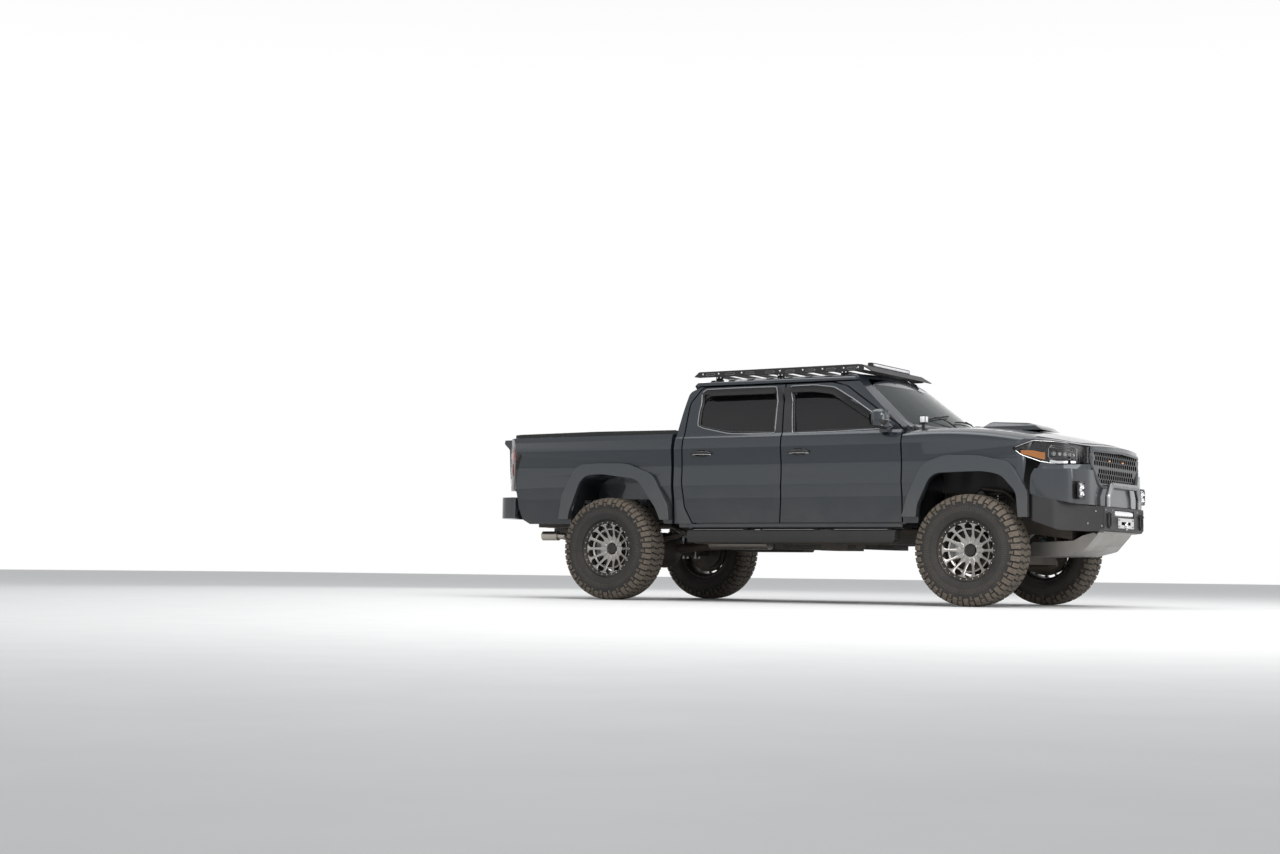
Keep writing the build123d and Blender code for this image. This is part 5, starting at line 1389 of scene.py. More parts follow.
    def lower_half(self, item: bpy.types.Object, height: float, finish: str) -> None:
        """Cut a mesh at a height and give what lies below another finish.

        Args:
            item: the object.
            height: where it is cut.
            finish: key of the finish below.
        """
        work = bmesh.new()
        work.from_mesh(item.data)
        bmesh.ops.bisect_plane(work, geom=work.verts[:] + work.edges[:] + work.faces[:],
                               plane_co=(0, 0, height), plane_no=(0, 0, 1))
        work.to_mesh(item.data)
        work.free()
        item.data.materials.append(self.truck.finishes[finish])
        centre = np.empty(len(item.data.polygons) * 3)
        item.data.polygons.foreach_get("center", centre)
        item.data.polygons.foreach_set("material_index", (centre[2::3] < height).astype(np.int32))


def loop_faces(count: int) -> Array:
    """Quads that close a ring of an even number of points."""
    half = np.arange(count // 2 - 1)
    return np.stack([half, half + 1, count - 2 - half, count - 1 - half], -1)


def panel(x: tuple, y: tuple, z: tuple, edge: float, rows: int = 2, columns: int = 2) -> Pair:
    """A flat plate with drawn-in edges, between two corners, its broad face along its thinnest way.

    Args:
        x: low and high x.
        y: low and high y.
        z: low and high z.
        edge: width of the slope round the broad faces.
        rows: points of the broad face along its first way.
        columns: the same the other way.

    Returns:
        Points and quads.
    """
    spans = np.array([x, y, z], float)
    thin = int(np.argmin(spans[:, 1] - spans[:, 0]))
    wide = [axis for axis in range(3) if axis != thin]
    rings = []
    for level, inward in ((0.0, edge), (0.25, 0.0), (0.75, 0.0), (1.0, edge)):
        grid = np.empty((rows, columns, 3))
        for axis, count, across in ((wide[0], rows, True), (wide[1], columns, False)):
            low, high = spans[axis]
            line = np.linspace(low + inward, high - inward, count)
            grid[..., axis] = line[:, None] if across else line[None]
        grid[..., thin] = spans[thin, 0] + (spans[thin, 1] - spans[thin, 0]) * level
        rings.append(grid)
    count = rows * columns
    index = np.arange(count).reshape(rows, columns)
    ring = np.concatenate([index[0], index[1:, -1], index[-1, -2::-1], index[-2:0:-1, 0]])
    sides = [np.stack([ring, np.roll(ring, -1), np.roll(ring, -1) + count, ring + count], -1) + count * level
             for level in range(3)]
    flat = grid_faces(rows, columns)
    return np.stack(rings), np.vstack([flat, flat[:, ::-1] + 3 * count, *sides])


def domes(centres: Array, axis: tuple[float, float, float], radius: float, sides: int = 14) -> Pair:
    """Lamp cups at many points: a rim, a bowl inside it and a small dome in its middle, along one axis.

    Args:
        centres: the middles of the rims.
        axis: way the cups face.
        radius: outer radius.
        sides: points round each.

    Returns:
        Points and quads.
    """
    out = np.array(axis, float)
    out /= np.linalg.norm(out)
    other = np.array([0.0, 0.0, 1.0]) if abs(out[2]) < 0.9 else np.array([1.0, 0.0, 0.0])
    across = np.cross(other, out)
    across /= np.linalg.norm(across)
    rise = np.cross(out, across)
    angle = np.linspace(0, 2 * np.pi, sides, endpoint=False)
    circle = np.cos(angle)[:, None] * across + np.sin(angle)[:, None] * rise
    steps = [(1.0, -0.10), (1.0, 0.22), (0.90, 0.24), (0.80, 0.02), (0.45, -0.12), (0.40, 0.06), (0.22, 0.18),
             (0.02, 0.20)]
    rings = np.stack([circle * radius * wide + out * radius * tall for wide, tall in steps])
    points = centres[:, None, None] + rings[None]
    shift = (np.arange(len(centres)) * len(steps) * sides)[:, None, None]
    return points.reshape(-1, 3), (grid_faces(len(steps), sides, False, True)[None] + shift).reshape(-1, 4)


def recolour(item: bpy.types.Object, material: bpy.types.Material, low: tuple, high: tuple) -> None:
    """Give the faces of an object that lie in a box another finish.

    Args:
        item: the object.
        material: its new finish.
        low: lowest corner of the box.
        high: highest corner of the box.
    """
    mesh = item.data
    mesh.materials.append(material)
    centre = np.empty(len(mesh.polygons) * 3)
    mesh.polygons.foreach_get("center", centre)
    centre = centre.reshape(-1, 3)
    index = np.empty(len(mesh.polygons), np.int32)
    mesh.polygons.foreach_get("material_index", index)
    inside = ((centre >= low) & (centre <= high)).all(1)
    index[inside] = len(mesh.materials) - 1
    mesh.polygons.foreach_set("material_index", index)


@dataclass
class FrontEnd:
    """Headlamp internals, grille surround, fog lamps, bumper bar, winch rope, cowl and wipers.

    Attributes:
        truck: the frame.
        centre: the point round which the nose is read, seen from above.
        surround: half the height of the frame round the grille.
    """

    truck: Truck
    centre: tuple[float, float] = (2.250, 0.560)
    surround: float = 0.016

    # Height of the headlamp's lower and upper edges along X
    LAMP_LOW = ((2.105, 2.172, 2.303, 2.420, 2.720), (1.203, 1.148, 1.098, 1.078, 1.096))
    LAMP_HIGH = ((2.105, 2.252, 2.420, 2.720), (1.203, 1.262, 1.252, 1.205))
    GRILLE = ((-560, 1196, 40), (-535, 1075, 60), (-430, 940, 40), (430, 940, 40), (535, 1075, 60),
              (560, 1196, 40))
    # Hood's back edge and glass base along Y
    COWL_Y = (0.0, 0.2, 0.4, 0.6, 0.7)
    COWL_BACK = (1.3282, 1.3191, 1.2919, 1.2461, 1.2158)
    COWL_FRONT = (1.3500, 1.3420, 1.3175, 1.2840, 1.2660)
    COWL_Z = (1.4110, 1.4080, 1.3980, 1.3815, 1.3730)

    def __post_init__(self) -> None:
        """Gather the skin of the nose."""
        self.lamp = Probe(self.truck, ("headlights",))
        self.nose = Probe(self.truck, ("headlights", "bumper_cover", "front_fenders"))
        self.glass = Probe(self.truck, ("cab_glass",))

    def on_lamp(self, degrees: Array, z: Array, lift: float) -> Pair:
        """Points on the left lamp's skin at a bearing about the centre and a height, with their normals.

        Args:
            degrees: bearing in degrees.
            z: height in metres.
            lift: metres off the skin.

        Returns:
            The points and the normals.
        """
        degrees, z = np.broadcast_arrays(np.asarray(degrees, float), np.asarray(z, float))
        turn = np.radians(degrees)
        way = xyz(np.cos(turn), np.sin(turn), 0.0)
        middle = xyz(self.centre[0], self.centre[1], z)
        return self.lamp.cast(middle + way * 0.9, -way, lift)

    def edges(self, degrees: Array) -> Pair:
        """Heights of the lamp's lower and upper edges at a bearing."""
        x = self.on_lamp(degrees, np.full_like(degrees, 1.19), 0.0)[0][..., 0]
        return np.interp(x, *self.LAMP_LOW), np.interp(x, *self.LAMP_HIGH)

    def patch(self, start: float, end: float, low: float, high: float, lift: float, thick: float,
              ribs: float = 0.0) -> Pair:
        """A plate on the lamp between two bearings and two shares of its height, with fine upright ribs.

        Args:
            start: first bearing in degrees.
            end: last bearing.
            low: lower share of the height.
            high: upper share.
            lift: metres off the skin.
            thick: thickness.
            ribs: height of the ribs.

        Returns:
            Points and quads.
        """
        degrees = np.linspace(start, end, 25)
        bottom, top = self.edges(degrees)
        z = bottom[:, None] + (top - bottom)[:, None] * np.linspace(low, high, 7)
        points, normals = self.on_lamp(degrees[:, None], z, lift)
        points = points + normals * (ribs * (np.arange(25) % 2))[:, None, None]
        return slab(points, normals, thick)

    def lamp_parts(self) -> dict[str, Pair]:
        """What shows inside the left lamp's lens.

        Returns:
            The lamp's pieces by name.
        """
        box = np.array([(23, 1.122), (23, 1.196), (40, 1.214), (63, 1.222), (68, 1.200), (68, 1.132),
                        (62, 1.118)])
        line = evened(box * (0.01, 1), 0.012) * (100, 1)
        frame = tube(self.on_lamp(line[:, 0], line[:, 1], -0.007)[0], 0.0034, 8, True)
        cups = []
        for degrees, z, size in ((60, 1.160, 0.0155), (50.5, 1.158, 0.0125), (42, 1.156, 0.0125),
                                 (34, 1.154, 0.0125), (27, 1.152, 0.009)):
            place, normal = self.on_lamp(np.array([degrees]), np.array([z]), -0.010)
            cups.append(domes(place, tuple(normal[0]), size))
        brow = np.linspace(26, 64, 24)
        upper = tube(self.on_lamp(brow, 1.186 + 0.0006 * (brow - 26), -0.008)[0], 0.003, 8)
        # The bright tube along the lens's upper and lower edges is a painted reflection of the lens edge.
        rear = np.concatenate([np.linspace(38, 108, 26), np.linspace(108, 58, 20)])
        bottom, top = self.edges(rear)
        z = np.where(np.arange(46) < 26, top - 0.003, bottom + 0.003)
        rim = tube(self.on_lamp(rear, z, -0.001)[0], 0.0026, 8)
        return {
            "headlamp_frame": ("bright", [frame, upper, rim]),
            "headlamp_cups": ("lamp_white", cups),
            "headlamp_strip": ("reflector", [self.patch(24, 66, 0.05, 0.16, -0.008, 0.003, 0.001)]),
            "headlamp_amber": ("amber", [self.patch(73, 103, 0.14, 0.46, -0.006, 0.004, 0.0009)]),
        }

    def lamps(self) -> None:
        """Both headlamps: dark cup with a clear front, and what lies inside."""
        item = self.truck.skin("headlights", "lens", 0.0)
        mesh = item.data
        mesh.materials.append(self.truck.finishes["gloss_black"])
        count = len(mesh.polygons)
        centre, normal = np.empty(count * 3), np.empty(count * 3)
        mesh.polygons.foreach_get("center", centre)
        mesh.polygons.foreach_get("normal", normal)
        centre, normal = centre.reshape(-1, 3), normal.reshape(-1, 3)
        way = centre * (1, 0, 0) - (self.centre[0], 0, 0)
        way[:, 1] = np.sign(centre[:, 1]) * (np.abs(centre[:, 1]) - self.centre[1])
        way /= np.linalg.norm(way, axis=1, keepdims=True)
        away = np.hypot(centre[:, 0] - self.centre[0], np.abs(centre[:, 1]) - self.centre[1])
        front = ((way * normal).sum(1) > 0.45) & (away > 0.2)
        mesh.polygons.foreach_set("material_index", np.where(front, 0, 1).astype(np.int32))
        shrunk = self.truck.frame["nodes"]["headlights"].data.copy()
        work = bmesh.new()
        work.from_mesh(shrunk)
        bmesh.ops.remove_doubles(work, verts=work.verts, dist=2e-5)
        work.to_mesh(shrunk)
        work.free()
        place, outward = np.empty(len(shrunk.vertices) * 3), np.empty(len(shrunk.vertices) * 3)
        shrunk.vertices.foreach_get("co", place)
        shrunk.vertices.foreach_get("normal", outward)
        shrunk.vertices.foreach_set("co", place - outward * 0.014)
        shrunk.name = "headlamp_bowl"
        self.truck.piece("headlamp_bowl", "headlights", "gloss_black").dress(shrunk, False)
        for name, (finish, parts) in self.lamp_parts().items():
            points, faces = joined(parts + [mirrored(part) for part in parts])
            self.truck.piece(name, "headlights", finish).make(points, faces)

    def grille_frame(self) -> None:
        """Thick rounded frame round the grille, and two small marker lamps on its bar."""
        path = evened(rounded(self.GRILLE, 8), 0.016)
        middle = path.mean(0)
        out = (path - middle) / np.linalg.norm(path - middle, axis=1, keepdims=True)
        ring = path + out * 0.010
        starts = xyz(2.9, ring[:, 0] + out[:, 0] * 0.02, ring[:, 1] + out[:, 1] * 0.02)
        skin = self.nose.cast(starts, (-1.0, 0.0, 0.0))[0][:, 0]
        x = np.minimum(np.convolve(np.concatenate([skin[-4:], skin, skin[:4]]), np.ones(9) / 9, "valid"),
                       2.652)
        frame = tube(xyz(x - 0.001, ring[:, 0], ring[:, 1]), self.surround, 14, True)
        self.truck.piece("grille_frame", "grille", "flare").make(*frame)
        marks = [panel((2.6035, 2.6100), (y - 0.018, y + 0.018), (1.126, 1.138), 0.002)
                 for y in (-0.16, 0.16)]
        self.truck.add("grille_markers", "grille", "amber", parts=marks)

    def fog_lamps(self) -> None:
        """Square fog lamps: rim, reflector and cups on the face of each pod."""
        rims, bowls, cups = [], [], []
        for sign in (1, -1):
            y = sign * 0.735
            square = evened(rounded(((-58, -58, 12), (58, -58, 12), (58, 58, 12), (-58, 58, 12)), 5), 0.012)
            rims.append(tube(xyz(2.577, y + square[:, 0], 0.886 + square[:, 1]),
                             0.0090, 10, True))
            bowls.append(panel((2.5765, 2.5800), (y - 0.052, y + 0.052), (0.834, 0.938), 0.002))
            place = np.array([(2.581, y + a, 0.886 + b) for a in (-0.025, 0.025) for b in (-0.025, 0.025)])
            cups.append(domes(place, (1, 0, 0), 0.019))
        self.truck.add("fog_lamp_rims", "bumper_lamps", "gloss_black", parts=rims)
        self.truck.add("fog_lamp_bowls", "bumper_lamps", "reflector", parts=bowls)
        self.truck.add("fog_lamp_cups", "bumper_lamps", "reflector", parts=cups)

    def light_bar(self, name: str, node: str, x: float, half: float, low: float, high: float,
                  count: int) -> None:
        """Front of an LED bar: a bright tray, a row of cups and the frame round them.

        Args:
            name: start of the pieces' names.
            node: the CAD node.
            x: where its face is.
            half: half its width.
            low: lower edge.
            high: upper edge.
            count: cups in the row.
        """
        middle = (low + high) / 2
        tray = panel((x - 0.0004, x + 0.0012), (-half, half), (low + 0.004, high - 0.004), 0.001)
        place = np.linspace(-half, half, count + 2)[1:-1]
        cups = domes(xyz(x + 0.0014, place, middle), (1, 0, 0),
                     min((high - low) / 2 - 0.006, half / count * 0.86), 10)
        edge = evened(rounded(((-half * 1000, low * 1000, 5), (half * 1000, low * 1000, 5),
                               (half * 1000, high * 1000, 5), (-half * 1000, high * 1000, 5)), 4), 0.03)
        rim = tube(xyz(x, edge[:, 0], edge[:, 1]), 0.0024, 6, True)
        self.truck.piece(f"{name}_tray", node, "reflector").make(*tray)
        self.truck.piece(f"{name}_cups", node, "lamp_white").make(*cups)
        self.truck.piece(f"{name}_rim", node, "gloss_black").make(*rim)

    def winch_gear(self) -> None:
        """Rope wound on the drum, the hook and the housing bolts."""
        item = self.truck.skin("winch", "powder", 0.001)
        recolour(item, self.truck.finishes["bright"], (2.668, -0.2, 0.60), (2.70, 0.2, 0.70))
        drum_x, drum_z, wound, turns = 2.560, 0.655, 0.0445, 15
        turn = np.linspace(0, turns * 2 * np.pi, turns * 14)
        rope = xyz(drum_x + wound * np.cos(turn), np.linspace(-0.100, 0.100, len(turn)),
                   drum_z + wound * np.sin(turn))
        self.truck.piece("winch_rope", "winch", "rope").make(*tube(rope, 0.0062, 6))
        angle = np.linspace(0.2, 5.2, 26)
        hook = xyz(2.6885, 0.026 * np.sin(angle) * 0.8, 0.632 + 0.026 * np.cos(angle))
        taper = np.linspace(0.0075, 0.004, 26)
        self.truck.add("winch_hook", "winch", "bright", parts=[tube(hook, taper, 10)])
        circle = [(drum_x + 0.043 * math.cos(a), drum_z + 0.043 * math.sin(a))
                  for a in np.linspace(0, 2 * np.pi, 6, endpoint=False)]
        bolts = [hex_bolts(np.array([(x, sign * 0.230, z) for x, z in circle]), (0, sign, 0), 0.005, 0.004)
                 for sign in (1, -1)]
        bolts.append(hex_bolts(np.array([(2.684, y, z) for y in (-0.165, 0.165) for z in (0.628, 0.678)]),
                               (1, 0, 0), 0.008, 0.006))
        self.truck.add("winch_bolts", "winch", "trim", parts=bolts)

    def bumper_bolts(self) -> None:
        """Bolt heads along the steel bumper's face and weld seams down it."""
        steel = Probe(self.truck, ("steel_bumper",))
        starts = np.array([(2.95, sign * y, z) for sign in (1, -1) for y, z in
                           ((0.30, 0.745), (0.46, 0.745), (0.55, 0.735), (0.62, 0.640), (0.50, 0.625))])
        place, normal = steel.cast(starts, (-1.0, 0.0, 0.0))
        parts = [hex_bolts(place[index:index + 1], tuple(normal[index]), 0.008, 0.005)
                 for index in range(len(place))]
        self.truck.add("bumper_bolts", "steel_bumper", "trim", parts=parts)
        seams = []
        for sign in (1, -1):
            line = xyz(2.95, sign * 0.478, np.linspace(0.60, 0.765, 24))
            seams.append(tube(steel.cast(line, (-1.0, 0.0, 0.0), 0.0002)[0], 0.0028, 6))
        self.truck.add("bumper_welds", "steel_bumper", "powder", parts=seams)

    def cowl(self) -> None:
        """Black cowl between hood and windshield, with louvres, and the two wipers."""
        y = np.linspace(-0.69, 0.69, 61)
        back = np.interp(np.abs(y), self.COWL_Y, self.COWL_BACK) - 0.010
        front = np.interp(np.abs(y), self.COWL_Y, self.COWL_FRONT)
        height = np.interp(np.abs(y), self.COWL_Y, self.COWL_Z)
        share = np.linspace(0, 1, 5)
        x = back[:, None] + (front - back)[:, None] * share
        z = height[:, None] + 0.011 * (1 - share) ** 0.8 + 0.0022 * (np.arange(61) % 2)[:, None]
        top = xyz(x, np.broadcast_to(y[:, None], x.shape), z)
        sheet = slab(top, (0.0, 0.0, 1.0), 0.004)
        self.truck.piece("cowl_grid", "cab_glass", "black_plastic").make(*sheet)
        arms, blades = [], []
        for pivot, tip, pick in ((0.50, -0.02, 0.30), (-0.10, -0.62, -0.36)):
            across = np.linspace(pivot + 0.10, tip, 24)
            climb = 0.075 + 0.10 * (across - tip) / (pivot - tip)
            starts = xyz(1.28 - 0.68 * climb, across, 1.42 + 0.34 * climb) + (0.4, 0, 0.3)
            blade, _ = self.glass.cast(starts, (-0.8, 0.0, -0.6), 0.010)
            blades.append(tube(blade, 0.0042, 6))
            blades.append(tube(blade + (0.003, 0, 0.006), 0.0028, 6))
            foot = np.array([np.interp(abs(pivot), self.COWL_Y, self.COWL_FRONT) - 0.012, pivot,
                             np.interp(abs(pivot), self.COWL_Y, self.COWL_Z) + 0.006])
            reach = blade[np.abs(across - pick).argmin()] + (0.006, 0, 0.012)
            share = np.linspace(0, 1, 12)[:, None]
            arm = foot * (1 - share) + reach * share + (0, 0, 0.016) * np.sin(share * np.pi)
            arms.append(tube(arm, np.linspace(0.0085, 0.0045, 12), 8, flat=0.6))
            arms.append(domes(foot[None], (0.2, 0, 1), 0.014))
        self.truck.add("wiper_arms", "cab_glass", "black_plastic", parts=arms)
        self.truck.add("wiper_blades", "cab_glass", "black_plastic", parts=blades)

    def hood_pods(self) -> None:
        """White lens on the front and outer face of each hood lamp."""
        parts = []
        for sign in (1, -1):
            y = sorted((sign * 0.691, sign * 0.733))
            parts.append(panel((1.3175, 1.3215), tuple(y), (1.434, 1.479), 0.0015))
            outer = sorted((sign * 0.7375, sign * 0.7410))
            parts.append(panel((1.274, 1.313), tuple(outer), (1.434, 1.479), 0.0015))
        self.truck.add("hood_pod_lenses", "hood_lights", "lamp_white", parts=parts)

    def make(self) -> None:
        """Make everything at the front."""
        self.lamps()
        self.grille_frame()
        self.fog_lamps()
        self.light_bar("bumper_light", "bumper_lamps", 2.6645, 0.228, 0.703, 0.749, 12)
        self.light_bar("roof_light", "roof_light_bar", 0.6982, 0.362, 1.9345, 1.9625, 30)
        self.winch_gear()
        self.bumper_bolts()
        self.cowl()
        self.hood_pods()


@dataclass
class RearEnd:
    """Tail-lamp segments, tailgate handle, blank plate, step pad and the bed cover's ribs."""

    truck: Truck
    centre: tuple[float, float] = (-2.380, 0.700)

    def __post_init__(self) -> None:
        """Gather the skins at the rear."""
        self.lamp = Probe(self.truck, ("tail_lights",))
        self.back = Probe(self.truck, ("tailgate", "rear_bumper"))
        self.lid = Probe(self.truck, ("tonneau_lid",))

    def on_lamp(self, degrees: Array, z: Array, lift: float) -> Pair:
        """Points on the left tail lamp at a bearing and a height, with their normals.

        Args:
            degrees: bearing in degrees.
            z: height in metres.
            lift: metres off the skin.

        Returns:
            The points and the normals.
        """
        degrees, z = np.broadcast_arrays(np.asarray(degrees, float), np.asarray(z, float))
        turn = np.radians(degrees)
        way = xyz(np.cos(turn), np.sin(turn), 0.0)
        middle = xyz(self.centre[0], self.centre[1], z)
        return self.lamp.cast(middle + way * 0.9, -way, lift)

    def lamps(self) -> None:
        """Red light guides and a pale reversing lamp on each tail lamp."""
        self.truck.skin("tail_lights", "smoke_black", 0.001)
        red, pale = [], []
        for low, high, start, end in ((1.185, 1.282, 108, 156), (1.065, 1.160, 122, 156)):
            box = np.array([(start, low), (end, low), (end, high), (start + 4, high)])
            line = evened(box * (0.004, 1), 0.008) * (250, 1)
            red.append(tube(self.on_lamp(line[:, 0], line[:, 1], 0.0003)[0], 0.0052, 8, True))
            degrees = np.linspace(start + 8, end - 6, 12)
            z = np.linspace(low + 0.022, high - 0.022, 6)
            points, normals = self.on_lamp(degrees[:, None], z[None], 0.001)
            points = points + normals * (0.0008 * (np.arange(12) % 2))[:, None, None]
            red.append(slab(points, normals, 0.003))
        points, normals = self.on_lamp(np.linspace(134, 154, 9)[:, None], np.linspace(0.975, 1.035, 5)[None],
                                       0.001)
        pale.append(slab(points, normals, 0.003))
        for name, finish, parts in (("tail_lamp_guides", "red", red),
                                    ("tail_lamp_reverse", "lamp_white", pale)):
            self.truck.add(name, "tail_lights", finish, parts=parts + [mirrored(part) for part in parts])

    def gate(self) -> None:
        """Tailgate: grip in its pocket, a pressed crease and the lip's seam."""
        bow = np.linspace(-1, 1, 21)
        grip = tube(xyz(-2.628 - 0.006 * (1 - bow ** 4), 0.098 * bow, 1.238 + 0 * bow), 0.010, 12, flat=0.8)
        hole = evened(rounded(((-124, 1186, 14), (124, 1186, 14), (124, 1266, 14), (-124, 1266, 14)), 5),
                      0.014)
        starts = xyz(-3.0, hole[:, 0] * 1.02, (hole[:, 1] - 1.226) * 1.03 + 1.226)
        edge = tube(self.back.cast(starts, (1.0, 0.0, 0.0), 0.001)[0], 0.0042, 8, True)
        self.truck.add("tailgate_handle", "tailgate", "gloss_black", parts=[grip, edge])
        creases = []
        for z in (1.118, 1.322):
            y = np.linspace(-0.72, 0.72, 60)
            starts = xyz(-3.0, y, z)
            creases.append(tube(self.back.cast(starts, (1.0, 0.0, 0.0), -0.0005)[0], 0.0045, 8, flat=1.0))
        self.truck.add("tailgate_creases", "tailgate", "paint", parts=creases)

    def bumper(self) -> None:
        """Step pad with ribs, blank plate and its two lamps."""
        y = np.linspace(-0.62, 0.62, 125)
        x = np.linspace(-2.690, -2.575, 7)
        grid_x, grid_y = crossed(x, y)
        z = 0.8745 + 0.0016 * (np.arange(125) % 2)[None] + 0.0 * grid_x
        top = xyz(grid_x, grid_y, z)
        pad = slab(top, (0.0, 0.0, 1.0), 0.004)
        self.truck.piece("bumper_step_pad", "rear_bumper", "black_plastic").make(*pad)
        plate = panel((-2.6685, -2.6655), (-0.152, 0.152), (0.776, 0.866), 0.001)
        self.truck.piece("blank_plate", "rear_bumper", "lamp_white").make(*plate)
        lamps = [domes(np.array([(-2.668, y0, 0.782) for y0 in (-0.185, 0.185)]), (-1, 0, 0), 0.012)]
        self.truck.add("plate_lamps", "rear_bumper", "reflector", parts=lamps)

    def cover(self) -> None:
        """Raised ribs, edge rail and clamps of the bed cover."""
        parts = []
        for x in (-1.45, -2.00):
            y = np.linspace(-0.775, 0.775, 50)
            starts = xyz(x, y, 1.7)
            parts.append(tube(self.lid.cast(starts, (0.0, 0.0, -1.0), -0.001)[0], 0.007, 8, flat=0.7))
        for y in (-0.785, 0.785):
            x = np.linspace(-2.52, -0.92, 60)
            starts = xyz(x, y, 1.7)
            parts.append(tube(self.lid.cast(starts, (0.0, 0.0, -1.0), 0.0)[0], 0.006, 8, flat=0.7))
        starts = np.array([(x, y, 1.7) for x in np.linspace(-2.46, -0.98, 9) for y in (-0.76, 0.76)])
        parts.append(hex_bolts(self.lid.cast(starts, (0.0, 0.0, -1.0))[0], (0, 0, 1), 0.008, 0.004))
        self.truck.add("bed_cover_ribs", "tonneau_lid", "black_plastic", parts=parts)

    def liner(self) -> None:
        """Ribbed liner of the bed: floor and wheel houses, up the sides and the front, and on the gate."""
        bed = Probe(self.truck, ("load_bed",))
        x = np.linspace(-2.528, -0.948, 100)
        grid_x, grid_y = crossed(x, np.linspace(-0.758, 0.758, 96))
        points, _ = bed.cast(xyz(grid_x, grid_y, 1.36), (0.0, 0.0, -1.0))
        points[..., 2] += 0.004 + 0.004 * (np.arange(96) // 3 % 2)
        parts = [slab(points, (0.0, 0.0, 1.0), 0.003)]
        grid_x, grid_z = crossed(x, np.linspace(0.925, 1.372, 30))
        for side in Side:
            starts = xyz(grid_x, 0.0, grid_z)
            points, _ = bed.cast(starts, (0.0, float(side.value), 0.0))
            points[..., 1] -= side.value * (0.004 + 0.003 * (np.arange(100) // 4 % 2))[:, None]
            parts.append(slab(points, (0.0, -float(side.value), 0.0), 0.003))
        grid_y, grid_z = crossed(np.linspace(-0.752, 0.752, 76), np.linspace(0.925, 1.372, 30))
        points, _ = bed.cast(xyz(-1.06, grid_y, grid_z), (1.0, 0.0, 0.0))
        points[..., 0] -= 0.004 + 0.003 * (np.arange(76) // 4 % 2)[:, None]
        parts.append(slab(points, (-1.0, 0.0, 0.0), 0.003))
        self.truck.add("bed_liner", "load_bed", "liner", parts=parts)
        grid_y, grid_z = crossed(np.linspace(-0.735, 0.735, 99), np.linspace(0.962, 1.368, 30))
        rib = (np.arange(30) // 3 % 2)[None] * (np.abs(grid_y) < 0.70)
        points = xyz(-2.5462 + 0.0016 * rib, grid_y, grid_z)
        plate = slab(points, (1.0, 0.0, 0.0), 0.0015)
        self.truck.piece("tailgate_liner", "tailgate", "liner").make(*plate)

    def make(self) -> None:
        """Make everything at the rear."""
        self.liner()
        self.lamps()
        self.gate()
        self.bumper()
        self.cover()


@dataclass
class RoofKit:
    """Bolts and pressed slots of the roof rack, and grips on the sliders."""

    truck: Truck

    def make(self) -> None:
        """Make the small parts of the rack and sliders."""
        bolts = []
        for sign in (1, -1):
            place = [(x, sign * 0.612, 1.905) for x in (-0.76, -0.61, -0.39, -0.03, 0.18, 0.36, 0.55, 0.68)]
            bolts.append(hex_bolts(np.array(place), (0, sign, 0), 0.0085, 0.005))
            feet = [(x + dx, sign * 0.602, 1.872) for x in (-0.64, -0.06, 0.52) for dx in (0.014, 0.046)]
            bolts.append(hex_bolts(np.array(feet), (0, sign, 0), 0.007, 0.005))
        self.truck.add("rack_bolts", "roof_rack", "bright", parts=bolts)
        slots = []
        for sign in (1, -1):
            for x in np.linspace(-0.69, 0.62, 8):
                oval = evened(rounded(((x * 1000 - 42, 1892, 7), (x * 1000 + 42, 1892, 7),
                                       (x * 1000 + 42, 1908, 7), (x * 1000 - 42, 1908, 7)), 5), 0.008)
                slots.append(tube(xyz(oval[:, 0], sign * 0.6122, oval[:, 1]), 0.0016, 6,
                                  True))
        self.truck.add("rack_slots", "roof_rack", "tube", parts=slots)
        strips = []
        for sign in (1, -1):
            y = sorted((sign * 0.845, sign * 0.925))
            for start in (-0.66, -0.02, 0.62):
                x = np.linspace(start, start + 0.46, 60)
                across = np.linspace(y[0], y[1], 5)
                grid_x, grid_y = crossed(x, across)
                z = 0.5895 + 0.0018 * (np.arange(60) % 2)[:, None] + 0.0 * grid_y
                top = xyz(grid_x, grid_y, z)
                strips.append(slab(top, (0.0, 0.0, 1.0), 0.003))
        self.truck.add("slider_grips", "rocker_sliders", "tube", parts=strips)


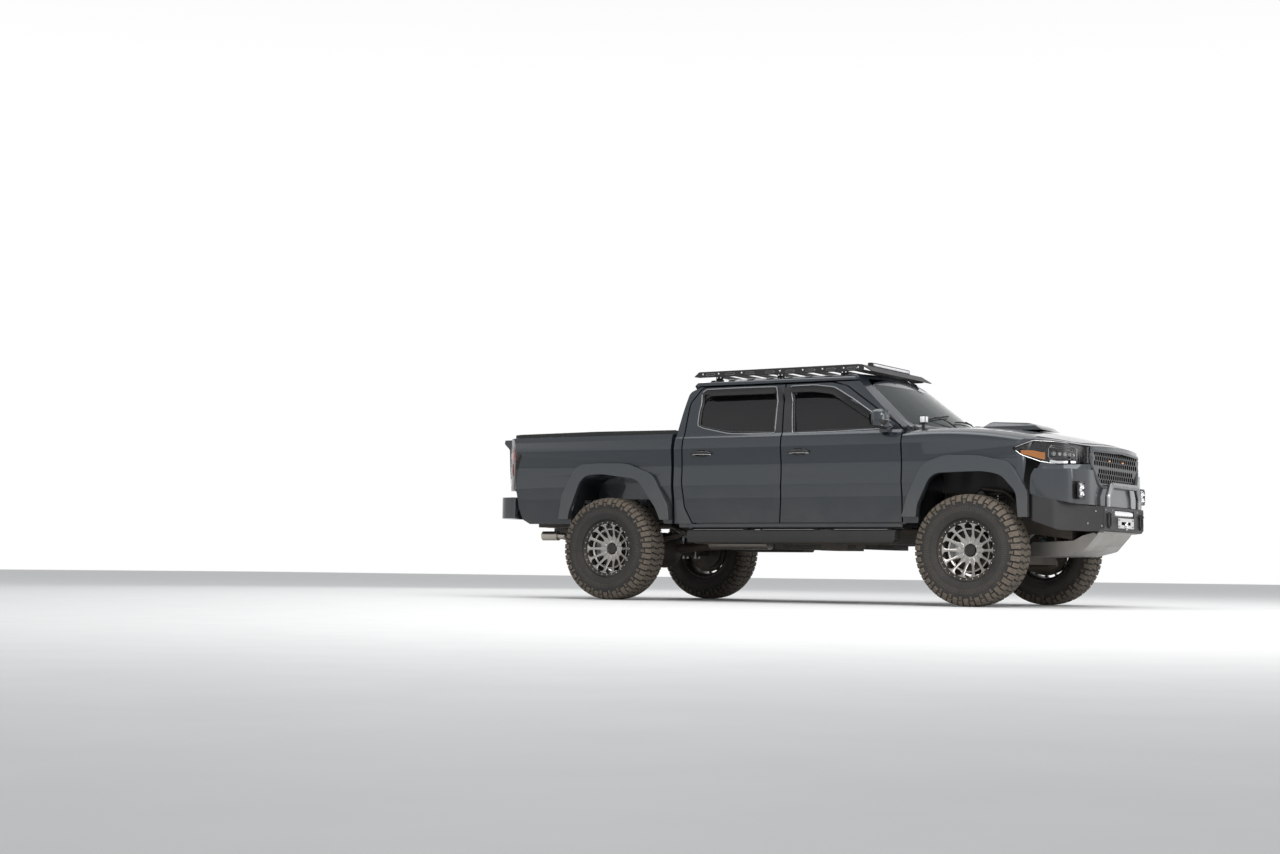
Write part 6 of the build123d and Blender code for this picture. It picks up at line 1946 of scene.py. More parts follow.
@dataclass
class Cabin:
    """Seats as padded pieces, dashboard dressing, console, pedals and door cards.

    Attributes:
        truck: the frame.
        voxel: size of the cells the pads are remeshed to before they are blown up.
        cap: how far a point of a pad may move.
        frames: steps of the cloth.
        pressure: air pressure that swells a pad.
        groove: depth of a sewn channel.
        groove_half: half the width of a channel.
    """

    truck: Truck
    voxel: float = 0.018
    cap: float = 0.024
    frames: int = 20
    pressure: float = 4.0
    groove: float = 0.006
    groove_half: float = 0.009

    # Pads seen from the side: corners in mm with radii, then both ends across and the number of channels
    FRONT_PADS = {
        "cushion": (((170, 800, 50), (170, 925, 40), (660, 940, 50), (702, 850, 50), (640, 790, 40)), -225,
                    225, 3),
        "back": (((120, 905, 40), (-30, 1395, 40), (40, 1425, 35), (106, 1400, 45), (272, 965, 45)), -218,
                 218, 4),
        "headrest": (((-34, 1425, 25), (-34, 1600, 38), (34, 1600, 34), (36, 1425, 25)), -122, 122, 0),
    }
    BENCH_PADS = {
        "bench_cushion": (((-640, 790, 40), (-640, 955, 40), (-215, 950, 50), (-195, 880, 45),
                           (-240, 790, 40)), -630, 630, 0),
        "bench_back": (((-768, 900, 40), (-780, 1385, 40), (-706, 1408, 35), (-600, 985, 45)), -630, 630, 0),
    }

    def pad(self, name: str, row: tuple, shift: float) -> bpy.types.Object:
        """One pad: its outline carried across, remeshed, blown up by cloth pressure, then channelled.

        A point moves at most the cap. A channel's depth falls off as a Gaussian about its line, and the
        lines are evenly spaced across the pad.

        Args:
            name: the pad's name.
            row: outline, ends across and channels.
            shift: Y of the pad's middle.

        Returns:
            The finished pad.
        """
        outline, low, high, channels = row
        path = evened(rounded(outline, 5), 0.02)
        path = path[: len(path) // 2 * 2]
        middle = path.mean(0)
        inset = middle + (path - middle) * (1 - 0.010 / np.linalg.norm(path - middle, axis=1, keepdims=True))
        rings = []
        for y, size in ((low, 0.90), (low + 22, 1.0), (high - 22, 1.0), (high, 0.90)):
            flat = middle + (inset - middle) * size
            rings.append(xyz(flat[:, 0], y * MM + shift, flat[:, 1]))
        count = len(path)
        cap = loop_faces(count)
        faces = np.vstack([grid_faces(4, count, False, True), cap, cap[:, ::-1] + 3 * count])
        mesh = bpy.data.meshes.new(name)
        mesh.from_pydata(np.concatenate(rings).tolist(), [], faces.tolist())
        item = bpy.data.objects.new(name, mesh)
        bpy.context.scene.collection.objects.link(item)
        cells = item.modifiers.new("cells", "REMESH")
        cells.mode = "VOXEL"
        cells.voxel_size = self.voxel
        flat = self.evaluated(item)
        item.modifiers.clear()
        item.data = flat
        self.blow_up(item)
        self.channel(item.data, channels)
        finer = item.modifiers.new("finer", "SUBSURF")
        finer.levels = finer.render_levels = 1
        smooth = self.evaluated(item)
        bpy.data.objects.remove(item)
        smooth.name = name
        made = self.truck.piece(name, "seats", "seat", 60).dress(smooth, False)
        return made

    @staticmethod
    def evaluated(item: bpy.types.Object) -> bpy.types.Mesh:
        """The object's mesh with its modifiers worked in."""
        graph = bpy.context.evaluated_depsgraph_get()
        return bpy.data.meshes.new_from_object(item.evaluated_get(graph))

    def blow_up(self, item: bpy.types.Object) -> None:
        """Swell the mesh by cloth pressure and keep each point within the cap.

        Args:
            item: the pad.
        """
        scene = bpy.context.scene
        cloth = item.modifiers.new("cloth", "CLOTH")
        cloth.settings.use_pressure = True
        cloth.settings.uniform_pressure_force = self.pressure
        cloth.settings.effector_weights.gravity = 0.0
        cloth.settings.quality = 5
        cloth.point_cache.frame_start = 1
        cloth.point_cache.frame_end = self.frames
        for frame in range(1, self.frames + 1):
            scene.frame_set(frame)
        swollen = self.evaluated(item)
        start, end = np.empty(len(item.data.vertices) * 3), np.empty(len(item.data.vertices) * 3)
        item.data.vertices.foreach_get("co", start)
        swollen.vertices.foreach_get("co", end)
        start, end = start.reshape(-1, 3), end.reshape(-1, 3)
        move = end - start
        length = np.linalg.norm(move, axis=1, keepdims=True)
        move *= np.minimum(1.0, self.cap / np.maximum(length, 1e-9))
        item.modifiers.clear()
        item.data.vertices.foreach_set("co", (start + move).ravel())
        scene.frame_set(1)

    def channel(self, mesh: bpy.types.Mesh, count: int) -> None:
        """Press sewn channels into the pad, square to its longer way seen from the side.

        Args:
            mesh: the pad's mesh.
            count: how many channels.
        """
        place, normal = np.empty(len(mesh.vertices) * 3), np.empty(len(mesh.vertices) * 3)
        mesh.vertices.foreach_get("co", place)
        mesh.vertices.foreach_get("normal", normal)
        place, normal = place.reshape(-1, 3), normal.reshape(-1, 3)
        side = place[:, [0, 2]] - place[:, [0, 2]].mean(0)
        way = np.linalg.svd(side, full_matrices=False)[2][0]
        along = side @ way
        middle = place[:, 1].mean()
        reach = np.abs(place[:, 1] - middle).max()
        lines = np.linspace(along.min(), along.max(), count + 2)[1:-1]
        bells = (np.exp(-((along - line) / self.groove_half) ** 2) for line in lines)
        depth = sum(bells, np.zeros(len(along)))
        depth *= np.abs(place[:, 1] - middle) < reach * 0.66
        depth += np.exp(-((np.abs(place[:, 1] - middle) - reach * 0.68) / self.groove_half) ** 2)
        mesh.vertices.foreach_set("co", (place - normal * self.groove * depth[:, None]).ravel())

    def seats(self) -> None:
        """Both front seats and the bench, with headrest posts and seat rails."""
        first = None
        for word, shift in (("left", 0.402), ("right", -0.402)):
            for label, row in self.FRONT_PADS.items():
                item = self.pad(f"seat_{label}_{word}", row, shift)
                first = first or item
        for label, row in self.BENCH_PADS.items():
            self.pad(f"seat_{label}", row, 0.0)
        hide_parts("seats")
        posts, bases = [], []
        for shift in (0.402, -0.402):
            for y in (-0.055, 0.055):
                posts.append(tube(np.array([(0.0, shift + y, 1.39), (0.0, shift + y, 1.45)]), 0.006, 8))
            for y in (-0.19, 0.19):
                rail = np.array([(0.20, shift + y, 0.665), (0.70, shift + y, 0.672)])
                bases.append(tube(rail, 0.014, 10, flat=0.7))
                for x in (0.26, 0.62):
                    bases.append(tube(np.array([(x, shift + y, 0.66), (x - 0.03, shift + y, 0.80)]), 0.016, 8,
                                      flat=0.6))
        self.truck.add("headrest_posts", "seats", "bright", parts=posts)
        self.truck.add("seat_rails", "seats", "black_plastic", parts=bases)

    def dash(self) -> None:
        """Gauges, blank screen, vents, knobs, gear lever, pedals and the mirror on the glass."""
        rings, dials, vents, dark = [], [], [], []
        face = 0.902
        for y in (0.335, 0.468):
            angle = np.linspace(0, 2 * np.pi, 40, endpoint=False)
            circle = xyz(face - 0.020, y + 0.052 * np.cos(angle), 1.300 + 0.052 * np.sin(angle))
            rings.append(tube(circle, 0.0032, 8, True))
            ticks = np.linspace(-0.6, math.pi + 0.6, 15)
            spot = xyz(face - 0.0205, y + 0.043 * np.cos(ticks), 1.300 + 0.043 * np.sin(ticks))
            dials.append(hex_bolts(spot, (-1, 0, 0), 0.0016, 0.001, 4))
            needle = np.array([(face - 0.021, y, 1.300), (face - 0.0215, y - 0.028, 1.276)])
            dials.append(tube(needle, np.array([0.0022, 0.0008]), 6))
        hood = np.linspace(0, np.pi, 30)
        arch = xyz(face - 0.030, 0.402 + 0.150 * np.cos(hood), 1.262 + 0.112 * np.sin(hood))
        dark.append(tube(arch, 0.013, 10))
        dark.append(panel((face - 0.018, face - 0.010), (0.262, 0.542), (1.235, 1.362), 0.004))
        dark.append(panel((face - 0.040, face - 0.028), (-0.125, 0.125), (1.205, 1.352), 0.004))
        for y in (-0.640, -0.200, 0.190, 0.640):
            for z in np.linspace(1.262, 1.322, 6):
                line = np.array([(face - 0.026, y - 0.045, z), (face - 0.026, y + 0.045, z)])
                vents.append(tube(line, 0.0028, 6))
        knobs = np.array([(0.846, y, 1.150) for y in (-0.07, 0.0, 0.07)])
        rings.append(domes(knobs, (-1, 0, 0.1), 0.021))
        lever = np.array([(0.560, 0.0, 0.905), (0.556, 0.0, 0.985), (0.548, 0.0, 1.040)])
        dark.append(tube(lever, np.array([0.009, 0.008, 0.022]), 14))
        for y, wide in ((0.330, 0.026), (0.430, 0.040)):
            dark.append(panel((0.985, 1.000), (y - wide, y + wide), (0.760, 0.830), 0.003))
            dark.append(tube(np.array([(0.998, y, 0.80), (1.080, y, 0.960)]), 0.008, 8))
        angle = np.linspace(0, 2 * np.pi, 32, endpoint=False)
        back = [xyz(0.690 + 0.016 * deep, 0.115 * wide * np.cos(angle), 1.640 + 0.034 * wide * np.sin(angle))
                for deep, wide in ((0, 0.02), (0, 0.96), (0.4, 1.0), (1, 0.8), (1, 0.02))]
        dark.append((np.stack(back), grid_faces(5, 32, False, True)))
        self.truck.add("dash_rings", "dashboard", "trim", parts=rings)
        self.truck.add("dash_dials", "dashboard", "lamp_white", parts=dials)
        self.truck.add("dash_vents", "dashboard", "trim", parts=vents)
        self.truck.add("dash_fittings", "dashboard", "gloss_black", parts=dark)

    def wheel_dressing(self) -> None:
        """Cloth grips and a hub pad on the steering wheel."""
        tilt = math.radians(65)
        across = np.array([0.0, 1.0, 0.0])
        rise = np.array([math.cos(tilt), 0.0, math.sin(tilt)])
        axis = np.array([-math.sin(tilt), 0.0, math.cos(tilt)])
        middle = np.array([0.740, 0.402, 1.180])
        grips = []
        for start, end in ((-0.5, 0.6), (math.pi - 0.6, math.pi + 0.5)):
            turn = np.linspace(start, end, 24)[:, None]
            path = middle + 0.180 * (np.cos(turn) * across + np.sin(turn) * rise)
            grips.append(tube(path, 0.0165, 10))
        ring = np.linspace(0, 2 * np.pi, 32, endpoint=False)
        oval = np.cos(ring)[:, None] * across + 0.8 * np.sin(ring)[:, None] * rise
        layers = [middle + axis * lift + 0.062 * size * oval
                  for size, lift in ((1.0, 0.0), (1.0, 0.016), (0.86, 0.028), (0.4, 0.032), (0.02, 0.033))]
        hub = (np.stack(layers), grid_faces(5, 32, False, True))
        self.truck.add("steering_wheel_grips", "steering_wheel", "seat", parts=grips)
        self.truck.piece("steering_wheel_hub", "steering_wheel", "black_plastic").make(*hub)

    def door_cards(self) -> None:
        """Inner cards of the doors: a moulded sheet with a pocket, an armrest and a release lever."""
        for word, low, high in (("front", 0.215, 1.030), ("rear", -0.560, 0.060)):
            probe = Probe(self.truck, (f"{word}_door_left",))
            x = np.linspace(low, high, 30)
            z = np.linspace(0.700, 1.335, 26)
            grid_x, grid_z = crossed(x, z)
            starts = xyz(grid_x, 0.45, grid_z)
            hit, _ = probe.cast(starts, (0.0, 1.0, 0.0))
            y = np.median(hit[..., 1], axis=0)
            share_x = (grid_x - low) / (high - low)
            pocket = np.exp(-((grid_z - 0.79) / 0.045) ** 4) * np.exp(-((share_x - 0.5) / 0.36) ** 6)
            rest = np.exp(-((grid_z - 1.075) / 0.030) ** 4) * np.exp(-((share_x - 0.5) / 0.34) ** 6)
            skin = np.broadcast_to(y[None], grid_x.shape) - 0.0035 - 0.014 * pocket - 0.030 * rest
            top = xyz(grid_x, skin, grid_z)
            card = slab(top, (0.0, -1.0, 0.0), 0.003)
            place = low + 0.80 * (high - low)
            lever = tube(np.array([(place - 0.045, 0.0, 1.200), (place + 0.035, 0.0, 1.206)])
                         + (0, float(np.interp(1.2, z, y)) - 0.014, 0), np.array([0.007, 0.0045]), 10)
            for side in Side:
                flip = np.array([1, side.value, 1])
                node = f"{word}_door_{side.word}"
                tag = f"{word}_{side.word}"
                self.truck.add(f"door_card_{tag}", node, "black_plastic", parts=[(card[0] * flip, card[1])])
                self.truck.add(f"door_lever_{tag}", node, "bright", parts=[(lever[0] * flip, lever[1])])

    def linings(self) -> None:
        """Headliner, carpet and back wall trim, each cast on the shell and lifted off it, and sill plates."""
        shell = Probe(self.truck, ("cab_shell",))
        grid_x, grid_y = crossed(np.linspace(-0.60, 0.62, 50), np.linspace(-0.50, 0.50, 44))
        points, _ = shell.cast(xyz(grid_x, grid_y, 1.45), (0.0, 0.0, 1.0))
        points[..., 2] -= 0.005 + 0.001 * np.sin(grid_x * 9) * np.sin(grid_y * 9)
        lining = slab(points, (0.0, 0.0, -1.0), 0.003)
        self.truck.piece("roof_headliner", "cab_shell", "headliner").make(*lining)
        grid_x, grid_y = crossed(np.linspace(-0.76, 1.10, 94), np.linspace(-0.690, 0.690, 90))
        points, _ = shell.cast(xyz(grid_x, grid_y, 0.86), (0.0, 0.0, -1.0))
        points[..., 2] += 0.005 + 0.001 * np.sin(grid_x * 31) * np.sin(grid_y * 27)
        carpet = slab(points, (0.0, 0.0, 1.0), 0.004)
        self.truck.piece("floor_carpet", "cab_shell", "seat").make(*carpet)
        grid_y, grid_z = crossed(np.linspace(-0.74, 0.74, 60), np.linspace(0.70, 1.380, 30))
        points, _ = shell.cast(xyz(-0.50, grid_y, grid_z), (-1.0, 0.0, 0.0))
        points[..., 0] += 0.005 + 0.001 * np.sin(grid_y * 22) * np.sin(grid_z * 31)
        wall = slab(points, (1.0, 0.0, 0.0), 0.003)
        self.truck.piece("back_wall_trim", "cab_shell", "black_plastic").make(*wall)
        plates = []
        for side in Side:
            for low, high in ((0.24, 1.06), (-0.60, 0.03)):
                length = np.linspace(low, high, 60)
                grid_x, grid_y = crossed(length, np.linspace(0.712, 0.804, 7))
                rib = 0.0016 * (np.arange(60) // 2 % 2)[:, None]
                points = xyz(grid_x, side.value * grid_y, 0.6822 + rib + 0 * grid_y)
                plates.append(slab(points, (0.0, 0.0, 1.0), 0.002))
        self.truck.add("sill_plates", "cab_shell", "black_plastic", parts=plates)

    def make(self) -> None:
        """Make the whole cabin."""
        self.linings()
        self.seats()
        self.dash()
        self.wheel_dressing()
        self.door_cards()


@dataclass
class Running:
    """Coil springs and dampers, brake calipers and shields, axle bolts and hoses."""

    truck: Truck
    coil: float = 0.0085

    def helix(self, start: Array, end: Array, radius: float, turns: float) -> Pair:
        """A coil spring: centre(t) + r (cos a · n + sin a · b) with a growing evenly along it.

        Args:
            start: one end of its axis.
            end: the other end.
            radius: radius of the coil.
            turns: how many turns.

        Returns:
            Points and quads.
        """
        axis = (end - start) / np.linalg.norm(end - start)
        side = np.cross(axis, (1.0, 0.0, 0.0)) if abs(axis[0]) < 0.9 else np.cross(axis, (0.0, 1.0, 0.0))
        side /= np.linalg.norm(side)
        other = np.cross(axis, side)
        angle = np.linspace(0, turns * 2 * np.pi, int(turns * 22))
        share = np.clip(np.linspace(-0.06, 1.06, len(angle)), 0, 1)[:, None]
        path = start + (end - start) * share + radius * (np.cos(angle)[:, None] * side
                                                         + np.sin(angle)[:, None] * other)
        return tube(path, self.coil, 8)

    def dampers(self) -> None:
        """Front coil-over units and rear dampers."""
        body, rods, coils, seats = [], [], [], []
        for sign in (1, -1):
            foot, head = np.array([1.835, sign * 0.520, 0.345]), np.array([1.835, sign * 0.520, 0.858])
            share = np.linspace(0, 1, 9)[:, None]
            line = foot * (1 - share) + head * share
            body.append(tube(line[:5], np.array([0.022, 0.029, 0.029, 0.029, 0.026]), 18))
            rods.append(tube(line[4:], 0.010, 12))
            coils.append(self.helix(np.array([1.835, sign * 0.520, 0.552]),
                                    np.array([1.835, sign * 0.520, 0.800]), 0.0465, 6.5))
            for z, radius in ((0.545, 0.056), (0.808, 0.056), (0.846, 0.050)):
                plate = np.array([(1.835, sign * 0.520, z - 0.006), (1.835, sign * 0.520, z + 0.006)])
                seats.append(tube(plate, radius, 24))
            low, high = np.array([-1.610, sign * 0.560, 0.415]), np.array([-1.560, sign * 0.560, 0.820])
            line = low * (1 - share) + high * share
            body.append(tube(line[1:6], np.array([0.026, 0.031, 0.031, 0.031, 0.027]), 18))
            rods.append(tube(line[5:], 0.010, 12))
            rods.append(tube(line[:2], 0.014, 12))
        first = self.truck.add("damper_bodies", "dampers", "damper", parts=body)
        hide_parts("dampers")
        self.truck.add("damper_rods", "dampers", "bright", parts=rods)
        self.truck.add("damper_springs", "dampers", "spring", parts=coils)
        self.truck.add("spring_seats", "dampers", "chassis", parts=seats)

    def calipers(self) -> None:
        """Brake caliper: an arc of section round the disc, with three pin heads; and the dust shield behind."""
        angle = np.linspace(math.radians(150), math.radians(212), 15)
        section = np.array([(-0.062, 0.105), (-0.062, 0.168), (-0.052, 0.183), (0.008, 0.183), (0.016, 0.172),
                            (0.016, 0.112), (0.009, 0.106), (-0.050, 0.100)])
        rings = xyz(section[:, 1] * np.cos(angle)[:, None], np.broadcast_to(section[:, 0], (15, 8)),
                    section[:, 1] * np.sin(angle)[:, None])
        cap = loop_faces(8)
        faces = np.vstack([grid_faces(15, 8, False, True), cap, cap[:, ::-1] + 14 * 8])
        pins = hex_bolts(np.array([(0.145 * math.cos(a), 0.0155, 0.145 * math.sin(a))
                                   for a in (2.75, 3.15, 3.55)]), (0, 1, 0), 0.009, 0.004)
        caliper = joined([(rings, faces), pins])
        shield = revolved(np.array([(-0.066, 0.0760), (-0.066, 0.1500), (-0.058, 0.1780), (-0.040, 0.1840),
                                    (-0.043, 0.1860), (-0.061, 0.1800), (-0.069, 0.1500), (-0.069, 0.0760)]),
                          64)
        for axle in Axle:
            for side in Side:
                node = f"knuckle_{side.word}" if axle is Axle.FRONT else "rear_axle"
                place = np.array([axle.value, side.value * WHEEL_Y, AXLE_Z])
                flip = np.array([1, side.value, 1])
                tag = f"{axle.word}_{side.word}"
                for word, finish, part in (("caliper", "tube", caliper), ("shield", "chassis", shield)):
                    moved = (part[0] * flip + place, part[1])
                    self.truck.add(f"brake_{word}_{tag}", node, finish, parts=[moved])

    def underside(self) -> None:
        """U-bolts with their nuts over the rear axle and brake pipes along the frame."""
        bolts, pipes = [], []
        for sign in (1, -1):
            for dx in (-0.060, 0.060):
                for y in (0.443, 0.517):
                    line = np.array([(REAR_AXLE_X + dx, sign * y, 0.372),
                                     (REAR_AXLE_X + dx, sign * y, 0.548)])
                    bolts.append(tube(line, 0.0065, 8))
            nuts = np.array([(REAR_AXLE_X + dx, sign * y, 0.372) for dx in (-0.060, 0.060)
                             for y in (0.443, 0.517)])
            bolts.append(hex_bolts(nuts, (0, 0, -1), 0.011, 0.012))
        rail = Probe(self.truck, ("frame",))
        x = np.linspace(-2.2, 1.5, 90)
        for z in (0.028, 0.042):
            starts = xyz(x, 0.18, 0.60 + z)
            hit = rail.cast(starts, (0.0, 1.0, 0.0), 0.005)[0]
            hit[:, 1] = np.convolve(np.pad(np.minimum(hit[:, 1], np.median(hit[:, 1]) + 0.02), 4, "edge"),
                                    np.ones(9) / 9, "valid")
            pipes.append(tube(hit, 0.0032, 6))
        self.truck.add("axle_bolts", "rear_axle", "tube", parts=bolts)
        self.truck.add("brake_pipes", "frame", "tube", parts=pipes)

    def make(self) -> None:
        """Make every running part."""
        self.dampers()
        self.calipers()
        self.underside()


@dataclass
class EngineBay:
    """What shows under the raised hood: cover, air box, battery, radiator, hoses and inner panels."""

    truck: Truck

    def cover(self) -> None:
        """Crowned engine cover with long ribs."""
        x = np.linspace(1.46, 1.93, 48)
        y = np.linspace(-0.235, 0.235, 40)
        grid_x, grid_y = crossed(x, y)
        edge = np.minimum.reduce([grid_x - x[0], x[-1] - grid_x, grid_y - y[0], y[-1] - grid_y]) / 0.035
        crown = 1.276 + 0.022 * np.clip(edge, 0, 1) ** 0.5 + 0.006 * np.cos(grid_y / 0.235 * 1.4)
        ribs = 0.006 * (np.sin(grid_y / 0.470 * 2 * np.pi * 5) > 0.15) * (edge > 1)
        top = xyz(grid_x, grid_y, crown + ribs)
        plate = slab(top, (0.0, 0.0, 1.0), 0.006)
        self.truck.piece("engine_cover", "engine_and_gearbox", "black_plastic", 50).make(*plate)
        cap = [domes(np.array([(1.56, 0.14, 1.3045)]), (0, 0, 1), 0.030, 18)]
        cap.append(hex_bolts(np.array([(px, py, 1.296) for px in (1.49, 1.90) for py in (-0.20, 0.20)]),
                             (0, 0, 1), 0.010, 0.007))
        self.truck.add("engine_caps", "engine_and_gearbox", "trim", parts=cap)

    def boxes(self) -> None:
        """Battery, air box, fuse box and bottles beside the engine."""
        dark, light = [], []
        for x0, x1, y0, y1, z0, z1 in ((1.90, 2.12, 0.310, 0.500, 0.98, 1.170),
                                       (1.86, 2.14, -0.505, -0.300, 0.96, 1.165),
                                       (1.48, 1.72, 0.330, 0.500, 1.02, 1.190)):
            for step in range(3):
                part = (z1 - z0) / 3
                shrink = 0.003 * step
                dark.append(panel((x0 + shrink, x1 - shrink), (y0 + shrink, y1 - shrink),
                                  (z0 + part * step, z0 + part * (step + 1) - 0.003), 0.008))
            ribs = np.linspace(x0 + 0.02, x1 - 0.02, 9)
            for x in ribs:
                dark.append(tube(np.array([(x, y0 + 0.015, z1), (x, y1 - 0.015, z1)]), 0.0030, 6))
        light.append(domes(np.array([(2.08, y, 1.176) for y in (0.345, 0.465)]), (0, 0, 1), 0.013))
        for x, y, radius in ((1.50, -0.42, 0.058), (1.66, -0.44, 0.048)):
            levels = np.linspace(0, 1, 7)[:, None]
            line = np.array([x, y, 0.98]) + np.array([0, 0, 0.19]) * levels
            light.append(tube(line, radius * np.array([0.9, 1, 1, 1, 1, 0.85, 0.4]), 20))
            dark.append(domes(np.array([(x, y, 1.176)]), (0, 0, 1), radius * 0.5, 16))
        self.truck.add("bay_boxes", "engine_and_gearbox", "black_plastic", parts=dark)
        self.truck.add("bay_bottles", "engine_and_gearbox", "lamp_white", parts=light)

    def pipes(self) -> None:
        """Intake pipe, coolant hoses and the cable runs, each a bent tube; the intake is ribbed where it
        flexes.
        """
        share = np.linspace(0, 1, 60)
        ribbed = 0.040 + 0.003 * np.sin(share * 2 * np.pi * 9) * ((share > 0.3) & (share < 0.7))
        intake = xyz(2.00 - 0.30 * share, -0.36 + 0.30 * share ** 1.6,
                     1.135 + 0.115 * np.sin(share * np.pi / 2))
        parts = [tube(intake, ribbed, 18)]
        for start, end, radius in (((2.235, 0.24, 1.10), (1.96, 0.12, 1.22), 0.020),
                                   ((2.235, -0.26, 1.06), (1.95, -0.14, 1.16), 0.020),
                                   ((2.08, 0.345, 1.185), (1.70, 0.20, 1.27), 0.0075),
                                   ((1.60, 0.36, 1.19), (1.52, 0.10, 1.29), 0.008)):
            start, end = np.array(start), np.array(end)
            sag = np.array([0, 0, 0.05]) * np.sin(share * np.pi)[:, None]
            path = start + (end - start) * share[:, None] + sag
            parts.append(tube(path, radius, 12))
        self.truck.add("bay_hoses", "engine_and_gearbox", "black_plastic", parts=parts)

    def radiator(self) -> None:
        """Radiator with its core of fins and its tanks."""
        fins, tanks = [], []
        for z in np.linspace(0.86, 1.13, 28):
            fins.append(tube(np.array([(2.262, -0.40, z), (2.262, 0.40, z)]), 0.0030, 4))
        for y in (-0.42, 0.42):
            tanks.append(tube(xyz(2.262, y, np.linspace(0.85, 1.14, 6)), 0.024, 12))
        tanks.append(panel((2.235, 2.290), (-0.44, 0.44), (1.138, 1.168), 0.006))
        tanks.append(panel((2.254, 2.258), (-0.40, 0.40), (0.85, 1.14), 0.002))
        self.truck.add("radiator_fins", "engine_and_gearbox", "tube", parts=fins)
        self.truck.add("radiator_tanks", "engine_and_gearbox", "black_plastic", parts=tanks)

    def inner_panels(self) -> None:
        """Pressed inner panels that close the bay over each wheel, with beads."""
        parts = []
        for sign in (1, -1):
            x = np.linspace(1.385, 2.20, 70)
            z = np.linspace(0.885, 1.215, 22)
            grid_x, grid_z = crossed(x, z)
            wave = np.sin((grid_x - 1.385) / 0.815 * 2 * np.pi * 4)
            bead = 0.006 * wave * np.sin((grid_z - 0.885) / 0.33 * np.pi)
            flange = 0.09 * np.clip((grid_z - 1.150) / 0.065, 0, 1) ** 2
            top = xyz(grid_x, sign * (0.535 + bead + flange), grid_z)
            parts.append(slab(top, (0.0, float(sign), 0.0), 0.002))
        self.truck.add("bay_panels", "front_fenders", "black_plastic", parts=parts)

    def hood_liner(self) -> None:
        """Quilted pad under the hood: the inner skin lowered by 3 mm plus 3 mm times sin(25 x) sin(25 y)."""
        grid_x, grid_y = crossed(np.linspace(1.40, 2.36, 72), np.linspace(-0.54, 0.54, 80))
        starts = xyz(grid_x, grid_y, 0.9)
        points, _ = Probe(self.truck, ("hood",)).cast(starts, (0.0, 0.0, 1.0))
        points[..., 2] -= 0.004 + 0.002 * np.sin(grid_x * 50) * np.sin(grid_y * 50)
        pad = slab(points, (0.0, 0.0, -1.0), 0.003)
        self.truck.piece("hood_liner", "hood", "seat").make(*pad)

    def make(self) -> None:
        """Fill the engine bay."""
        self.cover()
        self.boxes()
        self.pipes()
        self.radiator()
        self.hood_liner()
        self.inner_panels()


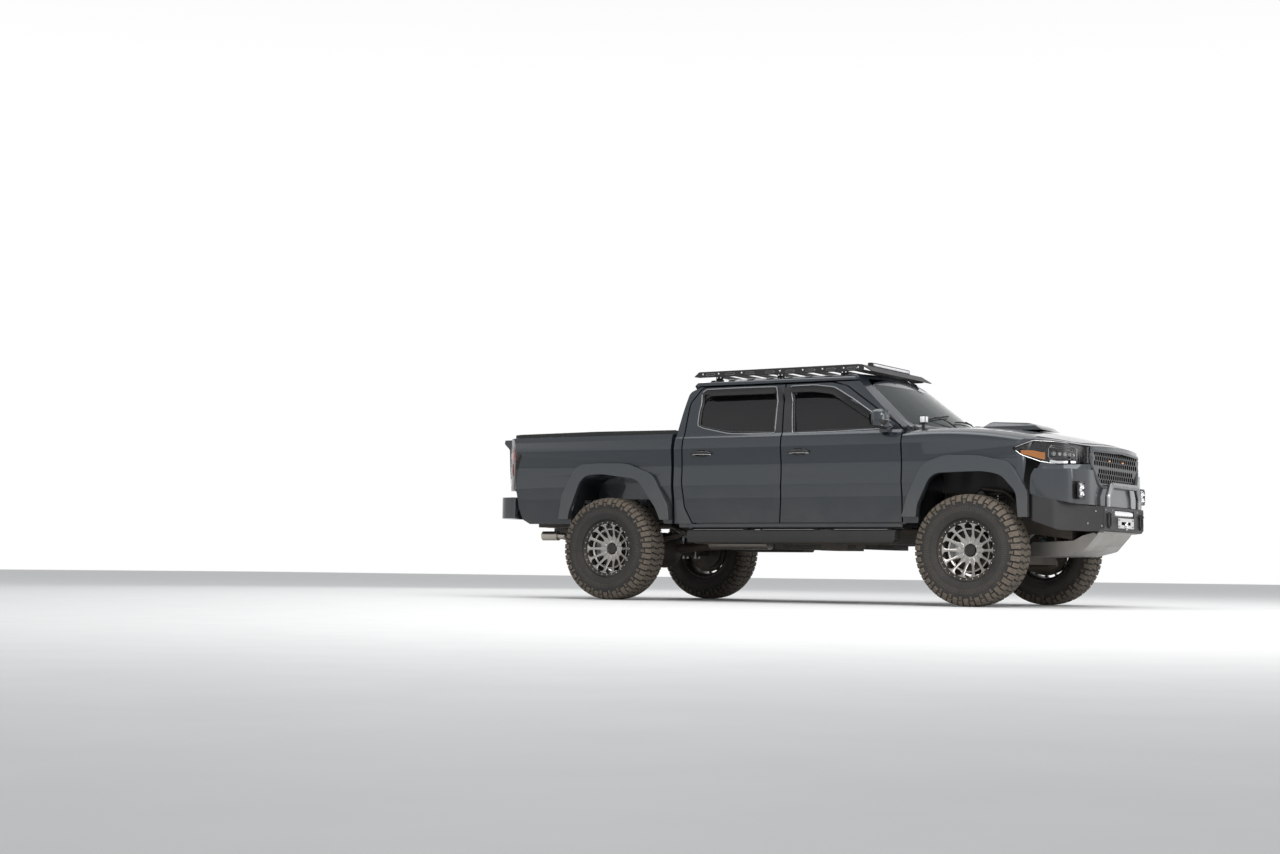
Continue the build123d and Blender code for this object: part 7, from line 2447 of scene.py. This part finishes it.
@dataclass
class Studio:
    """Floor, backdrop, lights and camera.

    Attributes:
        camera_place: where the camera stands.
        yaw: turn of the view about Z, in degrees.
        pitch: how far it looks up, in degrees.
        roll: how far it leans, in degrees.
        lens: focal length in millimetres on a 36 mm sensor.
        floor_half: half the floor's side.
    """

    camera_place: tuple[float, float, float] = (7.642, -15.353, 0.245)
    yaw: float = 31.47
    pitch: float = 4.08
    roll: float = 0.65
    lens: float = 56.72
    floor_half: float = 60.0

    def camera(self) -> None:
        """Place the camera."""
        yaw, pitch, roll = (math.radians(value) for value in (self.yaw, self.pitch, self.roll))
        forward = Vector((-math.sin(yaw) * math.cos(pitch), math.cos(yaw) * math.cos(pitch), math.sin(pitch)))
        right = Vector((math.cos(yaw), math.sin(yaw), 0))
        up = right.cross(forward)
        across = right * math.cos(roll) + up * math.sin(roll)
        rise = across.cross(forward)
        data = bpy.data.cameras.new("camera")
        data.lens = self.lens
        data.sensor_width = 36
        data.clip_end = 200
        item = bpy.data.objects.new("camera", data)
        turned = Matrix((across, rise, -forward)).transposed()
        item.matrix_world = Matrix.Translation(self.camera_place) @ turned.to_4x4()
        bpy.context.scene.collection.objects.link(item)
        bpy.context.scene.camera = item

    def light(self, name: str, place: tuple, aim: tuple, size: tuple, power: float) -> None:
        """Hang one soft area light.

        Args:
            name: its name.
            place: where it hangs.
            aim: point that it faces.
            size: its two sides.
            power: watts.
        """
        data = bpy.data.lights.new(name, "AREA")
        data.shape = "RECTANGLE"
        data.size, data.size_y = size
        data.energy = power
        item = bpy.data.objects.new(name, data)
        item.location = place
        item.rotation_euler = (Vector(aim) - Vector(place)).to_track_quat("-Z", "Y").to_euler()
        bpy.context.scene.collection.objects.link(item)

    def world(self) -> None:
        """White to the camera, glass and mirrors; a soft grey to everything else."""
        world = bpy.data.worlds.new("studio")
        bpy.context.scene.world = world
        world.use_nodes = True
        tree = world.node_tree
        up = noded(tree, "SeparateXYZ", {0: noded(tree, "TexCoord").outputs["Generated"]}).outputs["Z"]
        height = noded(tree, "MapRange", {"Value": up, "From Min": -1.0}).outputs[0]
        light = self.ramp(tree, height, ((0.42, (0.20, 0.205, 0.21, 1)), (0.53, (0.40, 0.41, 0.42, 1)),
                                         (0.80, (0.62, 0.63, 0.65, 1))))
        seen = self.ramp(tree, height, ((0.62, (1, 1, 1, 1)), (0.95, (0.50, 0.51, 0.53, 1))))
        path = noded(tree, "LightPath").outputs
        first = noded(tree, "Math", {0: path["Is Camera Ray"], 1: path["Is Glossy Ray"]}, operation="MAXIMUM")
        second = noded(tree, "Math", {0: first.outputs[0], 1: path["Is Transmission Ray"]},
                       operation="MAXIMUM")
        mix = noded(tree, "Mix", {"Factor": second.outputs[0], "A": light, "B": seen}, data_type="RGBA")
        tree.links.new(mix.outputs["Result"], tree.nodes["Background"].inputs["Color"])

    @staticmethod
    def ramp(tree: bpy.types.NodeTree, value: Socket, stops: tuple) -> Socket:
        """Colour that runs from stop to stop; each stop is a place and a colour, first and last in order.

        Args:
            tree: the tree it goes in.
            value: socket of the place along the ramp.
            stops: place and colour of each stop.

        Returns:
            The colour's socket.
        """
        node = noded(tree, "ValToRGB", {"Fac": value})
        ends = node.color_ramp.elements
        for element, (place, colour) in zip((ends[0], ends[1]), (stops[0], stops[-1])):
            element.position, element.color = place, colour
        for place, colour in stops[1:-1]:
            ends.new(place).color = colour
        return node.outputs["Color"]

    def floor(self) -> None:
        """A pale floor with a faint texture."""
        mesh = bpy.data.meshes.new("floor")
        size = self.floor_half
        mesh.from_pydata([(-size, -size, 0), (size, -size, 0), (size, size, 0), (-size, size, 0)], [],
                         [(0, 1, 2, 3)])
        item = bpy.data.objects.new("floor", mesh)
        bpy.context.scene.collection.objects.link(item)
        material = bpy.data.materials.new("studio_floor")
        material.use_nodes = True
        tree = material.node_tree
        shader = tree.nodes["Principled BSDF"].inputs
        place = noded(tree, "TexCoord").outputs["Object"]
        noise = noded(tree, "TexNoise", {"Vector": place, "Scale": 3.0, "Detail": 8.0}).outputs["Fac"]
        mix = noded(tree, "Mix", {"Factor": noise, "A": (0.72, 0.72, 0.71, 1), "B": (0.80, 0.80, 0.79, 1)},
                    data_type="RGBA")
        tree.links.new(mix.outputs["Result"], shader["Base Color"])
        shader["Roughness"].default_value = 0.7
        mesh.materials.append(material)

    def make(self) -> None:
        """Set everything up."""
        bpy.context.scene.view_settings.view_transform = "Standard"
        self.camera()
        self.world()
        self.floor()
        self.light("key", (6.5, -7.5, 7.0), (0.3, -0.4, 0.9), (6, 4), 560)
        self.light("front", (10.0, -2.0, 4.0), (1.5, 0, 0.9), (4, 5), 260)
        self.light("top", (0, 0, 7.5), (0, 0, 0), (9, 5), 270)
        self.light("back", (-7, 5, 5), (0, 0, 1), (5, 4), 120)


def main() -> None:
    """Build every piece in order and finish the frame."""
    logging.basicConfig(level=logging.INFO, format="%(message)s")
    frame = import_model()
    finishes = Finishes(SharedEffects())
    truck = Truck(frame, finishes)
    Body(truck).make()
    tyre = Tyre(truck)
    wheel = Wheel(truck)
    for axle in Axle:
        for side in Side:
            tyre.make(axle, side)
            wheel.make(axle, side)
    SideTrim(truck).make()
    FrontEnd(truck).make()
    RearEnd(truck).make()
    RoofKit(truck).make()
    Cabin(truck).make()
    Running(truck).make()
    EngineBay(truck).make()
    Studio().make()


if __name__ == "__main__":
    main()
